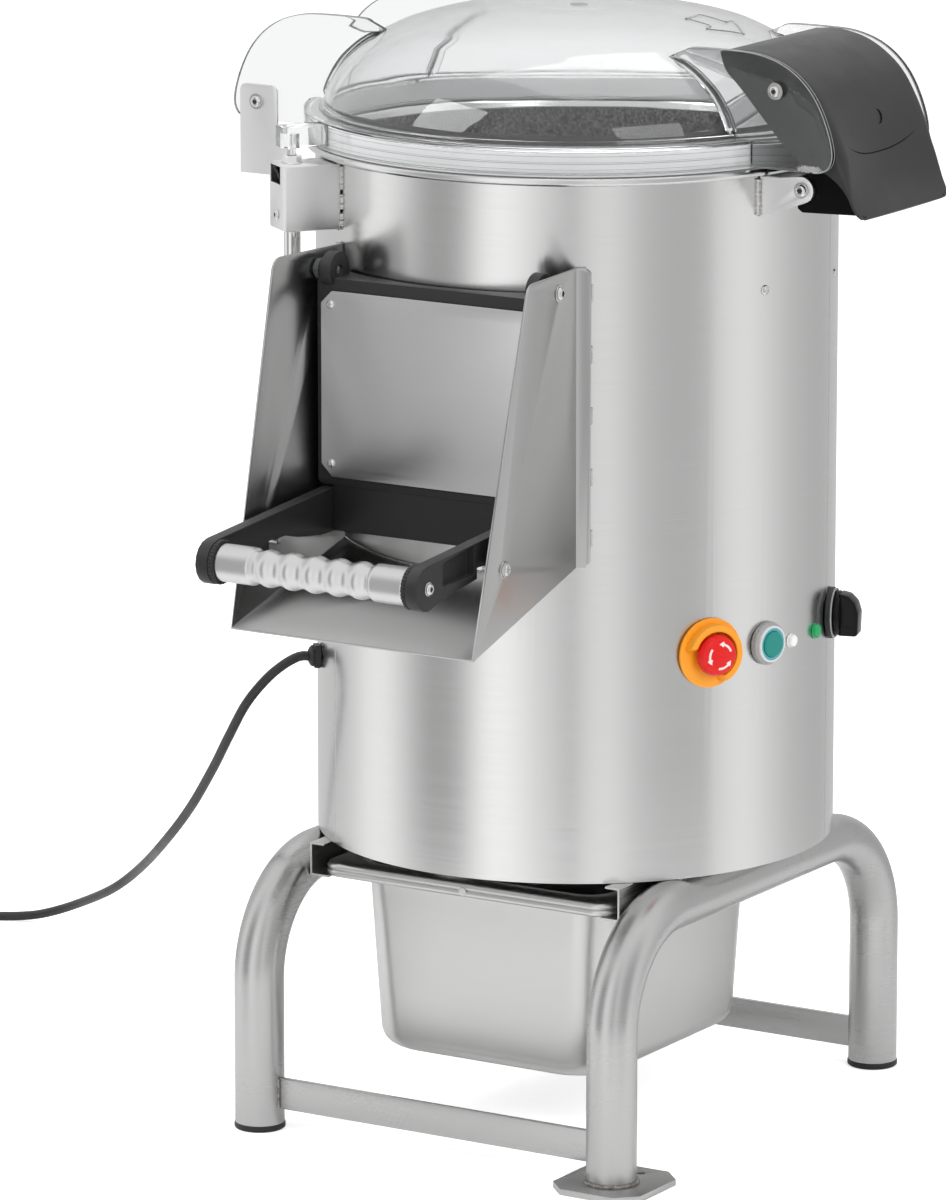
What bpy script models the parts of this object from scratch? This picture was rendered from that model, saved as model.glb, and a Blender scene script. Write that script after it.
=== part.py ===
"""Potato peeler machine: a steel drum on a tube stand, with a clear hinged lid, a discharge
chute and door, a belt-driven abrasive disc, a waste pan on rails and a mains cord.
Metres, +Z up. The drum's axis is vertical; the chute faces -Y and the lid's hinge is at +X."""

import math

import bmesh
import bpy
from mathutils import Vector

# Clearances, shared by every fit
GAP = 0.0003
RUNNING_GAP = 0.0004
OVERRUN = 0.004
FILLET_STEPS = 3
ROUND_STEPS = 16
SMALL_STEPS = 12
HEX = 6
BEAD_STEPS = 5
DRUM_STEPS = 44

# Drum shell
DRUM_RADIUS = 0.252
DRUM_WALL = 0.0015
DRUM_BOTTOM = 0.277
DRUM_TOP = 0.9515
BEAD_RADIUS = 0.0045
BEAD_REACH = 0.005
OPENING_WIDTH = 0.200
OPENING_BOTTOM = 0.609
OPENING_TOP = 0.824
OPENING_CORNER = 0.018
DRUM_INSIDE = DRUM_RADIUS - DRUM_WALL
BEAD_AXIS = DRUM_RADIUS + BEAD_REACH
RIM_RADIUS = BEAD_AXIS + BEAD_RADIUS
RIM_TOP = DRUM_TOP + BEAD_RADIUS

# Stand
LEG_RADIUS = 0.02415
LEG_WALL = 0.002
LEG_HALF_WIDTH = 0.1987
LEG_FRONT = -0.263
LEG_REAR = 0.247
ARCH_AXIS_HEIGHT = DRUM_BOTTOM - LEG_RADIUS - GAP
ARCH_BEND = 0.105
ARCH_BEND_STEPS = 6
ARCH_SIDES = 4
BAR_HEIGHT = 0.031
BAR_THICKNESS = 0.006
FRONT_BAR_BOTTOM = 0.022
REAR_BAR_BOTTOM = 0.015
CAP_RIM = 0.006
CAP_LIP = 0.0008
CAP_PLUG_DEPTH = 0.022
CAP_PLUG_WALL = 0.003
CAP_PLUG_EASE = 0.0008
ANCHOR_WIDTH = 0.0965
ANCHOR_LENGTH = 0.104
ANCHOR_THICKNESS = 0.006
ANCHOR_CORNER = 0.019
ANCHOR_SHIFT = 0.0055
ANCHOR_HOLE_RADIUS = 0.0045
ANCHOR_HOLE_SIDE = 0.0095
ANCHOR_HOLE_OFFSET = 0.039

# Waste pan and its rails
PAN_WIDTH = 0.325
PAN_LENGTH = 0.354
PAN_DEPTH = 0.150
PAN_RIM_TOP = 0.2575
PAN_LIP_DEPTH = 0.0115
PAN_FRONT = -0.209
PAN_WALL = 0.001
PAN_RIM_WIDTH = 0.0115
PAN_RIM_CORNER = 0.020
PAN_CORNER = 0.040
PAN_STEP_CORNER = 0.028
PAN_CORNER_STEPS = 4
PAN_STEP_DEPTH = 0.024
PAN_STEP_IN = 0.004
PAN_TAPER = 0.012
PAN_FLOOR_RADIUS = 0.013
RAIL_WALL = 0.002
RAIL_FLANGE = 0.0215
RAIL_TOP_FLANGE = 0.016
RAIL_LENGTH = 0.381
RAIL_OUTER = LEG_HALF_WIDTH - LEG_RADIUS - GAP
PAN_MIDDLE = PAN_FRONT + PAN_LENGTH / 2
PAN_LIP_BOTTOM = PAN_RIM_TOP - PAN_LIP_DEPTH
RAIL_TOP = DRUM_BOTTOM - GAP
RAIL_BOTTOM = PAN_LIP_BOTTOM - GAP - RAIL_WALL

# Floor of the peeling chamber and its drain
FLOOR_HEIGHT = 0.570
FLOOR_WALL = 0.002
FLOOR_UPSTAND = 0.022
FLOOR_CONE_RISE = 0.010
FLOOR_CONE_RADIUS = 0.062
DRAIN_X = -0.060
DRAIN_Y = -0.120
DRAIN_RADIUS = 0.030
DRAIN_WALL = 0.0015
DRAIN_CLEARANCE = 0.008
PLATE_THICKNESS = 0.003
PLATE_UPSTAND = 0.015
PLATE_RECESS = 0.002
LINER_THICKNESS = 0.004
LINER_TOP = 0.905

# Rotor: disc, shaft, bearings and belt drive
SHAFT_RADIUS = 0.0125
SHAFT_BOTTOM = 0.466
SHAFT_SEAT_RADIUS = 0.017
SHAFT_SEAT_HEIGHT = 0.006
DISC_THICKNESS = 0.009
DISC_CLEARANCE = 0.008
DISC_LIFT = 0.031
WAVE_COUNT = 3
WAVE_RADIUS = 0.017
WAVE_SINK = 0.004
WAVE_INNER = 0.045
WAVE_START = math.radians(30.0)
NUT_RADIUS = 0.022
NUT_HEIGHT = 0.020
HOUSING_RADIUS = 0.029
HOUSING_FLANGE_RADIUS = 0.055
HOUSING_FLANGE_THICKNESS = 0.006
HOUSING_BOTTOM = 0.506
BEARING_RADIUS = 0.021
BEARING_HEIGHT = 0.015
PULLEY_RADIUS = 0.080
PULLEY_HEIGHT = 0.022
PULLEY_GROOVE = 0.003
PULLEY_HUB_RADIUS = 0.024
PULLEY_WEB = 0.007
PULLEY_STEPS = 24
MOTOR_PULLEY_RADIUS = 0.022
MOTOR_X = -0.075
MOTOR_Y = 0.125
MOTOR_RADIUS = 0.070
MOTOR_HEIGHT = 0.160
MOTOR_FIN_COUNT = 4
MOTOR_STEPS = 14
MOTOR_FIN_DEPTH = 0.005
MOTOR_BELL = 0.0267
MOTOR_SHAFT_RADIUS = 0.0095
BELT_THICKNESS = 0.004
BELT_HEIGHT = 0.016
BELT_ARC_STEPS = 20
BELT_PLANE = SHAFT_BOTTOM + PULLEY_HEIGHT / 2 + RUNNING_GAP

# Discharge chute
CHUTE_HALF_WIDTH = 0.129
CHUTE_WALL = 0.002
CHUTE_TOP = 0.870
CHUTE_TOP_REACH = 0.321
CHUTE_TOP_CORNER = 0.012
CHUTE_LIP_REACH = 0.407
CHUTE_LIP_HEIGHT = 0.531
CHUTE_FLOOR_REAR = 0.585
CHUTE_FLANGE = 0.013
CHUTE_FLOOR_STEPS = 12

# Discharge door, its handle and the pins it rests on
HINGE_Y = -0.256
HINGE_Z = 0.852
HINGE_BORE = 0.0043
HINGE_BOLT_RADIUS = 0.004
HINGE_HEAD_RADIUS = 0.007
HINGE_HEAD_HEIGHT = 0.004
KNUCKLE_RADIUS = 0.012
KNUCKLE_LENGTH = 0.016
DOOR_HALF_WIDTH = 0.125
DOOR_FRONT = -0.268
DOOR_TOP = 0.846
DOOR_SHOULDER = 0.647
DOOR_BOTTOM = 0.603
DOOR_CORNER = 0.006
DOOR_SKIN = 0.004
SEAL_THICKNESS = 0.0036
SEAL_MARGIN = 0.011
COVER_HALF_WIDTH = 0.120
COVER_BOTTOM = 0.655
COVER_TOP = 0.834
COVER_CLIP = 0.012
COVER_THICKNESS = 0.0018
ARM_THICKNESS = 0.0127
ARM_OUTER = 0.121
ARM_INNER = ARM_OUTER - ARM_THICKNESS
ARM_WEB = 0.0037
ARM_FLANGE = 0.004
ARM_REAR = -0.241
GRIP_Y = -0.464
GRIP_Z = 0.608
HUB_RADIUS = 0.0215
HUB_BOSS_RADIUS = 0.0202
HUB_DEPTH = 0.018
HUB_ARC_STEPS = 8
GRIP_RADIUS = 0.018
GRIP_WAIST = 0.0158
GRIP_BUMPS = 5
GRIP_BUMP_PITCH = 0.025
GRIP_STEPS_PER_BUMP = 4
GRIP_STEPS = 14
PIN_Y = -0.355
PIN_Z = 0.608
PIN_RADIUS = 0.004
PIN_HEAD_RADIUS = 0.008
ARM_NOTCH_FRONT = -0.379
ARM_NOTCH_REAR = -0.350
ARM_UNDERSIDE = 0.602

# Lid with its two pairs of wings
LID_STEPS = 40
WING_ROOT_STEPS = 5
LID_WALL = 0.0035
LID_SEAL_THICKNESS = 0.0026
LID_BAND_RADIUS = 0.263
LID_BAND_HEIGHT = 0.0245
LID_TOP = 1.0835
LID_EDGE = 0.002
LID_SHOULDER = 0.246
WING_OFFSET = 0.092
WING_THICKNESS = 0.005
WING_TIP = 0.334
WING_TOP = 1.068
WING_BOTTOM = 0.9575
LUG_TAB_WIDTH = 0.026
LUG_TAB_LIFT = 0.0026
LUG_TAB_HEIGHT = 0.020
LUG_TAB_REACH = 0.307
BRACKET_THICKNESS = 0.0025
BRACKET_OUTER = 0.324
BRACKET_WIDTH = 0.043
BRACKET_TOP = 0.993
BRACKET_BOTTOM = 0.905
BRACKET_FOOT = 0.018
BRACKET_FOOT_TOP = 0.948
BRACKET_CORNER = 0.007

# Lid hinge
LID_HINGE_X = 0.288
LID_HINGE_Z = 0.9365
LUG_OFFSET = 0.0695
LUG_THICKNESS = 0.005
LUG_TIP_RADIUS = 0.0125
LUG_TIP_STEPS = 10
LUG_BOTTOM = 0.907
LUG_ROOM_HEIGHT = 0.074
LUG_ROOM_WIDTH = 0.025
LUG_ROOM_REACH = 0.0169
ROD_RADIUS = 0.004
ROD_HEAD_RADIUS = 0.0075
ROD_HEAD_HEIGHT = 0.004
BOSS_RADIUS = 0.013
GUARD_HALF_WIDTH = 0.080
GUARD_WALL = 0.003
GUARD_REACH = 0.362
GUARD_INNER_REACH = 0.209
GUARD_BOTTOM = 0.9155
CHEEK_THICKNESS = 0.006

# Lid interlock, a box welded to the drum
LATCH_AZIMUTH = math.radians(-36.0)
LATCH_WIDTH = 0.042
LATCH_REACH = 0.309
LATCH_HEIGHT = 0.0634
LATCH_WALL = 0.002
LATCH_EDGE = 0.002
SLOT_WIDTH = 0.026
SLOT_HEIGHT = 0.017
SLOT_SHIFT = -0.005
PLUNGER_RADIUS = 0.00425
PLUNGER_REACH = 0.2938
PLUNGER_TOP = 0.9745
PLUNGER_TRAVEL = 0.006
PLUNGER_NUT = 0.0095
PLUNGER_NUT_HEIGHT = 0.007
SWITCH_WIDTH = 0.020
SWITCH_DEPTH = 0.024
SWITCH_HEIGHT = 0.013
CONDUIT_RADIUS = 0.008
CONDUIT_BEND = 0.030
CONDUIT_END_HEIGHT = 0.556
CONDUIT_BEND_STEPS = 6
CONDUIT_SIDES = 3

# Controls, each on its own radius of the drum wall
ESTOP_AZIMUTH = math.radians(61.0)
ESTOP_HEIGHT = 0.495
ESTOP_DISC_RADIUS = 0.0335
COLLAR_STEPS = 24
ESTOP_DISC_THICKNESS = 0.003
ESTOP_SHROUD_RADIUS = 0.029
ESTOP_SHROUD_WALL = 0.0035
ESTOP_SHROUD_HEIGHT = 0.014
ESTOP_STEM_RADIUS = 0.009
ESTOP_STEM_HEIGHT = 0.009
ESTOP_STEM_DEPTH = 0.020
ESTOP_TRAVEL = 0.005
ESTOP_HEAD_RADIUS = 0.020
ESTOP_HEAD_HEIGHT = 0.014
ESTOP_HEAD_SKIRT = 0.0025
ESTOP_HEAD_STEPS = 20
ESTOP_DOME_STEPS = 4
START_AZIMUTH = math.radians(76.8)
START_HEIGHT = 0.495
START_BEZEL_RADIUS = 0.0195
START_BEZEL_LIP = 0.0164
START_BEZEL_HEIGHT = 0.009
START_RADIUS = 0.0125
START_DEPTH = 0.017
START_TRAVEL = 0.003
START_BARREL_WALL = 0.0025
WHITE_LAMP_AZIMUTH = math.radians(85.3)
GREEN_LAMP_AZIMUTH = math.radians(96.3)
LAMP_HEIGHT = 0.491
LAMP_STEM_RADIUS = 0.005
LAMP_STEM_DEPTH = 0.016
LAMP_RISE = 0.006
LAMP_STEPS = 12
LAMP_DOME_STEPS = 3
WHITE_LAMP_RADIUS = 0.0068
GREEN_LAMP_RADIUS = 0.0078
ISOLATOR_AZIMUTH = math.radians(107.5)
ISOLATOR_HEIGHT = 0.499
ISOLATOR_RADIUS = 0.025
ISOLATOR_BASE = 0.006
ISOLATOR_STEM_RADIUS = 0.014
ISOLATOR_DEPTH = 0.045
KNOB_RADIUS = 0.0225
KNOB_DISC = 0.006
KNOB_GRIP_WIDTH = 0.017
KNOB_GRIP_HEIGHT = 0.019
CONTACT_WIDTH = 0.030
CONTACT_HEIGHT = 0.040
CONTACT_DEPTH = 0.036
CONTACT_RING = 0.0045

# Gland and water inlet
GLAND_AZIMUTH = math.radians(-48.5)
GLAND_HEIGHT = 0.452
GLAND_RADIUS = 0.0105
GLAND_FLANGE_HEIGHT = 0.0065
GLAND_HEX_RADIUS = 0.0118
GLAND_CAP_RADIUS = 0.0084
GLAND_CAP_HEIGHT = 0.0086
GLAND_REACH = 0.0115
GLAND_THREAD_RADIUS = 0.0085
GLAND_THREAD_DEPTH = 0.012
INLET_AZIMUTH = math.radians(180.0)
INLET_HEIGHT = 0.924
INLET_RADIUS = 0.0132
INLET_BORE = 0.008
INLET_STEM_RADIUS = 0.0105
INLET_FLANGE_RADIUS = 0.018
INLET_FLANGE = 0.006
INLET_REACH = 0.030
INLET_DEPTH = 0.014

# Mains cord: a route of hand-chosen points, then a coil of its spare length
CORD_RADIUS = 0.00475
CORD_SIDES = 2
COIL_SIDES = 1
CORD_SPACING = 0.022
COIL_X = -0.9108
COIL_Y = 0.1516
COIL_RADIUS = 0.060
COIL_START = math.radians(121.7)
COIL_POINTS_PER_TURN = 24
COIL_LOWER_TURNS = 1.5
COIL_UPPER_TURNS = 1.0
COIL_PITCH = 2 * CORD_RADIUS + 0.0011
COIL_LIFT = 2 * CORD_RADIUS + 0.0006
COIL_SWERVE = 0.0012
COIL_LEAD = 0.075
PLUG_RADIUS = 0.0188
PLUG_BODY = 0.034
PLUG_NECK = 0.022
PLUG_SHOULDER = 0.0043
PLUG_SHOULDER_RADIUS = 0.0150
PLUG_NECK_RADIUS = 0.0085
PLUG_PIN_RADIUS = 0.0024
PLUG_PIN_LENGTH = 0.019
PLUG_PIN_SPACING = 0.019

# Shares of the sizes that they follow
LID_RADIUS_SHARES = (0.0, 0.28, 0.49, 0.655, 0.755, 0.835, 0.903, 0.943, 0.975, 0.992)
LID_HEIGHT_SHARES = (1.0, 0.982, 0.925, 0.83, 0.725, 0.61, 0.46, 0.33, 0.18, 0.06)
WING_X_SHARES = (0.0, 0.075, 0.40, 0.775, 0.925, 1.0, 0.985, 0.92)
WING_Z_SHARES = (0.90, 1.0, 1.0, 0.80, 0.56, 0.28, 0.09, 0.0)
GUARD_X_SHARES = (0.0, 0.42, 0.665, 0.81, 0.85, 0.90, 1.0, 0.62, 0.60)
GUARD_Z_SHARES = (0.995, 0.995, 0.87, 0.67, 0.49, 0.34, 0.0, 0.0, 0.25)
MOTOR_RADIUS_SHARES = (0.62, 0.90, 1.0)
PAN_ROUND_SHARES = (0.15, 0.5, 0.85)
ESTOP_HEAD_SHARES = (0.90, 0.62)
LAMP_DOME_SHARE = 0.8
ARM_NECK_SHARE = 0.71

# Where the free cord runs, by hand, from the gland to the start of the coil
CORD_ROUTE = (
    (-0.2045, -0.1809, 0.4517),
    (-0.2160, -0.1905, 0.4440),
    (-0.2312, -0.1985, 0.4290),
    (-0.2529, -0.2010, 0.4025),
    (-0.2826, -0.1865, 0.3639),
    (-0.3224, -0.1570, 0.3187),
    (-0.3823, -0.1070, 0.2620),
    (-0.4607, -0.0356, 0.2026),
    (-0.5941, 0.1154, 0.1240),
    (-0.6752, 0.1822, 0.0760),
    (-0.7681, 0.2482, 0.0320),
    (-0.8200, 0.2655, 0.0115),
    (-0.8480, 0.2620, 0.0056),
    (-0.8740, 0.2490, CORD_RADIUS),
    (-0.9020, 0.2290, CORD_RADIUS),
)

# Machine axis, placed so that the origin is under the middle of the machine
FRONT_REACH = GRIP_Y - HUB_RADIUS
REAR_REACH = LEG_REAR + ANCHOR_LENGTH / 2 - ANCHOR_SHIFT
AXIS_X = (WING_TIP - GUARD_REACH) / 2
AXIS_Y = -(FRONT_REACH + REAR_REACH) / 2

PARTS = bpy.data.collections.new("potato_peeler")
CUTTERS = bpy.data.collections.new("cutters")
PIVOTS = {}
FINISHES = {}


def clear_scene():
    for obj in list(bpy.data.objects):
        bpy.data.objects.remove(obj, do_unlink=True)
    for group in (PARTS, CUTTERS):
        bpy.context.scene.collection.children.link(group)


def add_finish(name, colour, roughness, metallic):
    finish = bpy.data.materials.new(name)
    finish.use_nodes = True
    shader = finish.node_tree.nodes["Principled BSDF"]
    shader.inputs["Base Color"].default_value = (*colour, 1.0)
    shader.inputs["Roughness"].default_value = roughness
    shader.inputs["Metallic"].default_value = metallic
    FINISHES[name] = finish


def add_finishes():
    add_finish("brushed_stainless", (0.62, 0.62, 0.61), 0.34, 1.0)
    add_finish("bright_stainless", (0.70, 0.70, 0.69), 0.20, 1.0)
    add_finish("grip_aluminium", (0.74, 0.74, 0.75), 0.30, 1.0)
    add_finish("clear_polycarbonate", (0.88, 0.92, 0.94), 0.06, 0.0)
    add_finish("black_plastic", (0.022, 0.022, 0.024), 0.42, 0.0)
    add_finish("black_rubber", (0.018, 0.018, 0.018), 0.70, 0.0)
    add_finish("abrasive_grey", (0.17, 0.17, 0.18), 0.92, 0.0)
    add_finish("signal_yellow", (0.90, 0.36, 0.02), 0.45, 0.0)
    add_finish("signal_red", (0.72, 0.02, 0.03), 0.35, 0.0)
    add_finish("button_green", (0.01, 0.36, 0.30), 0.35, 0.0)
    add_finish("bezel_grey", (0.46, 0.48, 0.49), 0.40, 0.0)
    add_finish("lamp_white", (0.85, 0.86, 0.86), 0.10, 0.0)
    add_finish("lamp_green", (0.02, 0.55, 0.14), 0.10, 0.0)
    add_finish("motor_grey", (0.20, 0.22, 0.24), 0.50, 0.0)
    add_finish("cast_aluminium", (0.50, 0.50, 0.51), 0.45, 1.0)


def add_pivot(name, place, parent=None):
    """An empty on a joint's axis; place is counted from the drum's axis."""
    pivot = bpy.data.objects.new(name, None)
    PARTS.objects.link(pivot)
    PIVOTS[name] = (pivot, Vector(place))
    if parent:
        carrier, base = PIVOTS[parent]
        pivot.parent = carrier
        pivot.location = Vector(place) - base
    else:
        pivot.location = place


def carry(obj, pivot="machine_axis"):
    """Hangs an object on a pivot and keeps it where it was modelled."""
    carrier, base = PIVOTS[pivot]
    obj.parent = carrier
    obj.location = obj.location - base if pivot != "machine_axis" else obj.location
    return obj


def part(obj, finish, pivot="machine_axis"):
    obj.data.materials.clear()
    obj.data.materials.append(FINISHES[finish])
    PARTS.objects.link(obj)
    return carry(obj, pivot)


def cutter(obj):
    CUTTERS.objects.link(obj)
    obj.hide_render = True
    obj.display_type = "WIRE"
    return carry(obj)


def boolean(obj, other, operation="DIFFERENCE"):
    step = obj.modifiers.new(operation.lower(), "BOOLEAN")
    step.operation = operation
    step.object = other


def cut(obj, *others):
    for other in others:
        boolean(obj, cutter(other))
    return obj


def join(obj, *others):
    for other in others:
        boolean(obj, cutter(other), "UNION")
    return obj


def soften(obj, width, segments=2):
    edge = obj.modifiers.new("edges", "BEVEL")
    edge.width = width
    edge.segments = segments
    edge.limit_method = "ANGLE"
    return obj


def placed(name, mesh, place=(0, 0, 0), turn=(0, 0, 0)):
    obj = bpy.data.objects.new(name, mesh)
    obj.location = place
    obj.rotation_euler = turn
    return obj


def smooth(mesh):
    mesh.shade_smooth()
    mesh.set_sharp_from_angle(angle=math.radians(35))
    return mesh


def block(name, size, place, turn=(0, 0, 0)):
    shape = bmesh.new()
    bmesh.ops.create_cube(shape, size=1.0)
    bmesh.ops.scale(shape, vec=Vector(size), verts=shape.verts)
    mesh = bpy.data.meshes.new(name)
    shape.to_mesh(mesh)
    shape.free()
    return placed(name, mesh, place, turn)


def rod(name, radius, bottom, top, place=(0, 0, 0), turn=(0, 0, 0), sides=ROUND_STEPS):
    """A cylinder along its own Z axis from bottom to top."""
    shape = bmesh.new()
    bmesh.ops.create_cone(shape, cap_ends=True, segments=sides, radius1=radius, radius2=radius,
                          depth=top - bottom)
    bmesh.ops.translate(shape, vec=(0, 0, (top + bottom) / 2), verts=shape.verts)
    mesh = bpy.data.meshes.new(name)
    shape.to_mesh(mesh)
    shape.free()
    return placed(name, smooth(mesh), place, turn)


def turned(name, profile, place=(0, 0, 0), turn=(0, 0, 0), steps=ROUND_STEPS, closed=True):
    """A profile of (radius, height) points turned about its own Z axis."""
    count = len(profile)
    edges = [(i, (i + 1) % count) for i in range(count if closed else count - 1)]
    mesh = bpy.data.meshes.new(name)
    mesh.from_pydata([(r, 0, z) for r, z in profile], edges, [])
    obj = placed(name, mesh, place, turn)
    screw = obj.modifiers.new("turn", "SCREW")
    screw.steps = steps
    screw.render_steps = steps
    screw.use_merge_vertices = True
    screw.merge_threshold = 0.00001
    screw.use_normal_calculate = False
    return obj


def curve_mesh(curve, name):
    """The closed mesh of a curve, its caps welded on."""
    guide = bpy.data.objects.new(name, curve)
    CUTTERS.objects.link(guide)
    graph = bpy.context.evaluated_depsgraph_get()
    mesh = bpy.data.meshes.new_from_object(guide.evaluated_get(graph))
    bpy.data.objects.remove(guide, do_unlink=True)
    shape = bmesh.new()
    shape.from_mesh(mesh)
    bmesh.ops.remove_doubles(shape, verts=shape.verts, dist=0.000001)
    shape.to_mesh(mesh)
    shape.free()
    return mesh


def flat(name, outlines, thickness, place=(0, 0, 0), turn=(0, 0, 0)):
    """A plate from closed outlines in its own XY plane, centred on that plane."""
    curve = bpy.data.curves.new(name, "CURVE")
    curve.dimensions = "2D"
    curve.fill_mode = "BOTH"
    curve.extrude = thickness / 2
    for outline in outlines:
        line = curve.splines.new("POLY")
        line.points.add(len(outline) - 1)
        line.use_cyclic_u = True
        for point, (x, y) in zip(line.points, outline):
            point.co = (x, y, 0, 1)
    return placed(name, curve_mesh(curve, name), place, turn)


def tube(name, points, radius, sides, caps=True):
    curve = bpy.data.curves.new(name, "CURVE")
    curve.dimensions = "3D"
    curve.bevel_depth = radius
    curve.bevel_resolution = sides
    curve.use_fill_caps = caps
    line = curve.splines.new("POLY")
    line.points.add(len(points) - 1)
    for point, co in zip(line.points, points):
        point.co = (*co, 1)
    return placed(name, smooth(curve_mesh(curve, name)))


def filleted(corners):
    """An outline of (x, y, radius) corners, each rounded by an arc of its radius."""
    outline = []
    for i, (x, y, radius) in enumerate(corners):
        here = Vector((x, y))
        before = Vector(corners[i - 1][:2]) - here
        after = Vector(corners[(i + 1) % len(corners)][:2]) - here
        if not radius:
            outline.append((x, y))
            continue
        half = before.angle(after) / 2
        reach = radius / math.tan(half)
        start = here + before.normalized() * reach
        end = here + after.normalized() * reach
        middle = here + (before.normalized() + after.normalized()).normalized() * (radius / math.sin(half))
        first = start - middle
        sweep = first.angle_signed(end - middle)
        for k in range(FILLET_STEPS + 1):
            angle = -sweep * k / FILLET_STEPS
            arm = Vector((first.x * math.cos(angle) - first.y * math.sin(angle),
                          first.x * math.sin(angle) + first.y * math.cos(angle)))
            outline.append(tuple(middle + arm))
    return outline


def circle(radius, x=0, y=0, steps=ROUND_STEPS):
    return [(x + radius * math.cos(2 * math.pi * k / steps), y + radius * math.sin(2 * math.pi * k / steps))
            for k in range(steps)]


def rectangle(x0, x1, y0, y1, corner=0):
    return filleted([(x0, y0, corner), (x1, y0, corner), (x1, y1, corner), (x0, y1, corner)])


ACROSS_Y = (math.pi / 2, 0, 0)
ACROSS_X = (math.pi / 2, 0, math.pi / 2)
ALONG_X = (0, math.pi / 2, 0)
ALONG_Y = (-math.pi / 2, 0, 0)


def outward(azimuth, reach, height):
    """A point at a distance from the drum's axis; azimuth 0 is the front, and it grows towards +X."""
    return (reach * math.sin(azimuth), -reach * math.cos(azimuth), height)


def facing(azimuth):
    """Turns an object's own Z axis outward along a radius of the drum."""
    return (math.pi / 2, 0, azimuth)


def chord(radius, offset):
    return math.sqrt(radius * radius - offset * offset)


def wall_hole(radius, azimuth, height, inside=DRUM_WALL):
    return rod("wall_hole", radius, -inside - OVERRUN, OVERRUN, outward(azimuth, DRUM_RADIUS, height),
               facing(azimuth))


def discharge_cutter(margin):
    half = OPENING_WIDTH / 2 + margin
    outline = rectangle(-half, half, OPENING_BOTTOM - margin, OPENING_TOP + margin, OPENING_CORNER)
    depth = DRUM_RADIUS
    return flat("discharge_cut", [outline], depth, (0, -DRUM_RADIUS, 0), ACROSS_Y)


def make_drum_shell():
    bead = [(BEAD_AXIS + BEAD_RADIUS * math.cos(a), DRUM_TOP + BEAD_RADIUS * math.sin(a))
            for a in (math.pi / 2 - math.pi * k / BEAD_STEPS for k in range(BEAD_STEPS + 1))]
    profile = [(DRUM_INSIDE, RIM_TOP), *bead, (DRUM_RADIUS, DRUM_TOP - BEAD_RADIUS),
               (DRUM_RADIUS, DRUM_BOTTOM), (DRUM_INSIDE, DRUM_BOTTOM)]
    shell = turned("drum_shell", profile, steps=DRUM_STEPS)
    cut(shell, discharge_cutter(0),
        wall_hole(ESTOP_STEM_RADIUS + CONTACT_RING + RUNNING_GAP, ESTOP_AZIMUTH, ESTOP_HEIGHT),
        wall_hole(START_RADIUS + START_BARREL_WALL + 2 * RUNNING_GAP, START_AZIMUTH, START_HEIGHT),
        wall_hole(LAMP_STEM_RADIUS + RUNNING_GAP, WHITE_LAMP_AZIMUTH, LAMP_HEIGHT),
        wall_hole(LAMP_STEM_RADIUS + RUNNING_GAP, GREEN_LAMP_AZIMUTH, LAMP_HEIGHT),
        wall_hole(ISOLATOR_STEM_RADIUS + RUNNING_GAP, ISOLATOR_AZIMUTH, ISOLATOR_HEIGHT),
        wall_hole(GLAND_THREAD_RADIUS + RUNNING_GAP, GLAND_AZIMUTH, GLAND_HEIGHT),
        wall_hole(INLET_STEM_RADIUS + RUNNING_GAP, INLET_AZIMUTH, INLET_HEIGHT))
    part(shell, "brushed_stainless")


def make_wall_liner():
    outer = DRUM_INSIDE - GAP
    inner = outer - LINER_THICKNESS
    bottom = FLOOR_HEIGHT + FLOOR_UPSTAND + GAP
    liner = turned("wall_liner", [(inner, LINER_TOP), (outer, LINER_TOP), (outer, bottom), (inner, bottom)],
                   steps=DRUM_STEPS)
    cut(liner, discharge_cutter(0))
    part(liner, "abrasive_grey")


def make_floor_pan():
    outer = DRUM_INSIDE - GAP
    inner = outer - FLOOR_WALL
    under = FLOOR_HEIGHT
    crown = under + FLOOR_CONE_RISE
    bore = HOUSING_RADIUS + GAP
    cone = HOUSING_FLANGE_RADIUS
    profile = [(outer, under + FLOOR_UPSTAND), (outer, under), (FLOOR_CONE_RADIUS, under), (cone, crown),
               (bore, crown), (bore, crown + FLOOR_WALL), (cone, crown + FLOOR_WALL),
               (FLOOR_CONE_RADIUS, under + FLOOR_WALL), (inner, under + FLOOR_WALL),
               (inner, under + FLOOR_UPSTAND)]
    floor = turned("floor_pan", profile, steps=DRUM_STEPS)
    bottom = PAN_RIM_TOP + DRAIN_CLEARANCE
    spout = rod("spout", DRAIN_RADIUS, bottom, under + FLOOR_WALL / 2, (DRAIN_X, DRAIN_Y, 0))
    bore_cut = rod("spout_bore", DRAIN_RADIUS - DRAIN_WALL, bottom - OVERRUN, under + OVERRUN,
                   (DRAIN_X, DRAIN_Y, 0))
    join(floor, spout)
    cut(floor, bore_cut)
    part(floor, "bright_stainless")


def make_bottom_plate():
    outer = DRUM_INSIDE - GAP
    inner = outer - PLATE_THICKNESS
    under = DRUM_BOTTOM + PLATE_RECESS
    profile = [(outer, under + PLATE_UPSTAND), (outer, under), (0, under), (0, under + PLATE_THICKNESS),
               (inner, under + PLATE_THICKNESS), (inner, under + PLATE_UPSTAND)]
    plate = turned("bottom_plate", profile, steps=DRUM_STEPS, closed=False)
    close_ring(plate)
    hole = rod("spout_way", DRAIN_RADIUS + GAP, under - OVERRUN, under + PLATE_UPSTAND, (DRAIN_X, DRAIN_Y, 0))
    cut(plate, hole)
    part(plate, "black_plastic")


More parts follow.
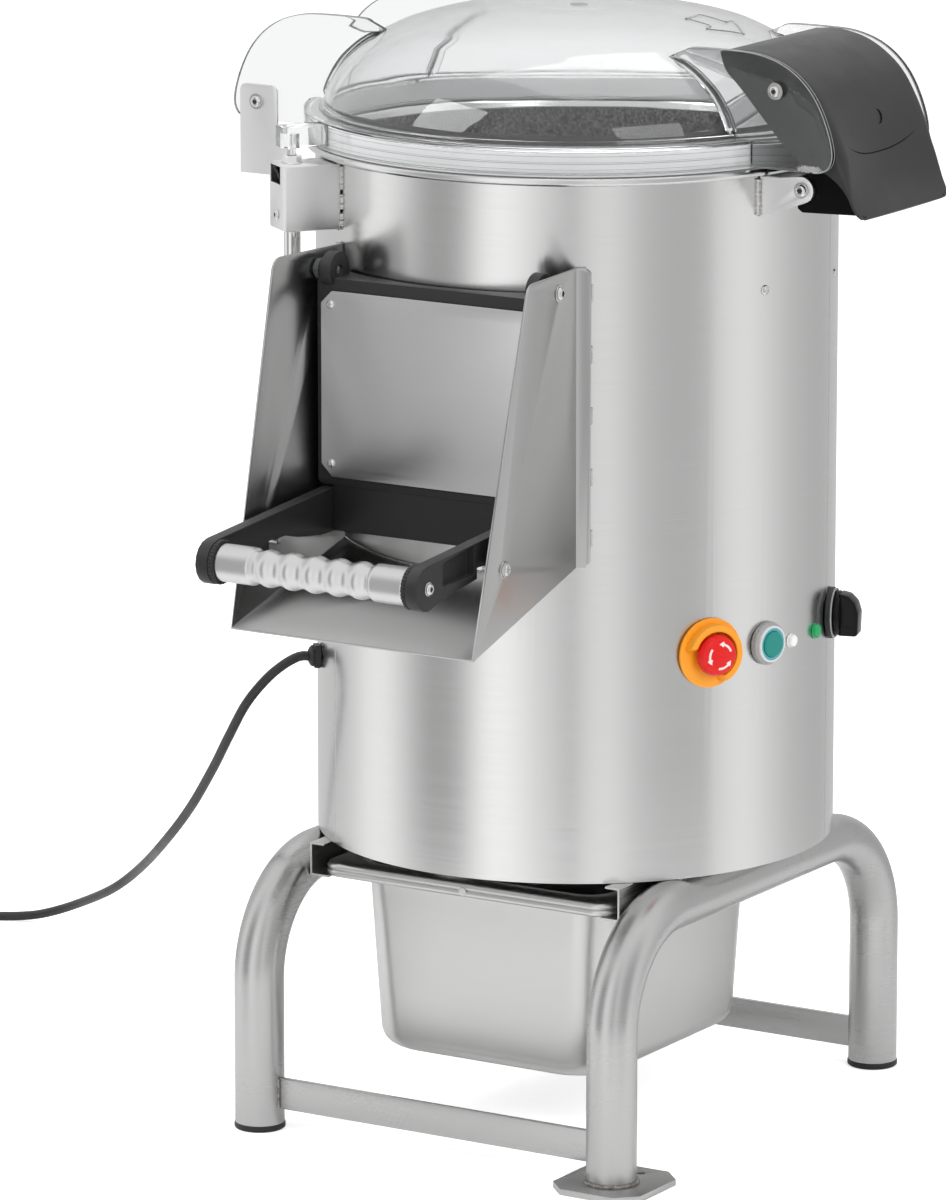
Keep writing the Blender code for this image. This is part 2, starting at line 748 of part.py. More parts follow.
def close_ring(obj):
    """Joins the last point of an open turned profile to its first, leaving the axis itself bare."""
    mesh = obj.data
    count = len(mesh.vertices)
    ends = [tuple(edge.vertices) for edge in mesh.edges]
    points = [tuple(v.co) for v in mesh.vertices]
    on_axis = [i for i, p in enumerate(points) if p[0] == 0]
    kept = [pair for pair in ends if not (pair[0] in on_axis and pair[1] in on_axis)]
    kept.append((count - 1, 0))
    mesh.clear_geometry()
    mesh.from_pydata(points, kept, [])


def make_arch(name, side):
    x = side * LEG_HALF_WIDTH
    foot = CAP_RIM + GAP if side < 0 else ANCHOR_THICKNESS + GAP
    back_foot = ANCHOR_THICKNESS + GAP if side < 0 else CAP_RIM + GAP
    start = ARCH_AXIS_HEIGHT - ARCH_BEND
    points = [(x, LEG_FRONT, foot)]
    for k in range(ARCH_BEND_STEPS + 1):
        a = math.pi / 2 * k / ARCH_BEND_STEPS
        points.append((x, LEG_FRONT + ARCH_BEND * (1 - math.cos(a)), start + ARCH_BEND * math.sin(a)))
    for k in range(ARCH_BEND_STEPS + 1):
        a = math.pi / 2 * k / ARCH_BEND_STEPS
        points.append((x, LEG_REAR - ARCH_BEND * (1 - math.sin(a)), start + ARCH_BEND * math.cos(a)))
    points.append((x, LEG_REAR, back_foot))
    arch = tube(name, points, LEG_RADIUS, ARCH_SIDES, caps=False)
    wall = arch.modifiers.new("wall", "SOLIDIFY")
    wall.thickness = LEG_WALL
    wall.offset = -1
    part(arch, "brushed_stainless")


def make_bar(name, y, bottom):
    length = 2 * (LEG_HALF_WIDTH - LEG_RADIUS - GAP)
    bar = block(name, (length, BAR_THICKNESS, BAR_HEIGHT), (0, y, bottom + BAR_HEIGHT / 2))
    part(bar, "brushed_stainless")


def make_cap(name, x, y):
    rim = LEG_RADIUS + CAP_LIP
    plug = LEG_RADIUS - LEG_WALL - CAP_PLUG_EASE
    hollow = plug - CAP_PLUG_WALL
    top = CAP_RIM + CAP_PLUG_DEPTH
    profile = [(0, CAP_RIM), (hollow, CAP_RIM), (hollow, top), (plug, top), (plug, CAP_RIM),
               (rim, CAP_RIM), (rim, CAP_LIP), (rim - CAP_LIP, 0), (0, 0)]
    cap = turned(name, profile, (x, y, 0), closed=False)
    part(cap, "black_rubber")


def clipped(x0, x1, y0, y1, clip):
    """A rectangle with its corners cut off."""
    return [(x0 + clip, y0), (x1 - clip, y0), (x1, y0 + clip), (x1, y1 - clip),
            (x1 - clip, y1), (x0 + clip, y1), (x0, y1 - clip), (x0, y0 + clip)]


def make_anchor(name, x, y, side):
    """A plate under a leg, with its bolt hole on the side towards the machine's middle."""
    middle = y + side * ANCHOR_SHIFT
    outline = clipped(x - ANCHOR_WIDTH / 2, x + ANCHOR_WIDTH / 2, middle - ANCHOR_LENGTH / 2,
                      middle + ANCHOR_LENGTH / 2, ANCHOR_CORNER)
    hole = circle(ANCHOR_HOLE_RADIUS, x + side * ANCHOR_HOLE_SIDE, y + side * ANCHOR_HOLE_OFFSET)
    plate = flat(name, [outline, hole], ANCHOR_THICKNESS, (0, 0, ANCHOR_THICKNESS / 2))
    part(plate, "brushed_stainless")


def make_rail(name, side):
    outer = side * RAIL_OUTER
    web = outer - side * RAIL_WALL
    outline = [(outer, RAIL_BOTTOM), (outer - side * RAIL_FLANGE, RAIL_BOTTOM),
               (outer - side * RAIL_FLANGE, RAIL_BOTTOM + RAIL_WALL), (web, RAIL_BOTTOM + RAIL_WALL),
               (web, RAIL_TOP - RAIL_WALL), (outer - side * RAIL_TOP_FLANGE, RAIL_TOP - RAIL_WALL),
               (outer - side * RAIL_TOP_FLANGE, RAIL_TOP), (outer, RAIL_TOP)]
    middle = PAN_FRONT + RAIL_LENGTH / 2
    rail = flat(name, [outline], RAIL_LENGTH, (0, middle, 0), ACROSS_Y)
    part(rail, "brushed_stainless")


def pan_ring(half_x, half_y, height, corner):
    points = []
    for quarter in range(4):
        sx = 1 if quarter in (0, 3) else -1
        sy = 1 if quarter in (0, 1) else -1
        for k in range(PAN_CORNER_STEPS + 1):
            a = math.pi / 2 * (quarter + k / PAN_CORNER_STEPS)
            points.append((sx * (half_x - corner) + corner * math.cos(a),
                           sy * (half_y - corner) + corner * math.sin(a), height))
    return points


def make_waste_pan():
    """A lofted pan: a turned-down rim, a stacking step, tapered walls and a rounded floor."""
    x, y, top = PAN_WIDTH / 2, PAN_LENGTH / 2, PAN_RIM_TOP
    bottom = top - PAN_DEPTH
    rim = PAN_RIM_WIDTH
    step = rim + PAN_STEP_IN
    foot = step + PAN_TAPER
    turn_radius = PAN_FLOOR_RADIUS
    rings = [pan_ring(x, y, PAN_LIP_BOTTOM, PAN_RIM_CORNER),
             pan_ring(x, y, top, PAN_RIM_CORNER),
             pan_ring(x - rim, y - rim, top, PAN_RIM_CORNER),
             pan_ring(x - rim, y - rim, top - PAN_STEP_DEPTH, PAN_STEP_CORNER),
             pan_ring(x - step, y - step, top - PAN_STEP_DEPTH - PAN_STEP_IN, PAN_STEP_CORNER + PAN_STEP_IN),
             pan_ring(x - foot, y - foot, bottom + turn_radius, PAN_CORNER)]
    for share in PAN_ROUND_SHARES:
        a = math.pi / 2 * share
        inward = turn_radius * (1 - math.cos(a))
        rings.append(pan_ring(x - foot - inward, y - foot - inward,
                              bottom + turn_radius * (1 - math.sin(a)), PAN_CORNER))
    count = len(rings[0])
    points = [p for ring in rings for p in ring]
    faces = []
    for level in range(len(rings) - 1):
        for k in range(count):
            a, b = level * count + k, level * count + (k + 1) % count
            faces.append((a, b, b + count, a + count))
    faces.append(tuple(range((len(rings) - 1) * count, len(rings) * count)))
    mesh = bpy.data.meshes.new("waste_pan")
    mesh.from_pydata(points, [], faces)
    pan = placed("waste_pan", smooth(mesh), (0, PAN_MIDDLE, 0))
    wall = pan.modifiers.new("wall", "SOLIDIFY")
    wall.thickness = PAN_WALL
    wall.offset = -1
    part(pan, "bright_stainless", "pan_slide")


def make_chute():
    """A folded sheet: two walls, a sloping floor that meets the round drum, and two weld flanges."""
    x = CHUTE_HALF_WIDTH
    seat = DRUM_RADIUS + CHUTE_WALL / 2 + 3 * GAP
    wall_rear = -chord(seat, x)
    flange_x = x + CHUTE_FLANGE
    flange_y = -chord(seat, flange_x)
    side = filleted([(wall_rear, CHUTE_TOP, 0), (-CHUTE_TOP_REACH, CHUTE_TOP, CHUTE_TOP_CORNER),
                     (-CHUTE_LIP_REACH, CHUTE_LIP_HEIGHT, 0), (wall_rear, CHUTE_FLOOR_REAR, 0)])
    slope = (CHUTE_FLOOR_REAR - CHUTE_LIP_HEIGHT) / (CHUTE_LIP_REACH + wall_rear)
    points, faces = [], []
    for sign in (-1, 1):
        base = len(points)
        points += [(sign * x, y, z) for y, z in side]
        points += [(sign * flange_x, flange_y, CHUTE_TOP), (sign * flange_x, flange_y, CHUTE_FLOOR_REAR)]
        wall = list(range(base, base + len(side)))
        flange = [base + len(side), base, base + len(side) - 1, base + len(side) + 1]
        faces += [wall, flange] if sign > 0 else [wall[::-1], flange[::-1]]
    per_side = len(side) + 2
    left_front, left_rear = len(side) - 2, len(side) - 1
    right_front, right_rear = left_front + per_side, left_rear + per_side
    front, rear = [left_front], [left_rear]
    for k in range(1, CHUTE_FLOOR_STEPS):
        across = -x + 2 * x * k / CHUTE_FLOOR_STEPS
        y = -chord(seat, across)
        front.append(len(points))
        points.append((across, -CHUTE_LIP_REACH, CHUTE_LIP_HEIGHT))
        rear.append(len(points))
        points.append((across, y, CHUTE_FLOOR_REAR - slope * (wall_rear - y)))
    front.append(right_front)
    rear.append(right_rear)
    for k in range(CHUTE_FLOOR_STEPS):
        faces.append((front[k], front[k + 1], rear[k + 1], rear[k]))
    mesh = bpy.data.meshes.new("discharge_chute")
    mesh.from_pydata(points, [], faces)
    shape = bmesh.new()
    shape.from_mesh(mesh)
    bmesh.ops.recalc_face_normals(shape, faces=shape.faces)
    shape.to_mesh(mesh)
    shape.free()
    chute = placed("discharge_chute", mesh)
    sheet = chute.modifiers.new("sheet", "SOLIDIFY")
    sheet.thickness = CHUTE_WALL
    sheet.offset = 0
    sheet.use_even_offset = True
    reach = x + CHUTE_WALL + OVERRUN
    cut(chute, rod("hinge_way", HINGE_BORE, -reach, reach, (0, HINGE_Y, HINGE_Z), ALONG_X))
    for way in (-math.pi / 2, math.pi / 2):
        join(chute, turned("rest_pin", headed_profile(ARM_INNER + GAP, PIN_RADIUS, PIN_HEAD_RADIUS, -GAP),
                           (0, PIN_Y, PIN_Z), (0, way, 0), closed=False))
    part(chute, "brushed_stainless")


def headed_profile(inner, shank, head, clearance):
    """A pin through a chute wall, its head outside."""
    seat = CHUTE_HALF_WIDTH + CHUTE_WALL / 2 + clearance
    outer = seat + HINGE_HEAD_HEIGHT
    return [(0, outer), (head - GAP, outer), (head, outer - HINGE_HEAD_HEIGHT / 2), (head, seat),
            (shank, seat), (shank, inner), (0, inner)]


def make_hinge_bolts():
    profile = headed_profile(DOOR_HALF_WIDTH - KNUCKLE_LENGTH, HINGE_BOLT_RADIUS, HINGE_HEAD_RADIUS, GAP)
    for side, name in ((-1, "left"), (1, "right")):
        bolt = turned("door_hinge_bolt_" + name, profile, (0, HINGE_Y, HINGE_Z), (0, side * math.pi / 2, 0),
                      closed=False)
        part(bolt, "bright_stainless")


def make_door_frame():
    """A moulded door, its back hollowed to the drum's curve, its front a pocket under the cover."""
    side, low = DOOR_HALF_WIDTH, ARM_INNER - GAP
    outline = rectangle(-side, side, DOOR_SHOULDER, DOOR_TOP, DOOR_CORNER)
    apron_line = rectangle(-low, low, DOOR_BOTTOM, DOOR_SHOULDER + 2 * DOOR_CORNER)
    back = -chord(DRUM_RADIUS, DOOR_HALF_WIDTH)
    depth = back - DOOR_FRONT
    frame = flat("door_frame", [outline], depth, (0, DOOR_FRONT + depth / 2, 0), ACROSS_Y)
    apron = flat("apron", [apron_line], depth - 2 * GAP, (0, DOOR_FRONT + depth / 2, 0), ACROSS_Y)
    seat = DRUM_RADIUS + SEAL_THICKNESS + 3 * GAP
    knuckles = [rod("knuckle", KNUCKLE_RADIUS, DOOR_HALF_WIDTH - KNUCKLE_LENGTH, DOOR_HALF_WIDTH - GAP,
                    (0, HINGE_Y, HINGE_Z), (0, side_sign * math.pi / 2, 0)) for side_sign in (-1, 1)]
    drum = rod("drum_curve", seat, DOOR_BOTTOM - OVERRUN, HINGE_Z + KNUCKLE_RADIUS + OVERRUN,
               sides=DRUM_STEPS)
    inside = COVER_HALF_WIDTH - 2 * DOOR_SKIN
    pocket_line = rectangle(-inside, inside, COVER_BOTTOM + 2 * DOOR_SKIN, COVER_TOP - 2 * DOOR_SKIN,
                            DOOR_CORNER)
    pocket = flat("pocket", [pocket_line], depth, (0, DOOR_FRONT + depth / 2 - DOOR_SKIN, 0), ACROSS_Y)
    behind = rod("pocket_back", seat + DOOR_SKIN, DOOR_BOTTOM - OVERRUN, DOOR_TOP + OVERRUN, sides=DRUM_STEPS)
    cut(pocket, behind)
    bore = rod("hinge_bore", HINGE_BORE, -side - OVERRUN, side + OVERRUN, (0, HINGE_Y, HINGE_Z), ALONG_X)
    join(frame, apron, *knuckles)
    cut(frame, drum, pocket, bore)
    part(frame, "black_plastic", "door_hinge")


def make_door_cover():
    outline = clipped(-COVER_HALF_WIDTH, COVER_HALF_WIDTH, COVER_BOTTOM, COVER_TOP, COVER_CLIP)
    y = DOOR_FRONT - GAP - COVER_THICKNESS / 2
    cover = flat("door_cover", [outline], COVER_THICKNESS, (0, y, 0), ACROSS_Y)
    part(cover, "brushed_stainless", "door_hinge")


def make_door_seal():
    """A rubber gasket of the drum's curve around the discharge opening."""
    inner = DRUM_RADIUS + GAP
    outer = inner + SEAL_THICKNESS
    half, bottom, top = OPENING_WIDTH / 2 + SEAL_MARGIN, DOOR_BOTTOM + GAP, OPENING_TOP + SEAL_MARGIN
    seal = turned("door_seal", [(inner, top), (outer, top), (outer, bottom), (inner, bottom)],
                  steps=DRUM_STEPS)
    keep = block("seal_front", (2 * half, DRUM_RADIUS, top - bottom + 2 * OVERRUN),
                 (0, -DRUM_RADIUS, (top + bottom) / 2))
    boolean(seal, cutter(keep), "INTERSECT")
    cut(seal, discharge_cutter(0))
    part(seal, "black_rubber", "door_hinge")


def arm_outline():
    """Side view of a handle arm: a round hub, a straight top and an underside cut clear of its pin."""
    lean = math.atan2(DOOR_SHOULDER - GRIP_Z - HUB_RADIUS, ARM_REAR - GRIP_Y)
    first, last = math.pi / 2 + lean, 3 * math.pi / 2
    points = [(GRIP_Y + HUB_RADIUS * math.cos(a), GRIP_Z + HUB_RADIUS * math.sin(a))
              for a in (first + (last - first) * k / HUB_ARC_STEPS for k in range(HUB_ARC_STEPS + 1))]
    pin_top = PIN_Z + PIN_RADIUS + GAP
    points += [(GRIP_Y + HUB_RADIUS, GRIP_Z - HUB_RADIUS * ARM_NECK_SHARE), (ARM_NOTCH_FRONT, ARM_UNDERSIDE),
               (ARM_NOTCH_FRONT, pin_top), (ARM_NOTCH_REAR, pin_top),
               (ARM_NOTCH_REAR + HUB_RADIUS, (pin_top + ARM_UNDERSIDE) / 2),
               (DOOR_FRONT - HUB_RADIUS, ARM_UNDERSIDE), (ARM_REAR, ARM_UNDERSIDE),
               (ARM_REAR, DOOR_SHOULDER - GAP)]
    return points


def make_arm(name, side):
    """A moulded channel: a thin web with flanges around it, its pocket open on the outside."""
    middle = side * (ARM_INNER + ARM_THICKNESS / 2)
    arm = flat(name, [arm_outline()], ARM_THICKNESS, (middle, 0, 0), ACROSS_X)
    pocket_depth = ARM_THICKNESS - ARM_WEB
    low = ARM_UNDERSIDE + ARM_FLANGE
    hub_edge = GRIP_Y + HUB_RADIUS + ARM_FLANGE
    outline = filleted([(hub_edge, low, ARM_FLANGE / 2), (ARM_NOTCH_FRONT - ARM_FLANGE, low, ARM_FLANGE / 2),
                        (ARM_NOTCH_FRONT - ARM_FLANGE, DOOR_SHOULDER - 3 * ARM_FLANGE, ARM_FLANGE / 2),
                        (hub_edge, GRIP_Z + HUB_RADIUS - ARM_FLANGE / 2, ARM_FLANGE / 2)])
    pocket = flat("arm_pocket", [outline], pocket_depth + OVERRUN,
                  (side * (ARM_OUTER - pocket_depth / 2 + OVERRUN / 2), 0, 0), ACROSS_X)
    hub_end = ARM_OUTER - HUB_DEPTH
    hub = rod("hub", HUB_BOSS_RADIUS, hub_end, ARM_OUTER - ARM_WEB, (0, GRIP_Y, GRIP_Z),
              (0, side * math.pi / 2, 0))
    drum = rod("drum_curve", DRUM_RADIUS + SEAL_THICKNESS, DOOR_BOTTOM - 2 * OVERRUN, DOOR_TOP,
               sides=DRUM_STEPS)
    join(arm, hub)
    cut(arm, pocket, drum)
    part(arm, "black_plastic", "door_hinge")


def make_grip():
    """A turned aluminium tube with a row of finger bumps."""
    half = ARM_OUTER - HUB_DEPTH - GAP
    wave_half = GRIP_BUMPS * GRIP_BUMP_PITCH / 2
    steps = GRIP_BUMPS * GRIP_STEPS_PER_BUMP
    profile = [(0, half), (GRIP_RADIUS - GAP * 2, half), (GRIP_RADIUS, half - GAP * 2)]
    for k in range(steps + 1):
        z = wave_half - 2 * wave_half * k / steps
        swing = (1 + math.cos(2 * math.pi * GRIP_BUMPS * k / steps)) / 2
        edge = 1 if k in (0, steps) else 0
        radius = GRIP_WAIST + (GRIP_RADIUS - GRIP_WAIST) * (1 - swing)
        profile.append((GRIP_RADIUS if edge else radius, z))
    profile += [(GRIP_RADIUS, -half + GAP * 2), (GRIP_RADIUS - GAP * 2, -half), (0, -half)]
    grip = turned("handle_grip", profile, (0, GRIP_Y, GRIP_Z), ALONG_X, steps=GRIP_STEPS, closed=False)
    part(grip, "grip_aluminium", "door_hinge")


def lid_base():
    return RIM_TOP + GAP + LID_SEAL_THICKNESS + GAP


def lid_profile():
    """The dome's outer side from its top to the lower edge of its band, as (radius, height)."""
    base = lid_base()
    shoulder = base + LID_BAND_HEIGHT
    rise = LID_TOP - shoulder
    dome = [(r * LID_SHOULDER, shoulder + h * rise) for r, h in zip(LID_RADIUS_SHARES, LID_HEIGHT_SHARES)]
    return dome + [(LID_SHOULDER + LID_EDGE, shoulder), (LID_BAND_RADIUS - LID_EDGE, shoulder),
                   (LID_BAND_RADIUS, shoulder - LID_EDGE), (LID_BAND_RADIUS, base)]


def dome_radius(height):
    """The dome's outer radius at a height."""
    points = lid_profile()[:len(LID_RADIUS_SHARES) + 1]
    for (r0, z0), (r1, z1) in zip(points, points[1:]):
        if z1 <= height <= z0:
            return r0 + (r1 - r0) * (z0 - height) / (z0 - z1)
    return LID_BAND_RADIUS


def wing_outline(side):
    """A wing's outline in XZ: its inner edge lies within the dome's wall."""
    shoulder = lid_base() + LID_BAND_HEIGHT
    inner_top = WING_BOTTOM + (WING_TOP - WING_BOTTOM) * WING_Z_SHARES[0]
    root = chord(dome_radius(inner_top) - LID_WALL / 2, WING_OFFSET)
    reach = WING_TIP - root
    outer = [(root + reach * u, WING_BOTTOM + (WING_TOP - WING_BOTTOM) * v)
             for u, v in zip(WING_X_SHARES, WING_Z_SHARES)]
    inner = [(chord(LID_BAND_RADIUS - LID_WALL / 2, WING_OFFSET), lid_base()),
             (chord(LID_BAND_RADIUS - LID_WALL / 2, WING_OFFSET), shoulder - LID_WALL / 2)]
    for k in range(WING_ROOT_STEPS):
        z = shoulder + LID_WALL + (inner_top - shoulder - LID_WALL) * k / WING_ROOT_STEPS
        inner.append((chord(dome_radius(z) - LID_WALL / 2, WING_OFFSET), z))
    return [(side * x, z) for x, z in outer + inner]


def make_lid():
    lid = turned("lid_dome", lid_profile(), steps=LID_STEPS, closed=False)
    wall = lid.modifiers.new("wall", "SOLIDIFY")
    wall.thickness = LID_WALL
    wall.offset = -1
    wings = [flat("wing", [wing_outline(side)], WING_THICKNESS, (0, row * WING_OFFSET, 0), ACROSS_Y)
             for side in (-1, 1) for row in (-1, 1)]
    base = lid_base()
    low = base + LUG_TAB_LIFT
    tab_middle = (LUG_TAB_REACH + LID_BAND_RADIUS - LID_WALL) / 2
    tab = block("tab", (LUG_TAB_WIDTH, LUG_TAB_HEIGHT, LUG_TAB_REACH - LID_BAND_RADIUS + LID_WALL),
                outward(LATCH_AZIMUTH, tab_middle, low + LUG_TAB_HEIGHT / 2), facing(LATCH_AZIMUTH))
    join(lid, *wings, tab)
    cut(lid, rod("tab_bore", PLUNGER_RADIUS + 4 * RUNNING_GAP, low - OVERRUN, PLUNGER_TOP + GAP,
                 outward(LATCH_AZIMUTH, PLUNGER_REACH, 0), sides=SMALL_STEPS))
    part(lid, "clear_polycarbonate", "lid_hinge")


def make_lid_seal():
    base = RIM_TOP + GAP
    inner, outer = DRUM_INSIDE, RIM_RADIUS
    top = base + LID_SEAL_THICKNESS
    seal = turned("lid_seal", [(inner, top), (outer, top), (outer, base), (inner, base)], steps=DRUM_STEPS)
    part(seal, "black_rubber", "lid_hinge")


def guard_outline(inset, open_side):
    """Side view of the hinge guard, drawn in by a wall where inset is given."""
    left = GUARD_INNER_REACH
    height = WING_TOP - GUARD_BOTTOM
    points = [(left + (GUARD_REACH - left) * u, GUARD_BOTTOM + height * v)
              for u, v in zip(GUARD_X_SHARES, GUARD_Z_SHARES)]
    if not inset:
        return points
    shifted = []
    for i, (x, z) in enumerate(points):
        before, after = Vector(points[i - 1]), Vector(points[(i + 1) % len(points)])
        along = (after - before).normalized()
        shifted.append((x + along.y * inset, z - along.x * inset))
    if open_side:
        shifted[-3] = (shifted[-3][0], GUARD_BOTTOM - OVERRUN)
        shifted[-2] = (shifted[-2][0] - 3 * OVERRUN, GUARD_BOTTOM - OVERRUN)
        shifted[-1] = (shifted[-1][0] - 3 * OVERRUN, shifted[-1][1])
        shifted[0] = (shifted[0][0] - 3 * OVERRUN, shifted[0][1])
    return shifted


def make_hinge_guard():
    """A black hood over the hinge: a hollow moulding, open towards the drum, on a bored boss."""
    width = 2 * GUARD_HALF_WIDTH
    guard = flat("hinge_guard", [guard_outline(0, False)], width, (0, 0, 0), ACROSS_Y)
    hollow = flat("guard_hollow", [guard_outline(GUARD_WALL, True)], width - 2 * GUARD_WALL, (0, 0, 0),
                  ACROSS_Y)
    boss_half = LUG_OFFSET - LUG_THICKNESS / 2 - RUNNING_GAP
    boss = rod("boss", BOSS_RADIUS, -boss_half, boss_half, (LID_HINGE_X, 0, LID_HINGE_Z), ALONG_Y)
    middle = guard_outline(GUARD_WALL / 2, False)
    cheek_line = [*middle[2:7], (LID_HINGE_X, LID_HINGE_Z - BOSS_RADIUS / 2),
                  (LID_HINGE_X - BOSS_RADIUS / 2, LID_HINGE_Z)]
    cheek_y = boss_half - CHEEK_THICKNESS / 2
    cheeks = [flat("cheek", [cheek_line], CHEEK_THICKNESS, (0, row * cheek_y, 0), ACROSS_Y)
              for row in (-1, 1)]
    lug_room = [block("lug_room", (LUG_ROOM_HEIGHT, LUG_ROOM_WIDTH, LUG_ROOM_HEIGHT),
                      (LID_HINGE_X + LUG_ROOM_REACH - LUG_ROOM_HEIGHT / 2,
                       row * (boss_half + LUG_ROOM_WIDTH / 2), LID_HINGE_Z)) for row in (-1, 1)]
    bore = rod("rod_bore", ROD_RADIUS + RUNNING_GAP, -width, width, (LID_HINGE_X, 0, LID_HINGE_Z), ALONG_Y)
    cut(guard, hollow)
    join(guard, *cheeks, boss)
    cut(guard, *lug_room, bore)
    part(guard, "black_plastic", "lid_hinge")


def make_lid_bracket():
    """A steel plate on the front left wing, with a foot that points at the drum."""
    outer, inner = -BRACKET_OUTER, -BRACKET_OUTER + BRACKET_WIDTH
    outline = filleted([(outer, BRACKET_BOTTOM, 0), (inner + BRACKET_FOOT, BRACKET_BOTTOM, 0),
                        (inner + BRACKET_FOOT, BRACKET_FOOT_TOP, 0), (inner, BRACKET_FOOT_TOP, 0),
                        (inner, BRACKET_TOP, BRACKET_CORNER), (outer, BRACKET_TOP, BRACKET_CORNER)])
    y = -(WING_OFFSET + WING_THICKNESS / 2 + GAP + BRACKET_THICKNESS / 2)
    bracket = flat("lid_bracket", [outline], BRACKET_THICKNESS, (0, y, 0), ACROSS_Y)
    part(bracket, "brushed_stainless", "lid_hinge")


def make_hinge_lug(name, row):
    """A plate welded to the drum, tapering to a round end about the hinge rod."""
    root = chord(DRUM_RADIUS, LUG_OFFSET - LUG_THICKNESS / 2) + GAP
    under_bead = DRUM_TOP - BEAD_RADIUS - 2 * GAP
    clear = RIM_RADIUS + 2 * GAP
    span = LID_HINGE_X - root
    fall = LID_HINGE_Z - LUG_BOTTOM
    slope = math.atan2(fall, span) - math.asin(LUG_TIP_RADIUS / math.hypot(span, fall))
    first, last = slope - math.pi / 2, math.pi / 2
    arc = [(LID_HINGE_X + LUG_TIP_RADIUS * math.cos(a), LID_HINGE_Z + LUG_TIP_RADIUS * math.sin(a))
           for a in (first + (last - first) * k / LUG_TIP_STEPS for k in range(LUG_TIP_STEPS + 1))]
    outline = [(root, LUG_BOTTOM), *arc, (clear, under_bead), (root, under_bead)]
    hole = circle(ROD_RADIUS + GAP, LID_HINGE_X, LID_HINGE_Z)
    lug = flat(name, [outline, hole], LUG_THICKNESS, (0, row * LUG_OFFSET, 0), ACROSS_Y)
    part(lug, "bright_stainless")


def make_hinge_rod():
    half = LUG_OFFSET + LUG_THICKNESS / 2 + GAP
    end = half + ROD_HEAD_HEIGHT
    profile = [(0, end), (ROD_HEAD_RADIUS, end), (ROD_HEAD_RADIUS, half), (ROD_RADIUS, half),
               (ROD_RADIUS, -half), (ROD_HEAD_RADIUS, -half), (ROD_HEAD_RADIUS, -end), (0, -end)]
    hinge = turned("hinge_rod", profile, (LID_HINGE_X, 0, LID_HINGE_Z), ALONG_Y, closed=False)
    part(hinge, "bright_stainless")


def latch_top():
    return DRUM_TOP - BEAD_RADIUS - 2 * GAP


def make_latch_box():
    """A welded box of sheet, open to the drum, with a slot in its end and a nut on top."""
    root = DRUM_RADIUS + GAP
    top = latch_top()
    length = LATCH_REACH - root
    middle = outward(LATCH_AZIMUTH, (root + LATCH_REACH) / 2, top - LATCH_HEIGHT / 2)
    box = block("latch_box", (LATCH_WIDTH, LATCH_HEIGHT, length), middle, facing(LATCH_AZIMUTH))
    soften(box, LATCH_EDGE)
    hollow = block("latch_hollow", (LATCH_WIDTH - 2 * LATCH_WALL, LATCH_HEIGHT - 2 * LATCH_WALL, length),
                   outward(LATCH_AZIMUTH, (root + LATCH_REACH) / 2 - LATCH_WALL, top - LATCH_HEIGHT / 2),
                   facing(LATCH_AZIMUTH))
    slot_top = top - LATCH_WALL - GAP
    side = (SLOT_SHIFT * math.cos(LATCH_AZIMUTH), SLOT_SHIFT * math.sin(LATCH_AZIMUTH))
    slot_place = outward(LATCH_AZIMUTH, LATCH_REACH, slot_top - SLOT_HEIGHT / 2)
    slot = block("slot", (SLOT_WIDTH, SLOT_HEIGHT, 2 * OVERRUN + LATCH_WALL),
                 (slot_place[0] + side[0], slot_place[1] + side[1], slot_place[2]), facing(LATCH_AZIMUTH))
    nut = rod("nut", PLUNGER_NUT, top - LATCH_WALL / 2, top + PLUNGER_NUT_HEIGHT,
              outward(LATCH_AZIMUTH, PLUNGER_REACH, 0), sides=HEX)
    bore = rod("plunger_way", PLUNGER_RADIUS + GAP, top - LATCH_WALL - OVERRUN,
               top + PLUNGER_NUT_HEIGHT + OVERRUN, outward(LATCH_AZIMUTH, PLUNGER_REACH, 0))
    cut(box, hollow, slot)
    join(box, nut)
    cut(box, bore)
    part(box, "brushed_stainless")


def make_interlock():
    floor = latch_top() - LATCH_HEIGHT + LATCH_WALL + GAP
    switch = block("interlock_switch", (SWITCH_WIDTH, SWITCH_HEIGHT, SWITCH_DEPTH),
                   outward(LATCH_AZIMUTH, PLUNGER_REACH - GAP, floor + SWITCH_HEIGHT / 2),
                   facing(LATCH_AZIMUTH))
    part(soften(switch, LATCH_EDGE / 2, 1), "black_plastic")
    bottom = floor + SWITCH_HEIGHT + PLUNGER_TRAVEL + GAP
    collar = PLUNGER_RADIUS + LATCH_WALL
    under = latch_top() - LATCH_WALL - GAP
    profile = [(0, PLUNGER_TOP), (PLUNGER_RADIUS - 2 * GAP, PLUNGER_TOP),
               (PLUNGER_RADIUS, PLUNGER_TOP - 2 * GAP),
               (PLUNGER_RADIUS, under), (collar, under), (collar, under - LATCH_WALL),
               (PLUNGER_RADIUS, under - LATCH_WALL), (PLUNGER_RADIUS, bottom), (0, bottom)]
    plunger = turned("interlock_plunger", profile, outward(LATCH_AZIMUTH, PLUNGER_REACH, 0),
                      steps=SMALL_STEPS, closed=False)
    part(plunger, "bright_stainless", "interlock_plunger_slide")


def make_conduit():
    """A tube that takes the switch's cable down to the drive compartment."""
    top = latch_top() - LATCH_HEIGHT - GAP
    points = [outward(LATCH_AZIMUTH, PLUNGER_REACH, top)]
    for k in range(CONDUIT_BEND_STEPS + 1):
        a = math.pi / 2 * k / CONDUIT_BEND_STEPS
        points.append(outward(LATCH_AZIMUTH, PLUNGER_REACH - CONDUIT_BEND * (1 - math.cos(a)),
                              CONDUIT_END_HEIGHT + CONDUIT_BEND * (1 - math.sin(a))))
    points.append(outward(LATCH_AZIMUTH, DRUM_RADIUS + GAP, CONDUIT_END_HEIGHT))
    conduit = tube("conduit", points, CONDUIT_RADIUS, CONDUIT_SIDES)
    part(conduit, "bright_stainless")


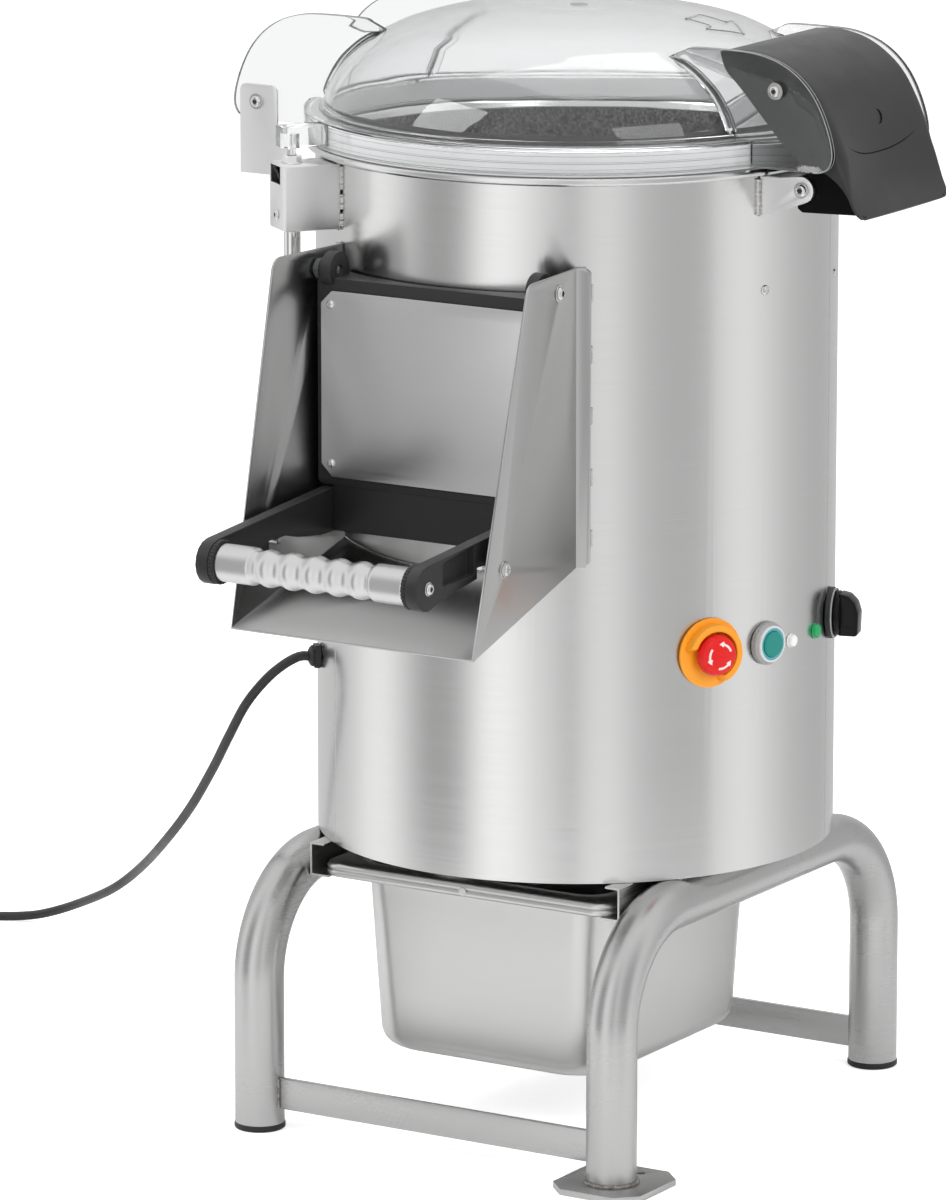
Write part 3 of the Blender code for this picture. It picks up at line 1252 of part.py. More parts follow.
def on_wall(azimuth, height):
    return {"place": outward(azimuth, DRUM_RADIUS + GAP, height), "turn": facing(azimuth)}


def make_estop():
    disc, thick = ESTOP_DISC_RADIUS, ESTOP_DISC_THICKNESS
    shroud, inner = ESTOP_SHROUD_RADIUS, ESTOP_SHROUD_RADIUS - ESTOP_SHROUD_WALL
    bore = ESTOP_STEM_RADIUS + RUNNING_GAP
    high = ESTOP_SHROUD_HEIGHT
    place = on_wall(ESTOP_AZIMUTH, ESTOP_HEIGHT)
    profile = [(inner, high), (shroud - thick / 2, high), (shroud, thick * 2), (disc - thick / 3, thick),
               (disc, thick / 2), (disc, 0), (bore, 0), (bore, thick), (inner, thick)]
    collar = turned("estop_collar", profile, **place, steps=COLLAR_STEPS)
    notch = block("notch", (2 * shroud, shroud / 2, 2 * high),
                  outward(ESTOP_AZIMUTH, DRUM_RADIUS + high + 2 * thick, ESTOP_HEIGHT - shroud),
                  facing(ESTOP_AZIMUTH))
    cut(collar, notch)
    part(collar, "signal_yellow")
    stem = turned("estop_stem", [(0, ESTOP_STEM_HEIGHT), (ESTOP_STEM_RADIUS, ESTOP_STEM_HEIGHT),
                                 (ESTOP_STEM_RADIUS, -ESTOP_STEM_DEPTH), (0, -ESTOP_STEM_DEPTH)],
                  **place, closed=False)
    part(stem, "bezel_grey", "estop_push")
    base, r, h = ESTOP_STEM_HEIGHT + GAP, ESTOP_HEAD_RADIUS, ESTOP_HEAD_HEIGHT
    dome = [(r * math.sin(a), base + h / 2 + (h / 2) * math.cos(a)) for a in
            (math.pi / 2 * k / ESTOP_DOME_STEPS for k in range(ESTOP_DOME_STEPS + 1))]
    skirt, neck = (share * r for share in ESTOP_HEAD_SHARES)
    head = turned("estop_head", [*dome, (skirt, base + ESTOP_HEAD_SKIRT), (neck, base), (0, base)], **place,
                  steps=ESTOP_HEAD_STEPS, closed=False)
    part(head, "signal_red", "estop_twist")
    ring_outer = ESTOP_STEM_RADIUS + CONTACT_RING
    back = -DRUM_WALL - 2 * GAP
    deep = -ESTOP_STEM_DEPTH - ESTOP_TRAVEL - 4 * GAP
    ring = turned("estop_contacts", [(bore, back), (ring_outer, back), (ring_outer, deep - CONTACT_RING),
                                     (bore, deep - CONTACT_RING)], **place)
    body = block("contact_body", (CONTACT_WIDTH, CONTACT_HEIGHT, CONTACT_DEPTH),
                 outward(ESTOP_AZIMUTH, DRUM_RADIUS + GAP + deep - CONTACT_DEPTH / 2, ESTOP_HEIGHT),
                 facing(ESTOP_AZIMUTH))
    join(ring, body)
    part(ring, "black_plastic")


def make_start_button():
    place = on_wall(START_AZIMUTH, START_HEIGHT)
    outer, high = START_BEZEL_RADIUS, START_BEZEL_HEIGHT
    lip = START_BEZEL_LIP
    bore = START_RADIUS + RUNNING_GAP
    barrel = bore + START_BARREL_WALL
    profile = [(bore, high), (lip, high), (outer, high / 3), (outer, 0), (barrel, 0),
               (barrel, -START_DEPTH - 2 * START_TRAVEL), (0, -START_DEPTH - 2 * START_TRAVEL),
               (0, -START_DEPTH - START_TRAVEL - GAP), (bore, -START_DEPTH - START_TRAVEL - GAP)]
    bezel = turned("start_bezel", profile, **place, closed=False)
    close_ring(bezel)
    part(bezel, "bezel_grey")
    r = START_RADIUS
    button = turned("start_button", [(0, high + START_TRAVEL),
                                     (r - START_TRAVEL, high + START_TRAVEL - 2 * GAP),
                                     (r, high), (r, -START_DEPTH), (0, -START_DEPTH)], **place, closed=False)
    part(button, "button_green", "start_push")


def make_lamp(name, finish, azimuth, radius):
    place = on_wall(azimuth, LAMP_HEIGHT)
    dome = [(LAMP_DOME_SHARE * radius * math.sin(a), LAMP_RISE / 2 + LAMP_RISE / 2 * math.cos(a)) for a in
            (math.pi / 2 * k / LAMP_DOME_STEPS for k in range(LAMP_DOME_STEPS + 1))]
    lamp = turned(name, [*dome, (radius, LAMP_RISE / 3), (radius, 0), (LAMP_STEM_RADIUS, 0),
                         (LAMP_STEM_RADIUS, -LAMP_STEM_DEPTH), (0, -LAMP_STEM_DEPTH)],
                  **place, steps=LAMP_STEPS, closed=False)
    part(lamp, finish)


def make_isolator():
    place = on_wall(ISOLATOR_AZIMUTH, ISOLATOR_HEIGHT)
    base, stem = ISOLATOR_BASE, ISOLATOR_STEM_RADIUS
    body = turned("isolator_base", [(0, base), (ISOLATOR_RADIUS - base / 3, base),
                                    (ISOLATOR_RADIUS, base / 2), (ISOLATOR_RADIUS, 0), (stem, 0),
                                    (stem, -ISOLATOR_DEPTH), (0, -ISOLATOR_DEPTH)],
                  **place, closed=False)
    part(body, "black_plastic")
    low, top = base + GAP, base + GAP + KNOB_DISC
    knob = turned("isolator_knob", [(0, top), (KNOB_RADIUS - KNOB_DISC / 3, top),
                                    (KNOB_RADIUS, top - KNOB_DISC / 3),
                                    (KNOB_RADIUS, low), (0, low)], **place, closed=False)
    grip = block("grip", (KNOB_GRIP_WIDTH, 2 * KNOB_RADIUS, KNOB_GRIP_HEIGHT),
                 outward(ISOLATOR_AZIMUTH, DRUM_RADIUS + top + KNOB_GRIP_HEIGHT / 2 - GAP, ISOLATOR_HEIGHT),
                 facing(ISOLATOR_AZIMUTH))
    soften(grip, KNOB_GRIP_WIDTH / 5)
    join(knob, grip)
    part(knob, "black_plastic", "isolator_turn")


def make_gland():
    place = on_wall(GLAND_AZIMUTH, GLAND_HEIGHT)
    r, thread = GLAND_RADIUS, GLAND_THREAD_RADIUS
    gland = turned("cable_gland", [(0, GLAND_REACH), (CORD_RADIUS + 4 * GAP, GLAND_REACH),
                                   (GLAND_CAP_RADIUS, GLAND_CAP_HEIGHT), (r, GLAND_FLANGE_HEIGHT),
                                   (r, 0), (thread, 0),
                                   (thread, -GLAND_THREAD_DEPTH), (0, -GLAND_THREAD_DEPTH)],
                   **place, closed=False)
    collar = rod("gland_hex", GLAND_HEX_RADIUS, 0, GLAND_FLANGE_HEIGHT, **place, sides=HEX)
    join(gland, collar)
    part(gland, "black_plastic")


def make_water_inlet():
    place = on_wall(INLET_AZIMUTH, INLET_HEIGHT)
    stem, flange = INLET_STEM_RADIUS, INLET_FLANGE_RADIUS
    inlet = turned("water_inlet", [(INLET_BORE, INLET_REACH), (INLET_RADIUS, INLET_REACH),
                                   (INLET_RADIUS, INLET_FLANGE), (flange, INLET_FLANGE), (flange, 0),
                                   (stem, 0),
                                   (stem, -INLET_DEPTH), (INLET_BORE, -INLET_DEPTH)], **place)
    part(inlet, "bright_stainless")


def make_bearings():
    crown = FLOOR_HEIGHT + FLOOR_CONE_RISE + FLOOR_WALL
    top = crown + GAP + HOUSING_FLANGE_THICKNESS
    neck, flange = HOUSING_RADIUS, HOUSING_FLANGE_RADIUS - DISC_THICKNESS
    seat, land = BEARING_RADIUS + GAP, SHAFT_RADIUS + 6 * RUNNING_GAP
    low_land = HOUSING_BOTTOM + BEARING_HEIGHT + GAP
    high_land = top - BEARING_HEIGHT - GAP
    profile = [(seat, top), (flange, top), (flange, crown + GAP), (neck, crown + GAP), (neck, HOUSING_BOTTOM),
               (seat, HOUSING_BOTTOM), (seat, low_land), (land, low_land), (land, high_land),
               (seat, high_land)]
    housing = turned("bearing_housing", profile)
    part(housing, "cast_aluminium")
    for name, bottom in (("lower_bearing", HOUSING_BOTTOM), ("upper_bearing", high_land + GAP)):
        inner = SHAFT_RADIUS + RUNNING_GAP
        high = bottom + BEARING_HEIGHT - GAP
        ring = turned(name, [(inner, high), (BEARING_RADIUS, high), (BEARING_RADIUS, bottom),
                             (inner, bottom)])
        part(ring, "bright_stainless")


def disc_bottom():
    return FLOOR_HEIGHT + DISC_LIFT


def make_rotor():
    under = disc_bottom()
    top = under + DISC_THICKNESS
    radius = DRUM_INSIDE - GAP - LINER_THICKNESS - DISC_CLEARANCE
    bore = SHAFT_RADIUS + GAP
    disc = turned("abrasive_disc", [(bore, top), (radius, top), (radius, under), (bore, under)],
                  steps=DRUM_STEPS)
    waves = []
    for k in range(WAVE_COUNT):
        angle = 2 * math.pi * k / WAVE_COUNT + WAVE_START
        waves.append(rod("wave", WAVE_RADIUS, WAVE_INNER, radius - WAVE_RADIUS,
                         (0, 0, top - WAVE_RADIUS + WAVE_SINK * 2), (0, math.pi / 2, angle)))
    below = block("below_disc", (2 * DRUM_RADIUS, 2 * DRUM_RADIUS, WAVE_RADIUS * 2),
                  (0, 0, under - WAVE_RADIUS + GAP))
    join(disc, *waves)
    cut(disc, below)
    part(disc, "abrasive_grey", "rotor_axis")
    seat = under - GAP
    shaft_top = top + GAP
    profile = [(0, shaft_top), (SHAFT_RADIUS, shaft_top), (SHAFT_RADIUS, seat),
               (SHAFT_SEAT_RADIUS, seat), (SHAFT_SEAT_RADIUS, seat - SHAFT_SEAT_HEIGHT),
               (SHAFT_RADIUS, seat - SHAFT_SEAT_HEIGHT), (SHAFT_RADIUS, SHAFT_BOTTOM), (0, SHAFT_BOTTOM)]
    shaft = turned("drive_shaft", profile, closed=False)
    part(shaft, "bright_stainless", "rotor_axis")
    nut_low = shaft_top + GAP
    nut = turned("disc_nut", [(0, nut_low + NUT_HEIGHT), (NUT_RADIUS / 2, nut_low + NUT_HEIGHT - GAP * 5),
                              (NUT_RADIUS, nut_low + NUT_HEIGHT / 3), (NUT_RADIUS, nut_low), (0, nut_low)],
                 closed=False)
    part(nut, "bright_stainless", "rotor_axis")


def pulley_profile(radius, bore, bottom, hub, web):
    """A flat-flanged belt pulley, hollowed to a web where it is wide enough."""
    top = bottom + PULLEY_HEIGHT
    edge = PULLEY_HEIGHT - BELT_HEIGHT - 2 * GAP
    flange = radius + PULLEY_GROOVE
    rim = [(flange, top), (flange, top - edge / 2), (radius, top - edge / 2), (radius, bottom + edge / 2),
           (flange, bottom + edge / 2), (flange, bottom)]
    if not web:
        return [(bore, top), *rim, (bore, bottom)]
    inner = radius - web
    middle = (top + bottom) / 2
    return [(bore, top), (hub, top), (hub, middle + web / 2), (inner, middle + web / 2), (inner, top), *rim,
            (inner, bottom), (inner, middle - web / 2), (hub, middle - web / 2), (hub, bottom),
            (bore, bottom)]


def make_drive():
    bottom = BELT_PLANE - PULLEY_HEIGHT / 2
    profile = pulley_profile(PULLEY_RADIUS, SHAFT_RADIUS + GAP, bottom, PULLEY_HUB_RADIUS, PULLEY_WEB)
    driven = turned("driven_pulley", profile, steps=PULLEY_STEPS)
    part(driven, "cast_aluminium", "rotor_axis")
    profile = pulley_profile(MOTOR_PULLEY_RADIUS, MOTOR_SHAFT_RADIUS + GAP, bottom, 0, 0)
    small = turned("motor_pulley", profile, (MOTOR_X, MOTOR_Y, 0))
    part(small, "cast_aluminium", "motor_axis")
    part(make_belt(), "black_rubber")
    part(make_motor(), "motor_grey")


def belt_loop(big, small, length):
    """An open belt around two circles on a line along X: the tangent points from the radii."""
    lean = math.acos((big - small) / length)
    points = []
    for k in range(BELT_ARC_STEPS + 1):
        a = lean + (2 * math.pi - 2 * lean) * k / BELT_ARC_STEPS
        points.append((big * math.cos(a), big * math.sin(a)))
    for k in range(BELT_ARC_STEPS + 1):
        a = -lean + 2 * lean * k / BELT_ARC_STEPS
        points.append((length + small * math.cos(a), small * math.sin(a)))
    return points


def make_belt():
    length = math.hypot(MOTOR_X, MOTOR_Y)
    heading = math.atan2(MOTOR_Y, MOTOR_X)
    gap = 3 * GAP
    big, small = PULLEY_RADIUS + gap, MOTOR_PULLEY_RADIUS + gap
    outlines = [belt_loop(big + BELT_THICKNESS, small + BELT_THICKNESS, length),
                belt_loop(big, small, length)]
    return flat("drive_belt", outlines, BELT_HEIGHT - 4 * GAP, (0, 0, BELT_PLANE), (0, 0, heading))


def make_motor():
    """An upright motor on the bottom plate: end bells and a finned barrel, its shaft up."""
    low = DRUM_BOTTOM + PLATE_RECESS + PLATE_THICKNESS + GAP
    top = low + MOTOR_HEIGHT
    foot, bell, barrel = (share * MOTOR_RADIUS for share in MOTOR_RADIUS_SHARES)
    bell_height = MOTOR_BELL
    shaft_top = BELT_PLANE + PULLEY_HEIGHT / 2 + GAP
    profile = [(0, shaft_top), (MOTOR_SHAFT_RADIUS, shaft_top), (MOTOR_SHAFT_RADIUS, top), (foot, top),
               (bell, top - bell_height)]
    span = MOTOR_HEIGHT - 2 * bell_height
    pitch = span / MOTOR_FIN_COUNT
    for k in range(MOTOR_FIN_COUNT):
        z = top - bell_height - pitch * k
        groove = barrel - MOTOR_FIN_DEPTH
        profile += [(barrel, z - pitch / 4), (barrel, z - pitch / 2), (groove, z - pitch / 2),
                    (groove, z - pitch)]
    profile += [(bell, low)]
    profile.append((0, low))
    return turned("motor", profile, (MOTOR_X, MOTOR_Y, 0), steps=MOTOR_STEPS, closed=False)


def smooth_route(points, spacing):
    """Points at an even spacing along a smooth curve through the route's own points."""
    route = [Vector(p) for p in points]
    route = [2 * route[0] - route[1], *route, 2 * route[-1] - route[-2]]
    fine = []
    steps = 24
    for a, b, c, d in zip(route, route[1:], route[2:], route[3:]):
        for k in range(steps):
            t = k / steps
            fine.append(0.5 * (2 * b + (c - a) * t + (2 * a - 5 * b + 4 * c - d) * t ** 2
                               + (3 * b - a - 3 * c + d) * t ** 3))
    fine.append(route[-2])
    total = sum((q - p).length for p, q in zip(fine, fine[1:]))
    count = round(total / spacing)
    picked, walked, target = [fine[0]], 0.0, total / count
    for p, q in zip(fine, fine[1:]):
        walked += (q - p).length
        if walked >= target * len(picked) and len(picked) < count:
            picked.append(q)
    picked.append(fine[-1])
    return picked, total


def coil_points():
    """Spare cord wound in, up one layer and out again, then led off along a tangent to the plug."""
    turn = 2 * math.pi
    first = COIL_LOWER_TURNS * turn
    second = first + math.pi
    last = second + COIL_UPPER_TURNS * turn
    steps = round(last / turn * COIL_POINTS_PER_TURN)
    inner = COIL_RADIUS - COIL_PITCH * COIL_LOWER_TURNS
    points = []
    for k in range(steps + 1):
        a = last * k / steps
        if a <= first:
            radius, lift = COIL_RADIUS - COIL_PITCH * a / turn, 0.0
        elif a <= second:
            u = (a - first) / math.pi
            radius, lift = inner - COIL_SWERVE * math.sin(math.pi * u), COIL_LIFT * u * u * (3 - 2 * u)
        else:
            radius, lift = inner + COIL_PITCH * (a - second) / turn, COIL_LIFT
        angle = COIL_START + a
        points.append(Vector((COIL_X + radius * math.cos(angle), COIL_Y + radius * math.sin(angle),
                              CORD_RADIUS + lift)))
    heading = (points[-1] - points[-2]).normalized()
    lead = 4
    for k in range(1, lead + 1):
        u = k / lead
        rise = (PLUG_RADIUS + GAP - points[steps].z) * u * u * (3 - 2 * u)
        points.append(points[steps] + heading * COIL_LEAD * u + Vector((0, 0, rise)))
    points.append(points[-1] + Vector((heading.x, heading.y, 0)).normalized() * 2 * CORD_RADIUS)
    return points


def least_gap(points, radius):
    """The least clear distance of a tube to itself, past its own near neighbours."""
    near = math.ceil(math.pi * radius / (points[1] - points[0]).length) + 3
    best = math.inf
    for i, p in enumerate(points):
        for j in range(i + near, len(points) - 1):
            a, b = points[j], points[j + 1]
            t = max(0.0, min(1.0, (p - a).dot(b - a) / (b - a).length_squared))
            best = min(best, (p - a.lerp(b, t)).length - 2 * radius)
    return best


def make_cord():
    route, length = smooth_route(CORD_ROUTE, CORD_SPACING)
    start = Vector(outward(GLAND_AZIMUTH, DRUM_RADIUS + GAP + GLAND_REACH + GAP, GLAND_HEIGHT))
    coil = coil_points()
    heading = (coil[1] - coil[0]).normalized()
    heading.z = 0
    coil_face = coil[0] - heading * 2 * CORD_RADIUS
    cord_end = coil_face - heading * GAP
    cord = tube("power_cord", [start, *route, cord_end - heading * 2 * CORD_RADIUS, cord_end], CORD_RADIUS,
                CORD_SIDES)
    part(cord, "black_rubber")
    loops = tube("cord_coil", [coil_face, *coil], CORD_RADIUS, COIL_SIDES)
    part(loops, "black_rubber")
    make_plug(coil[-1], (coil[-1] - coil[-2]).normalized())
    wound = sum((q - p).length for p, q in zip(coil, coil[1:]))
    gap = least_gap(coil, CORD_RADIUS) * 1000
    print(f"cord: free {length:.3f} m, coiled {wound:.3f} m, least gap {gap:.2f} mm")


def make_plug(end, heading):
    """A moulded two-pin plug lying on the floor."""
    angle = math.atan2(heading.y, heading.x)
    place = Vector(end) + Vector((math.cos(angle), math.sin(angle), 0)) * GAP
    neck, body, r = PLUG_NECK, PLUG_NECK + PLUG_BODY, PLUG_RADIUS
    profile = [(0, body), (r - 4 * GAP, body), (r, body - 4 * GAP), (r, neck + PLUG_BODY / 3),
               (PLUG_SHOULDER_RADIUS, neck + PLUG_SHOULDER), (PLUG_NECK_RADIUS, neck),
               (CORD_RADIUS + 4 * GAP, 0), (0, 0)]
    turn = (0, math.pi / 2, angle)
    plug = turned("power_plug", profile, place, turn, closed=False)
    across = Vector((-math.sin(angle), math.cos(angle), 0)) * PLUG_PIN_SPACING / 2
    for side in (-1, 1):
        join(plug, rod("plug_pin", PLUG_PIN_RADIUS, body - OVERRUN, body + PLUG_PIN_LENGTH,
                       place + side * across, turn, sides=SMALL_STEPS))
    part(plug, "black_rubber")


def add_pivots():
    add_pivot("machine_axis", (AXIS_X, AXIS_Y, 0))
    PIVOTS["machine_axis"] = (PIVOTS["machine_axis"][0], Vector((0, 0, 0)))
    axis = "machine_axis"
    add_pivot("pan_slide", (0, PAN_FRONT, PAN_RIM_TOP), axis)
    add_pivot("door_hinge", (0, HINGE_Y, HINGE_Z), axis)
    add_pivot("lid_hinge", (LID_HINGE_X, 0, LID_HINGE_Z), axis)
    add_pivot("rotor_axis", (0, 0, BELT_PLANE), axis)
    add_pivot("motor_axis", (MOTOR_X, MOTOR_Y, BELT_PLANE), axis)
    add_pivot("interlock_plunger_slide", outward(LATCH_AZIMUTH, PLUNGER_REACH, PLUNGER_TOP), axis)
    add_pivot("estop_push", outward(ESTOP_AZIMUTH, DRUM_RADIUS, ESTOP_HEIGHT), axis)
    add_pivot("estop_twist", outward(ESTOP_AZIMUTH, DRUM_RADIUS + ESTOP_STEM_HEIGHT, ESTOP_HEIGHT),
              "estop_push")
    add_pivot("start_push", outward(START_AZIMUTH, DRUM_RADIUS, START_HEIGHT), axis)
    add_pivot("isolator_turn", outward(ISOLATOR_AZIMUTH, DRUM_RADIUS, ISOLATOR_HEIGHT), axis)


def make_stand():
    make_arch("left_arch", -1)
    make_arch("right_arch", 1)
    make_bar("front_bar", LEG_FRONT, FRONT_BAR_BOTTOM)
    make_bar("rear_bar", LEG_REAR, REAR_BAR_BOTTOM)
    make_cap("foot_cap_front_left", -LEG_HALF_WIDTH, LEG_FRONT)
    make_cap("foot_cap_rear_right", LEG_HALF_WIDTH, LEG_REAR)
    make_anchor("anchor_plate_front", LEG_HALF_WIDTH, LEG_FRONT, 1)
    make_anchor("anchor_plate_rear", -LEG_HALF_WIDTH, LEG_REAR, -1)
    make_rail("pan_rail_left", -1)
    make_rail("pan_rail_right", 1)
    make_waste_pan()


def make_drum():
    make_drum_shell()
    make_wall_liner()
    make_floor_pan()
    make_bottom_plate()
    make_chute()
    make_hinge_bolts()
    make_water_inlet()


def make_door():
    make_door_frame()
    make_door_cover()
    make_door_seal()
    make_arm("handle_arm_left", -1)
    make_arm("handle_arm_right", 1)
    make_grip()


def make_lid_group():
    make_lid()
    make_lid_seal()
    make_hinge_guard()
    make_lid_bracket()
    make_hinge_lug("hinge_lug_front", -1)
    make_hinge_lug("hinge_lug_rear", 1)
    make_hinge_rod()
    make_latch_box()
    make_interlock()
    make_conduit()


def make_controls():
    make_estop()
    make_start_button()
    make_lamp("lamp_white", "lamp_white", WHITE_LAMP_AZIMUTH, WHITE_LAMP_RADIUS)
    make_lamp("lamp_green", "lamp_green", GREEN_LAMP_AZIMUTH, GREEN_LAMP_RADIUS)
    make_isolator()
    make_gland()


def main():
    clear_scene()
    add_finishes()
    add_pivots()
    make_stand()
    make_drum()
    make_bearings()
    make_rotor()
    make_drive()
    make_door()
    make_lid_group()
    make_controls()
    make_cord()


main()
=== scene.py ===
"""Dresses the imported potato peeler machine: smooth steel drum and stand, clear lid with wings,
moulded hood, discharge door and grip, controls, drive and mains cord, on a pale studio floor.
Metres, +Z up. Shapes are worked out round the drum's own axis and then moved to its place."""

import math
from collections import namedtuple

import bmesh
import bpy
import numpy as np
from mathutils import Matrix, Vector


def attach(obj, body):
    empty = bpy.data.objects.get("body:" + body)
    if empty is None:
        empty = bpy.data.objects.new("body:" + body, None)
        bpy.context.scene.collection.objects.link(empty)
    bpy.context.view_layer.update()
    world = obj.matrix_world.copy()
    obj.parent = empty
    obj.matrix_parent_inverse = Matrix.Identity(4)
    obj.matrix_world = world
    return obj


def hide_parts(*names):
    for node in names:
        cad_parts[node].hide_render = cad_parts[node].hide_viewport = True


bl_info = {
    "name": "Potato Peeler Machine",
    "version": (1, 0, 0),
    "blender": (4, 5, 0),
    "location": "View3D > Sidebar > Peeler",
    "description": "Builds the visible pieces and finishes of a potato peeler machine round its CAD frame",
    "category": "Add Mesh",
}

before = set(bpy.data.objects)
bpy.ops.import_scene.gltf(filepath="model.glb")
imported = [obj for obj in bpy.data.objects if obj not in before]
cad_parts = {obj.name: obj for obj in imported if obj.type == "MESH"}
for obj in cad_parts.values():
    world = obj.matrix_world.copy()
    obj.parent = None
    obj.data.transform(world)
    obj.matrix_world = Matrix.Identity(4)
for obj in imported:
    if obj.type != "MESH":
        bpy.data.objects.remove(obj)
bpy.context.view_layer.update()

# The drum's axis, and the main sizes that several pieces share
AXIS = np.array((-0.014, 0.0960, 0.0))
UP = np.array((0.0, 0.0, 1.0))
HAIR = 0.0003
DRUM = 0.252
DRUM_WALL = 0.0015
CONTROL_HEIGHT = 0.495
STOP_AT = 61.0
STOP_BORE = 0.0094
START_AT = 76.8
START_BORE = 0.0128
DRUM_LOW = 0.277
DRUM_HIGH = 0.9515
BEAD_AXIS = 0.257
BEAD = 0.0045
LEG_X = 0.1987
LEG_FRONT = -0.263
LEG_REAR = 0.247
LEG_TUBE = 0.02415
HINGE = (0.288, 0.9365)
DOOR_AXIS = (-0.256, 0.852)
GRIP_AXIS = (-0.464, 0.608)
CHUTE_X = 0.129
CORD = 0.00475

# Azimuths and heights of what sits on the drum's side
GLAND_AT, GLAND_HEIGHT = -48.5, 0.452
INLET_AT, INLET_HEIGHT = 180.0, 0.924
SWITCH_AT, SWITCH_HEIGHT = 107.5, 0.499
WHITE_AT, GREEN_AT, LAMP_HEIGHT = 85.3, 96.3, 0.491
LATCH_AT = -36.0
PIN_REACH = 0.2938

SIDES = (-1, 1)
SHARP = 34.0

Frame = namedtuple("Frame", "origin right up out")
Shell = namedtuple("Shell", "points wrap ends")


def colour_of(name, description, default):
    """A setting for a colour."""
    return bpy.props.FloatVectorProperty(name=name, description=description, subtype="COLOR", size=3,
                                         min=0, max=1, default=default)


class PeelerSettings(bpy.types.PropertyGroup):
    """Sizes and colours that a user would change."""

    steel: colour_of("Steel colour", "Reflection colour of the brushed steel", (0.71, 0.71, 0.706))
    steel_roughness: bpy.props.FloatProperty(
        name="Steel roughness", description="How soft the brushed steel's reflections are", subtype="FACTOR",
        min=0, max=1, default=0.23)
    plastic: colour_of("Plastic colour", "Colour of the black mouldings", (0.020, 0.020, 0.021))
    warning: colour_of("Stop collar colour", "Colour of the emergency stop's collar", (0.95, 0.36, 0.015))
    stop: colour_of("Stop button colour", "Colour of the mushroom button", (0.73, 0.008, 0.008))
    start: colour_of("Start button colour", "Colour of the start button", (0.003, 0.235, 0.200))
    clear: colour_of("Lid tint", "Tint of the clear lid", (0.945, 0.950, 0.953))
    round_steps: bpy.props.IntProperty(
        name="Round steps", description="Steps round a turned shape", min=12, max=256, default=64)
    drum_steps: bpy.props.IntProperty(
        name="Drum steps", description="Steps round the drum and the lid", min=48, max=512, default=192)


class StageSettings(bpy.types.PropertyGroup):
    """The studio round the machine."""

    floor: colour_of("Floor colour", "Colour of the floor", (0.86, 0.86, 0.86))
    floor_size: bpy.props.FloatProperty(
        name="Floor size", description="Half the width of the floor", unit="LENGTH", default=40.0)
    key: bpy.props.FloatProperty(
        name="Key lamp", description="Power of the large lamp at the front left", unit="POWER", default=150.0)
    fill: bpy.props.FloatProperty(
        name="Fill lamp", description="Power of the lamp on the right", unit="POWER", default=60.0)
    sky: bpy.props.FloatProperty(
        name="Room light", description="Strength of the light from all round", min=0, default=0.62)
    lens: bpy.props.FloatProperty(
        name="Lens", description="Focal length of the camera, in millimetres", default=238.72)


def unit(v):
    """Each row over its own length."""
    return v / np.maximum(np.linalg.norm(v, axis=-1, keepdims=True), 1e-12)


def outward(azimuth):
    """Direction away from the drum's axis; 0 degrees is the front and it grows towards +X."""
    a = math.radians(azimuth)
    return np.array((math.sin(a), -math.cos(a), 0.0))


def wall(azimuth, height):
    """A frame on the drum's side: right along the wall, up, and out along its radius."""
    out = outward(azimuth)
    return Frame(out * DRUM + UP * height, np.cross(UP, out), UP, out)


def across(x, side=1, y=0.0, z=0.0):
    """A frame whose plane is YZ at x, its axis towards +X or -X."""
    return Frame(np.array((x, y, z)), np.array((0.0, 1.0, 0.0)), UP, np.array((float(side), 0.0, 0.0)))


def facing_y(y, side=-1, x=0.0, z=0.0):
    """A frame whose plane is XZ at y, its axis towards +Y or -Y."""
    return Frame(np.array((x, y, z)), np.array((1.0, 0.0, 0.0)), UP, np.array((0.0, float(side), 0.0)))


def upright(x=0.0, y=0.0, z=0.0):
    """A frame that stands on the floor."""
    return Frame(np.array((x, y, z)), np.array((1.0, 0.0, 0.0)), np.array((0.0, 1.0, 0.0)), UP)


def aimed(origin, out):
    """A frame at a point whose axis follows a direction."""
    out = unit(np.asarray(out, float))
    right = unit(np.cross(UP, out))
    return Frame(np.asarray(origin, float), right, np.cross(out, right), out)


def put(grid, place):
    """Local (a, b, c) becomes origin + a right + b up + c out."""
    g = np.asarray(grid, float)
    return place.origin + g[..., 0:1] * place.right + g[..., 1:2] * place.up + g[..., 2:3] * place.out


def raised(place, amount):
    return place._replace(origin=place.origin + place.out * amount)


def distinct(points, closed=True):
    """Drops a point that repeats the one before it."""
    p = np.asarray(points, float)
    step = np.linalg.norm(p - np.roll(p, 1, 0), axis=1)
    if not closed:
        step[0] = 1.0
    return p[step > 1e-7]


def soft(points, radius, steps=4, closed=True):
    """Each corner p becomes the curve (1-t)^2 a + 2t(1-t) p + t^2 b between points a and b that lie
    radius / tan(half the corner's angle) along its two sides."""
    p = distinct(points, closed)
    before, after = np.roll(p, 1, 0), np.roll(p, -1, 0)
    if not closed:
        before[0], after[-1] = p[0], p[-1]
    u, w = before - p, after - p
    near = np.minimum(np.linalg.norm(u, axis=1), np.linalg.norm(w, axis=1))
    u, w = unit(u), unit(w)
    half = np.arccos(np.clip((u * w).sum(1), -1, 1)) / 2
    radius = np.broadcast_to(np.asarray(radius, float), len(p))
    reach = np.minimum(radius / np.maximum(np.tan(half), 1e-6), near * 0.49)
    if not closed:
        reach[0] = reach[-1] = 0.0
    t = np.linspace(0, 1, steps + 1)[None, :, None]
    a, b = (p + u * reach[:, None])[:, None], (p + w * reach[:, None])[:, None]
    curve = (1 - t) ** 2 * a + 2 * t * (1 - t) * p[:, None] + t ** 2 * b
    return distinct(curve.reshape(-1, p.shape[1]), closed)


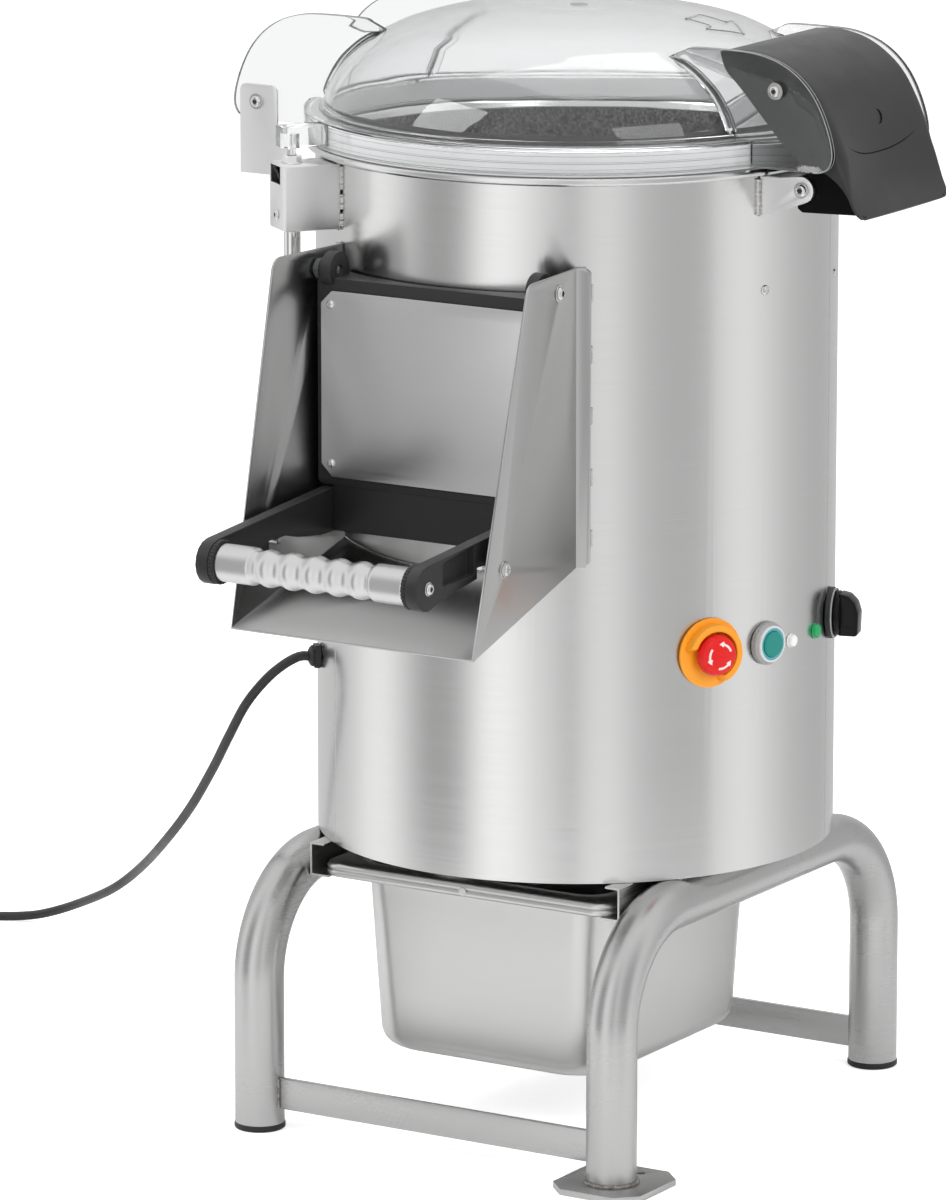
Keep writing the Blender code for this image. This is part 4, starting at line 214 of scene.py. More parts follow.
def spline(points, count):
    """A Catmull-Rom curve through the points, count steps to each span."""
    p = np.asarray(points, float)
    longer = np.vstack((2 * p[:1] - p[1:2], p, 2 * p[-1:] - p[-2:-1]))
    a, b, c, d = longer[:-3, None], longer[1:-2, None], longer[2:-1, None], longer[3:, None]
    t = np.linspace(0, 1, count, endpoint=False)[None, :, None]
    curve = 0.5 * (2 * b + (c - a) * t + (2 * a - 5 * b + 4 * c - d) * t ** 2
                   + (3 * b - a - 3 * c + d) * t ** 3)
    return np.vstack((curve.reshape(-1, p.shape[1]), p[-1:]))


def at_shares(points, shares):
    """The line's points at given shares of its length."""
    p = np.asarray(points, float)
    length = np.concatenate(((0.0,), np.cumsum(np.linalg.norm(np.diff(p, axis=0), axis=1))))
    at = np.asarray(shares) * length[-1]
    return np.stack([np.interp(at, length, p[:, k]) for k in range(p.shape[1])], -1)


def even(points, count):
    """The same line in count points at even lengths along it."""
    return at_shares(points, np.linspace(0, 1, count))


def ring(radius, count=24, x=0.0, y=0.0):
    """A circle as (x, y) points."""
    t = round_angles(count)
    return np.stack((x + radius * np.cos(t), y + radius * np.sin(t)), -1)


def arc(x, y, radius, start, end, count=12):
    """Part of a circle between two angles in degrees."""
    t = np.radians(np.linspace(start, end, count))
    return np.stack((x + radius * np.cos(t), y + radius * np.sin(t)), -1)


def oblong(x0, x1, y0, y1):
    return np.array(((x0, y0), (x1, y0), (x1, y1), (x0, y1)), float)


def round_angles(steps):
    return np.linspace(0, 2 * np.pi, steps, endpoint=False)


def inward(outline, amount):
    """Moves a closed outline in by the mitre of its two side normals."""
    p = np.asarray(outline, float)
    area = (p[:, 0] * np.roll(p[:, 1], -1) - np.roll(p[:, 0], -1) * p[:, 1]).sum()
    along = unit(np.roll(p, -1, 0) - p) * (1 if area > 0 else -1)
    normal = np.stack((-along[:, 1], along[:, 0]), -1)
    last = np.roll(normal, 1, 0)
    mitre = (normal + last) / np.maximum(1 + (normal * last).sum(1, keepdims=True), 0.3)
    return p + mitre * amount


def polar(radii, angles, heights, place, ends="open"):
    """One closed row of points for each height: (r cos t, r sin t, h) in the frame."""
    grid = np.stack((radii * np.cos(angles), radii * np.sin(angles),
                     np.broadcast_to(np.asarray(heights)[:, None], radii.shape)), -1)
    return Shell(put(grid, place), True, ends)


def turn(profile, place=upright(), steps=64, closed=False):
    """Each (radius, height) point goes round the axis."""
    p = np.asarray(profile, float)
    if closed:
        p = np.vstack((p, p[:1]))
    return polar(np.repeat(p[:, :1], steps, 1), round_angles(steps), p[:, 1], place)


def can(radius, low, high):
    """The profile of a plain cylinder."""
    return (0.0, low), (radius, low), (radius, high), (0.0, high)


def hoop(place, inner, outer, low, high, edge, steps, bend=3):
    """A ring of rectangular section with rounded edges."""
    return turn(soft(oblong(inner, outer, low, high), edge, bend), place, steps, closed=True)


def plate(outline, low, high, place, edge=0.0004, steps=3):
    """Rings of one outline from low to high along the axis; at angle a of the edge the ring lies
    edge (1 - sin a) inwards and edge (1 - cos a) along."""
    line = distinct(outline)
    a = np.linspace(0, np.pi / 2, steps + 1)
    shift = edge * (1 - np.sin(a))
    rise = edge * (1 - np.cos(a))
    pull = np.concatenate((shift, shift[::-1]))
    depth = np.concatenate((low + rise, high - rise[::-1]))
    mitre = inward(line, 1.0) - line
    flat = line[None] + pull[:, None, None] * mitre[None]
    grid = np.concatenate((flat, np.broadcast_to(depth[:, None, None], (*flat.shape[:2], 1))), -1)
    return Shell(put(grid, place), True, "flat")


def sweep(path, section, up=UP, scale=None, loop=False):
    """A closed section carried along a path: path + x side + y top, its size times scale."""
    path = np.asarray(path, float)
    if loop:
        tangent = unit(np.roll(path, -1, 0) - np.roll(path, 1, 0))
    else:
        tangent = unit(np.gradient(path, axis=0))
    side = unit(np.cross(tangent, np.asarray(up, float)))
    top = np.cross(side, tangent)
    size = np.ones(len(path)) if scale is None else np.asarray(scale, float)
    x = section[None, :, 0:1] * size[:, None, None]
    y = section[None, :, 1:2] * size[:, None, None]
    grid = path[:, None] + x * side[:, None] + y * top[:, None]
    if loop:
        grid = np.concatenate((grid, grid[:1]))
    return Shell(grid, True, "open" if loop else "flat")


def pipe(path, radius, sides, up=UP):
    return sweep(path, ring(radius, sides), up)


def tapered(count, steps, least):
    """A share of 1 that falls to the least at both ends, over a few steps."""
    k = np.arange(count)
    return np.clip(np.minimum(k, k[::-1]) / steps, least, 1.0)


def bead(path, radius, pitch, up=UP):
    """A weld bead: a round section whose radius swells once every pitch along the path."""
    path = np.asarray(path, float)
    length = np.linalg.norm(np.diff(path, axis=0), axis=1).sum()
    count = int(length / pitch * 6) + 2
    line = even(path, count)
    at = np.linspace(0, length, count)
    swell = 0.80 + 0.20 * np.abs(np.cos(np.pi * at / pitch)) + 0.10 * np.sin(at * 977.0)
    swell[0] = swell[-1] = 0.45
    return sweep(line, ring(radius, 8), up, swell)


def ribbed_rings(radii, shares, ridge):
    """Rings of several radii, each with its share of one ridge pattern round it."""
    return np.array(radii)[:, None] + ridge * np.array(shares)[:, None]


SOCKET_RADII = np.array((0.0, 0.94, 1.0, 1.0, 0.95, 0.80, 0.62, 0.50, 0.46, 0.44, 0.0))
SOCKET_HEIGHTS = np.array((0.0, 0.0, 0.06, 0.30, 0.62, 0.90, 1.0, 1.0, 0.93, 0.35, 0.30))
SOCKET_SHARES = np.array((0.0, 0.0, 0.0, 0.0, 0.0, 0.0, 0.0, 0.6, 1.0, 1.0, 1.0))


def socket_head(place, radius, height):
    """A button head: rings of falling radius, those of the socket pulled to a hexagon by
    cos 30 / cos(t mod 60 - 30)."""
    t = round_angles(36)
    hexagon = np.cos(np.pi / 6) / np.cos(t % (np.pi / 3) - np.pi / 6)
    r = radius * SOCKET_RADII[:, None] * (1 + SOCKET_SHARES[:, None] * (hexagon - 1))
    return polar(r, t, height * SOCKET_HEIGHTS, place)


def recess(place, radius, height):
    """Painted shade at the floor of a socket: a small dark hexagon set just above the socket's own floor."""
    return plate(ring(radius * 0.50, 6), height * 0.31, height * 0.62, place, 0.0)


def washer(place, inner, outer, thickness):
    edge = thickness * 0.25
    profile = ((inner, 0), (outer - edge, 0), (outer, edge), (outer, thickness - edge),
               (outer - edge, thickness), (inner, thickness))
    return turn(profile, place, 32, closed=True)


def hex_nut(place, across_flats, height, bore, steps=48):
    """A nut: rings that follow the smaller of a hexagon and a chamfer circle, round a bore."""
    t = round_angles(steps)
    wide = across_flats / 2 / np.cos(t % (np.pi / 3) - np.pi / 6)
    narrow = np.minimum(wide, across_flats / 2 * 1.04)
    hole = np.full_like(t, bore)
    radii = np.stack((hole, narrow, wide, wide, narrow, hole, hole))
    return polar(radii, t, height * np.array((0.0, 0.0, 0.10, 0.90, 1.0, 1.0, 0.0)), place)


def shells_mesh(name, shells):
    """One mesh of all shells: each grid of points becomes quads, its ends left open or closed by one
    face, then doubles are merged and faces turned outwards."""
    points, faces, base = [], [], 0
    for shell in shells:
        rows, cols = shell.points.shape[:2]
        i = base + np.arange(rows - 1)[:, None] * cols
        j = np.arange(cols if shell.wrap else cols - 1)[None]
        k = (j + 1) % cols
        faces += np.stack((i + j, i + k, i + cols + k, i + cols + j), -1).reshape(-1, 4).tolist()
        if shell.ends == "flat":
            edge = base + np.arange(cols)
            faces += [edge.tolist(), (edge + (rows - 1) * cols).tolist()]
        points.append(shell.points.reshape(-1, 3))
        base += rows * cols
    mesh = bpy.data.meshes.new(name)
    mesh.from_pydata(np.concatenate(points) + AXIS, [], faces)
    shape = bmesh.new()
    shape.from_mesh(mesh)
    bmesh.ops.remove_doubles(shape, verts=shape.verts, dist=2e-6)
    bmesh.ops.recalc_face_normals(shape, faces=shape.faces)
    shape.to_mesh(mesh)
    shape.free()
    return mesh


def new_object(name, mesh):
    obj = bpy.data.objects.new(name, mesh)
    bpy.context.scene.collection.objects.link(obj)
    return obj


def frozen(obj):
    """The object's mesh with its modifiers applied, in place of the old one."""
    graph = bpy.context.evaluated_depsgraph_get()
    mesh = bpy.data.meshes.new_from_object(obj.evaluated_get(graph))
    obj.modifiers.clear()
    obj.data = mesh
    return obj


def cut_away(obj, shells):
    """Cuts closed shells out with an exact Boolean, and keeps the result as the mesh."""
    tool = new_object("tool", shells_mesh("tool", shells))
    step = obj.modifiers.new("cut", "BOOLEAN")
    step.operation = "DIFFERENCE"
    step.object = tool
    step.solver = "EXACT"
    frozen(obj)
    bpy.data.objects.remove(tool, do_unlink=True)


def walled(obj, thickness, outside):
    """A sheet given a wall on its inner side; outside says whether its faces point outwards."""
    step = obj.modifiers.new("wall", "SOLIDIFY")
    step.thickness = thickness
    step.offset = -1 if outside else 1
    return frozen(obj)


def dress(obj, name, finish, body, nodes=(), angle=SHARP):
    """Shading, finish and body of a finished mesh, and the CAD nodes that it stands for."""
    obj.data.name = name
    obj.data.shade_smooth()
    obj.data.set_sharp_from_angle(angle=math.radians(angle))
    obj.data.materials.clear()
    obj.data.materials.append(bpy.data.materials[finish])
    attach(obj, body)
    if nodes:
        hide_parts(*nodes)
    return obj


def piece(name, shells, finish, body, nodes=(), cuts=(), angle=SHARP):
    """A finished piece: its shells in one mesh, less its cuts, and dressed."""
    obj = new_object(name, shells_mesh(name, shells))
    if cuts:
        cut_away(obj, cuts)
    return dress(obj, name, finish, body, nodes, angle)


def socket_screws(name, body, places, radius, height, others=(), nodes=(), under=None):
    """Button head screws with painted shade in their sockets and the parts made with them; under is the inner
    and outer radius and the thickness of a washer below each."""
    seats = places if under is None else [raised(place, under[2]) for place in places]
    washers = [] if under is None else [washer(place, *under) for place in places]
    heads = [socket_head(place, radius, height) for place in seats]
    piece(name, [*heads, *others, *washers], "Bright steel", body, nodes)
    piece(name + "_socket_shade", [recess(place, radius, height) for place in seats], "Socket painted shade", body)


def softened(name, node, width, segments=3):
    """A copy of a CAD node with merged corners and rounded edges."""
    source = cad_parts[node]
    shape = bmesh.new()
    shape.from_mesh(source.data)
    shape.transform(source.matrix_world)
    bmesh.ops.remove_doubles(shape, verts=shape.verts, dist=1e-5)
    bmesh.ops.dissolve_limit(shape, angle_limit=math.radians(1.0), verts=shape.verts, edges=shape.edges)
    mesh = bpy.data.meshes.new(name)
    shape.to_mesh(mesh)
    shape.free()
    obj = new_object(name, mesh)
    edge = obj.modifiers.new("edges", "BEVEL")
    edge.width = width
    edge.segments = segments
    edge.limit_method = "ANGLE"
    edge.angle_limit = math.radians(30.0)
    return frozen(obj)


def softened_copies(finish, body, *rows):
    """Rounded copies that stand for their CAD nodes, each given by its name, its node and the width."""
    for name, node, width in rows:
        dress(softened(name, node, width), name, finish, body, (node,))


def node(tree, kind, links=None, **settings):
    """A shader node, its own settings, and its inputs given as values or as other nodes' outputs."""
    made = tree.nodes.new(kind)
    for key, value in settings.items():
        setattr(made, key, value)
    for key, value in (links or {}).items():
        if isinstance(value, bpy.types.NodeSocket):
            tree.links.new(value, made.inputs[key])
        else:
            made.inputs[key].default_value = value
    return made


def effect(name, inputs, outputs):
    """A shader node group that is given a place and values, each a colour where it is a tuple; returns
    its tree, what it is given and a way to set its results."""
    tree = bpy.data.node_groups.new(name, "ShaderNodeTree")
    tree.interface.new_socket(name="Place", in_out="INPUT", socket_type="NodeSocketVector")
    for label, value in inputs.items():
        kind = "NodeSocketColor" if isinstance(value, tuple) else "NodeSocketFloat"
        tree.interface.new_socket(name=label, in_out="INPUT", socket_type=kind).default_value = value
    for label in outputs:
        kind = "NodeSocketColor" if label == "Color" else "NodeSocketFloat"
        tree.interface.new_socket(name=label, in_out="OUTPUT", socket_type=kind)
    given, end = tree.nodes.new("NodeGroupInput"), tree.nodes.new("NodeGroupOutput")
    return tree, given.outputs, lambda label, value: tree.links.new(value, end.inputs[label])


def stretched(tree, vector, scale):
    """The place on the piece times one number for each axis."""
    return node(tree, "ShaderNodeMapping", {"Vector": vector, "Scale": scale}).outputs[0]


def noise(tree, vector, scale, detail=3.0, rough=0.5):
    return node(tree, "ShaderNodeTexNoise", {"Vector": vector, "Scale": scale, "Detail": detail,
                                             "Roughness": rough}).outputs["Fac"]


def spread(tree, value, low, high, new_low, new_high):
    """The value's range from low to high becomes new_low to new_high, held at its ends."""
    return node(tree, "ShaderNodeMapRange", {"Value": value, "From Min": low, "From Max": high,
                                             "To Min": new_low, "To Max": new_high}).outputs[0]


def math_of(tree, operation, a, b):
    return node(tree, "ShaderNodeMath", {0: a, 1: b}, operation=operation).outputs[0]


def plus(tree, a, b):
    return math_of(tree, "ADD", a, b)


def times(tree, a, b):
    return math_of(tree, "MULTIPLY", a, b)


def less(tree, a, b):
    return math_of(tree, "SUBTRACT", a, b)


def mixed(tree, share, a, b):
    """Colour a where the share is 0 and b where it is 1."""
    made = node(tree, "ShaderNodeMix", data_type="RGBA")
    for index, value in ((0, share), (6, a), (7, b)):
        if isinstance(value, bpy.types.NodeSocket):
            tree.links.new(value, made.inputs[index])
        else:
            made.inputs[index].default_value = value
    return made.outputs[2]


def build_effects():
    """The shared effects: brushed lines, soft handling marks, moulded skin, grit, dust and heat tint."""
    tree, given, result = effect("Brushed lines", {"Roughness": 0.25, "Spread": 0.05},
                                 ("Roughness", "Height"))
    fine = noise(tree, stretched(tree, given["Place"], (5, 5, 1500)), 1.0, 2.0)
    broad = noise(tree, stretched(tree, given["Place"], (3, 3, 260)), 1.0, 2.0)
    both = plus(tree, times(tree, fine, 0.6), times(tree, broad, 0.4))
    swing = times(tree, less(tree, both, 0.5), given["Spread"])
    result("Roughness", plus(tree, given["Roughness"], times(tree, swing, 4.0)))
    result("Height", both)

    tree, given, result = effect("Handling marks", {"Value": 0.3, "Strength": 0.1, "Size": 9.0}, ("Value",))
    cloud = noise(tree, given["Place"], given["Size"], 5.0, 0.6)
    mask = spread(tree, cloud, 0.42, 0.68, 0.0, 1.0)
    result("Value", plus(tree, given["Value"], times(tree, mask, given["Strength"])))

    tree, given, result = effect("Moulded skin", {"Grain size": 1400.0}, ("Height",))
    grain = node(tree, "ShaderNodeTexVoronoi", {"Vector": given["Place"], "Scale": given["Grain size"]})
    result("Height", grain.outputs["Distance"])

    tree, given, result = effect("Grit", {"Pale": (0.30, 0.30, 0.29, 1), "Dark": (0.05, 0.05, 0.052, 1),
                                          "Grit size": 520.0}, ("Color", "Height"))
    cells = node(tree, "ShaderNodeTexVoronoi", {"Vector": given["Place"], "Scale": given["Grit size"]})
    shade = spread(tree, cells.outputs["Color"], 0.2, 0.9, 0.0, 1.0)
    result("Color", mixed(tree, shade, given["Dark"], given["Pale"]))
    result("Height", cells.outputs["Distance"])

    tree, given, result = effect("Dust", {"Colour": (0.5, 0.5, 0.5, 1), "Dust colour": (0.52, 0.51, 0.48, 1),
                                          "Amount": 0.05}, ("Color",))
    facing = node(tree, "ShaderNodeNewGeometry").outputs["Normal"]
    level = node(tree, "ShaderNodeSeparateXYZ", {0: facing}).outputs["Z"]
    patch = noise(tree, given["Place"], 30.0, 4.0, 0.6)
    mask = times(tree, spread(tree, level, 0.2, 1.0, 0.0, 1.0), spread(tree, patch, 0.3, 0.7, 0.3, 1.0))
    result("Color", mixed(tree, times(tree, mask, given["Amount"]), given["Colour"], given["Dust colour"]))

    tree, given, result = effect("Heat tint", {"Steel": (0.6, 0.6, 0.6, 1), "Tint": (0.16, 0.13, 0.12, 1),
                                               "Amount": 0.6}, ("Color", "Height"))
    mottle = noise(tree, given["Place"], 240.0, 4.0, 0.65)
    share = times(tree, spread(tree, mottle, 0.35, 0.65, 0.0, 1.0), given["Amount"])
    result("Color", mixed(tree, share, given["Steel"], given["Tint"]))
    result("Height", mottle)


def placed_effect(tree, name, place, **values):
    """One of the shared effects in a material, with its own values."""
    made = tree.nodes.new("ShaderNodeGroup")
    made.node_tree = bpy.data.node_groups[name]
    tree.links.new(place, made.inputs["Place"])
    for key, value in values.items():
        made.inputs[key.replace("_", " ")].default_value = value
    return made


def finish_of(name, colour, roughness, metallic=0.0, **sockets):
    """A new material, its shader with the plain values on its own sockets, and the place on the piece."""
    material = bpy.data.materials.new(name)
    material.use_nodes = True
    tree = material.node_tree
    shader = tree.nodes["Principled BSDF"]
    shader.inputs["Base Color"].default_value = (*colour, 1)
    shader.inputs["Roughness"].default_value = roughness
    shader.inputs["Metallic"].default_value = metallic
    for key, value in sockets.items():
        shader.inputs[key.replace("_", " ")].default_value = value
    material.diffuse_color = (*colour, 1)
    return tree, shader, node(tree, "ShaderNodeTexCoord").outputs["Object"]


def roughened(tree, shader, height, strength, distance):
    """The height makes a bump on the shader's normal."""
    bump = node(tree, "ShaderNodeBump", {"Strength": strength, "Distance": distance, "Height": height})
    tree.links.new(bump.outputs[0], shader.inputs["Normal"])


def steel(name, colour, roughness, spread_of, lines, marks=0.06, scale=9.0):
    """Stainless steel with brushed lines and soft handling marks."""
    tree, shader, place = finish_of(name, colour, roughness, 1.0)
    brushed = placed_effect(tree, "Brushed lines", place, Roughness=roughness, Spread=spread_of)
    marked = placed_effect(tree, "Handling marks", place, Strength=marks, Size=scale)
    tree.links.new(brushed.outputs["Roughness"], marked.inputs["Value"])
    tree.links.new(marked.outputs["Value"], shader.inputs["Roughness"])
    roughened(tree, shader, brushed.outputs["Height"], lines, 0.0002)


def moulding(name, colour, roughness, grain=1400.0, strength=0.15, dust=0.04, **sockets):
    """A moulded plastic or rubber with a fine skin and a little dust on what faces up."""
    tree, shader, place = finish_of(name, colour, roughness, 0.0, **sockets)
    skin = placed_effect(tree, "Moulded skin", place, Grain_size=grain)
    dusty = placed_effect(tree, "Dust", place, Colour=(*colour, 1), Amount=dust)
    marked = placed_effect(tree, "Handling marks", place, Value=roughness, Strength=0.08, Size=22.0)
    tree.links.new(dusty.outputs["Color"], shader.inputs["Base Color"])
    tree.links.new(marked.outputs["Value"], shader.inputs["Roughness"])
    roughened(tree, shader, skin.outputs["Height"], strength, 0.00012)


def gritty(name, pale, dark, size, strength):
    """A surface of bonded grains."""
    tree, shader, place = finish_of(name, pale, 0.85)
    grains = placed_effect(tree, "Grit", place, Pale=(*pale, 1), Dark=(*dark, 1), Grit_size=size)
    tree.links.new(grains.outputs["Color"], shader.inputs["Base Color"])
    roughened(tree, shader, grains.outputs["Height"], strength, 0.0008)


def heated(name, steel_colour, tint, amount, roughness):
    """A weld's surface: steel stained brown and grey by heat."""
    tree, shader, place = finish_of(name, steel_colour, roughness, 0.85)
    stained = placed_effect(tree, "Heat tint", place, Steel=(*steel_colour, 1), Tint=(*tint, 1),
                            Amount=amount)
    tree.links.new(stained.outputs["Color"], shader.inputs["Base Color"])
    roughened(tree, shader, stained.outputs["Height"], 0.5, 0.0005)


def clear(name, colour, roughness, ior):
    """Clear plastic; its roughness varies, and its colour darkens at grazing angles as painted shade at its
    edges.
    """
    tree, shader, place = finish_of(name, colour, roughness, 0.0, Transmission_Weight=1.0, IOR=ior)
    marked = placed_effect(tree, "Handling marks", place, Value=roughness, Strength=0.03, Size=12.0)
    tree.links.new(marked.outputs["Value"], shader.inputs["Roughness"])
    # Darker colour at grazing angles: painted shade at the clear plastic's edges
    grazing = node(tree, "ShaderNodeLayerWeight", {"Blend": 0.35}).outputs["Facing"]
    painted_edge_shade = tuple(c * 0.50 for c in colour)
    tree.links.new(mixed(tree, spread(tree, grazing, 0.45, 0.95, 0.0, 1.0), (*colour, 1), (*painted_edge_shade, 1)),
                   shader.inputs["Base Color"])


NODE_FINISH = {
    "Brushed drum": "drum_shell",
    "Satin tube": "left_arch right_arch front_bar rear_bar anchor_plate_front anchor_plate_rear",
    "Sheet steel": "pan_rail_left pan_rail_right floor_pan bottom_plate lid_bracket",
    "Pan steel": "waste_pan",
    "Chute steel": "discharge_chute",
    "Door cover": "door_cover",
    "Latch steel": "latch_box",
    "Bright steel": "disc_nut drive_shaft lower_bearing upper_bearing door_hinge_bolt_left "
                    "door_hinge_bolt_right hinge_lug_front hinge_lug_rear hinge_rod conduit water_inlet",
    "Cast iron": "bearing_housing driven_pulley motor_pulley",
    "Grip aluminium": "handle_grip",
    "Chamber grit": "wall_liner",
    "Disc grit": "abrasive_disc",
    "Black plastic": "foot_cap_front_left foot_cap_rear_right door_frame handle_arm_left handle_arm_right "
                     "interlock_switch estop_stem estop_contacts isolator_base cable_gland",
    "Hood black": "hinge_guard",
    "Gloss black": "isolator_knob",
    "Black rubber": "door_seal",
    "Belt rubber": "drive_belt",
    "Cord black": "power_cord cord_coil power_plug",
    "Motor paint": "motor",
    "Pale silicone": "lid_seal",
    "Stop collar": "estop_collar",
    "Stop button": "estop_head",
    "Start button": "start_button",
    "Bezel grey": "start_bezel",
    "White lens": "lamp_white",
    "Green lens": "lamp_green",
    "Clear lid": "lid_dome",
    "Natural acetal": "interlock_plunger",
}


class PEELER_OT_finishes(bpy.types.Operator):
    """Make every finish of the machine, and give each part its own"""

    bl_idname = "peeler.finishes"
    bl_label = "Finishes"

    def execute(self, context):
        own = context.scene.peeler
        build_effects()
        base = tuple(own.steel)
        rough = own.steel_roughness
        plastic = tuple(own.plastic)
        steel("Brushed drum", base, rough, 0.04, 0.05, 0.02, 4.0)
        steel("Satin tube", (0.53, 0.53, 0.527), 0.28, 0.03, 0.05, 0.04, 12.0)
        steel("Sheet steel", (0.68, 0.68, 0.67), 0.27, 0.05, 0.10)
        steel("Chute steel", (0.52, 0.52, 0.517), 0.29, 0.008, 0.003, 0.02, 4.0)
        steel("Door cover", (0.74, 0.74, 0.74), 0.30, 0.03, 0.06, 0.03, 7.0)
        steel("Latch steel", (0.86, 0.86, 0.86), 0.40, 0.03, 0.05, 0.04, 30.0)
        steel("Pan steel", (0.64, 0.64, 0.635), 0.32, 0.02, 0.03, 0.04, 8.0)
        steel("Bright steel", (0.72, 0.72, 0.71), 0.14, 0.03, 0.04, 0.05, 30.0)
        steel("Grip aluminium", (0.66, 0.66, 0.66), 0.31, 0.01, 0.01, 0.02, 25.0)
        steel("Cast iron", (0.20, 0.20, 0.205), 0.45, 0.04, 0.20, 0.10, 40.0)
        heated("Weld", (0.64, 0.635, 0.63), (0.42, 0.40, 0.38), 0.6, 0.34)
        heated("Burnt weld", (0.40, 0.385, 0.375), (0.13, 0.115, 0.105), 0.85, 0.42)
        moulding("Black plastic", plastic, 0.40, Specular_IOR_Level=0.32)
        moulding("Hood black", (0.017, 0.017, 0.018), 0.33, 1700.0, 0.035, 0.03)
        # Dead black with little reflection: painted shade for the hood's inside, its crease and the notch of
        # its gate mark
        moulding("Hood painted shade", (0.004, 0.004, 0.004), 0.5, 1700.0, 0.03, 0.0, Specular_IOR_Level=0.06)
        moulding("Gloss black", (0.006, 0.006, 0.006), 0.14, 900.0, 0.02, 0.0, Specular_IOR_Level=0.16)
        moulding("Black rubber", (0.022, 0.022, 0.022), 0.62)
        moulding("Belt rubber", (0.018, 0.018, 0.018), 0.7)
        moulding("Cord black", (0.014, 0.014, 0.015), 0.40, 2200.0, 0.08, 0.05)
        moulding("Motor paint", (0.10, 0.13, 0.16), 0.45, 700.0, 0.12)
        moulding("Stop collar", tuple(own.warning), 0.38, 900.0, 0.04, 0.02)
        moulding("Stop button", tuple(own.stop), 0.26, 900.0, 0.03, 0.0, Specular_IOR_Level=0.35)
        moulding("Start button", tuple(own.start), 0.30, 900.0, 0.04, 0.02)
        moulding("Teal ring", (0.08, 0.40, 0.46), 0.30, 900.0, 0.04, 0.02)
        moulding("Bezel grey", (0.34, 0.345, 0.35), 0.34, 900.0, 0.05, 0.03)
        moulding("Pale ring", (0.66, 0.67, 0.67), 0.33, 900.0, 0.04, 0.02)
        moulding("White lens", (0.88, 0.88, 0.87), 0.14, 500.0, 0.03, 0.0, Coat_Weight=0.5)
        moulding("Green lens", (0.002, 0.34, 0.10), 0.12, 500.0, 0.03, 0.0, Coat_Weight=0.3)
        moulding("Arrow mark", (0.86, 0.74, 0.72), 0.4, 900.0, 0.02, 0.0)
        moulding("Pale silicone", (0.52, 0.53, 0.53), 0.45, 900.0, 0.04, 0.02)
        moulding("Cable tie", (0.03, 0.03, 0.03), 0.35, 900.0, 0.04, 0.02)
        moulding("Spacer grey", (0.10, 0.105, 0.105), 0.38, 900.0, 0.04, 0.02)
        # Near black for the painted shade at the bottom of the screw sockets
        moulding("Socket painted shade", (0.018, 0.018, 0.018), 0.6, 900.0, 0.04, 0.0)
        # Grey for thin lines of painted shade along the clear lid's edges
        moulding("Lid edge painted shade", (0.30, 0.31, 0.315), 0.30, 900.0, 0.03, 0.0)
        moulding("Lid rim grey", (0.925, 0.927, 0.93), 0.40, 900.0, 0.03, 0.0)
        gritty("Chamber grit", (0.20, 0.20, 0.195), (0.05, 0.05, 0.05), 480.0, 0.7)
        gritty("Disc grit", (0.16, 0.16, 0.16), (0.03, 0.03, 0.03), 420.0, 0.8)
        clear("Clear lid", tuple(own.clear), 0.02, 1.49)
        clear("Natural acetal", (0.86, 0.87, 0.86), 0.22, 1.41)
        for finish, names in NODE_FINISH.items():
            for name in names.split():
                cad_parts[name].data.materials.clear()
                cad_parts[name].data.materials.append(bpy.data.materials[finish])
        return {"FINISHED"}


# The studio's horizon as metal sees it: an azimuth in degrees, and the light from there
GLOW = (
    (-180, 0.62), (-131, 0.72), (-109, 0.70), (-96, 0.70), (-85, 0.85), (-75, 1.1), (-62, 1.15),
    (-52, 0.85), (-45, 0.62), (-38, 0.42), (-26, 0.42), (-20, 0.6), (-14, 1.0), (-8, 1.3), (0, 1.25),
    (9, 1.05), (19, 0.80), (25, 0.72), (29, 0.45), (33, 0.8), (41, 1.0), (48, 0.95), (57, 0.7),
    (68, 0.58), (91, 0.55), (95, 0.9), (112, 1.05), (125, 0.85), (142, 0.65), (163, 0.56), (180, 0.56),
)
GLOW_TOP = 1.5


def studio_world(sky):
    """White to the camera, an even light on what is matt, and soft bands round the horizon in metal."""
    world = bpy.data.worlds.new("Studio")
    bpy.context.scene.world = world
    world.use_nodes = True
    tree = world.node_tree
    tree.nodes.clear()
    ray = node(tree, "ShaderNodeLightPath")
    way = node(tree, "ShaderNodeSeparateXYZ", {0: node(tree, "ShaderNodeTexCoord").outputs["Generated"]})
    azimuth = math_of(tree, "ARCTAN2", way.outputs["X"], times(tree, way.outputs["Y"], -1.0))
    share = plus(tree, math_of(tree, "DIVIDE", azimuth, 2 * math.pi), 0.5)
    ramp = node(tree, "ShaderNodeValToRGB", {0: share})
    stops = ramp.color_ramp.elements
    while len(stops) < len(GLOW):
        stops.new(0.5)
    for stop, (degrees, level) in zip(stops, GLOW):
        stop.position = degrees / 360 + 0.5
        stop.color = (*(level / GLOW_TOP,) * 3, 1)
    band = times(tree, ramp.outputs[0], GLOW_TOP)
    high = spread(tree, way.outputs["Z"], 0.45, 0.85, 0.0, 1.0)
    metal = plus(tree, times(tree, band, less(tree, 1.0, high)), high)
    glossy = ray.outputs["Is Glossy Ray"]
    level = plus(tree, times(tree, glossy, metal), times(tree, less(tree, 1.0, glossy), sky))
    seen = math_of(tree, "MAXIMUM", ray.outputs["Is Camera Ray"], ray.outputs["Is Transmission Ray"])
    level = plus(tree, seen, times(tree, less(tree, 1.0, seen), level))
    back = node(tree, "ShaderNodeBackground", {"Color": (1, 1, 1, 1), "Strength": level})
    out = node(tree, "ShaderNodeOutputWorld")
    tree.links.new(back.outputs[0], out.inputs[0])


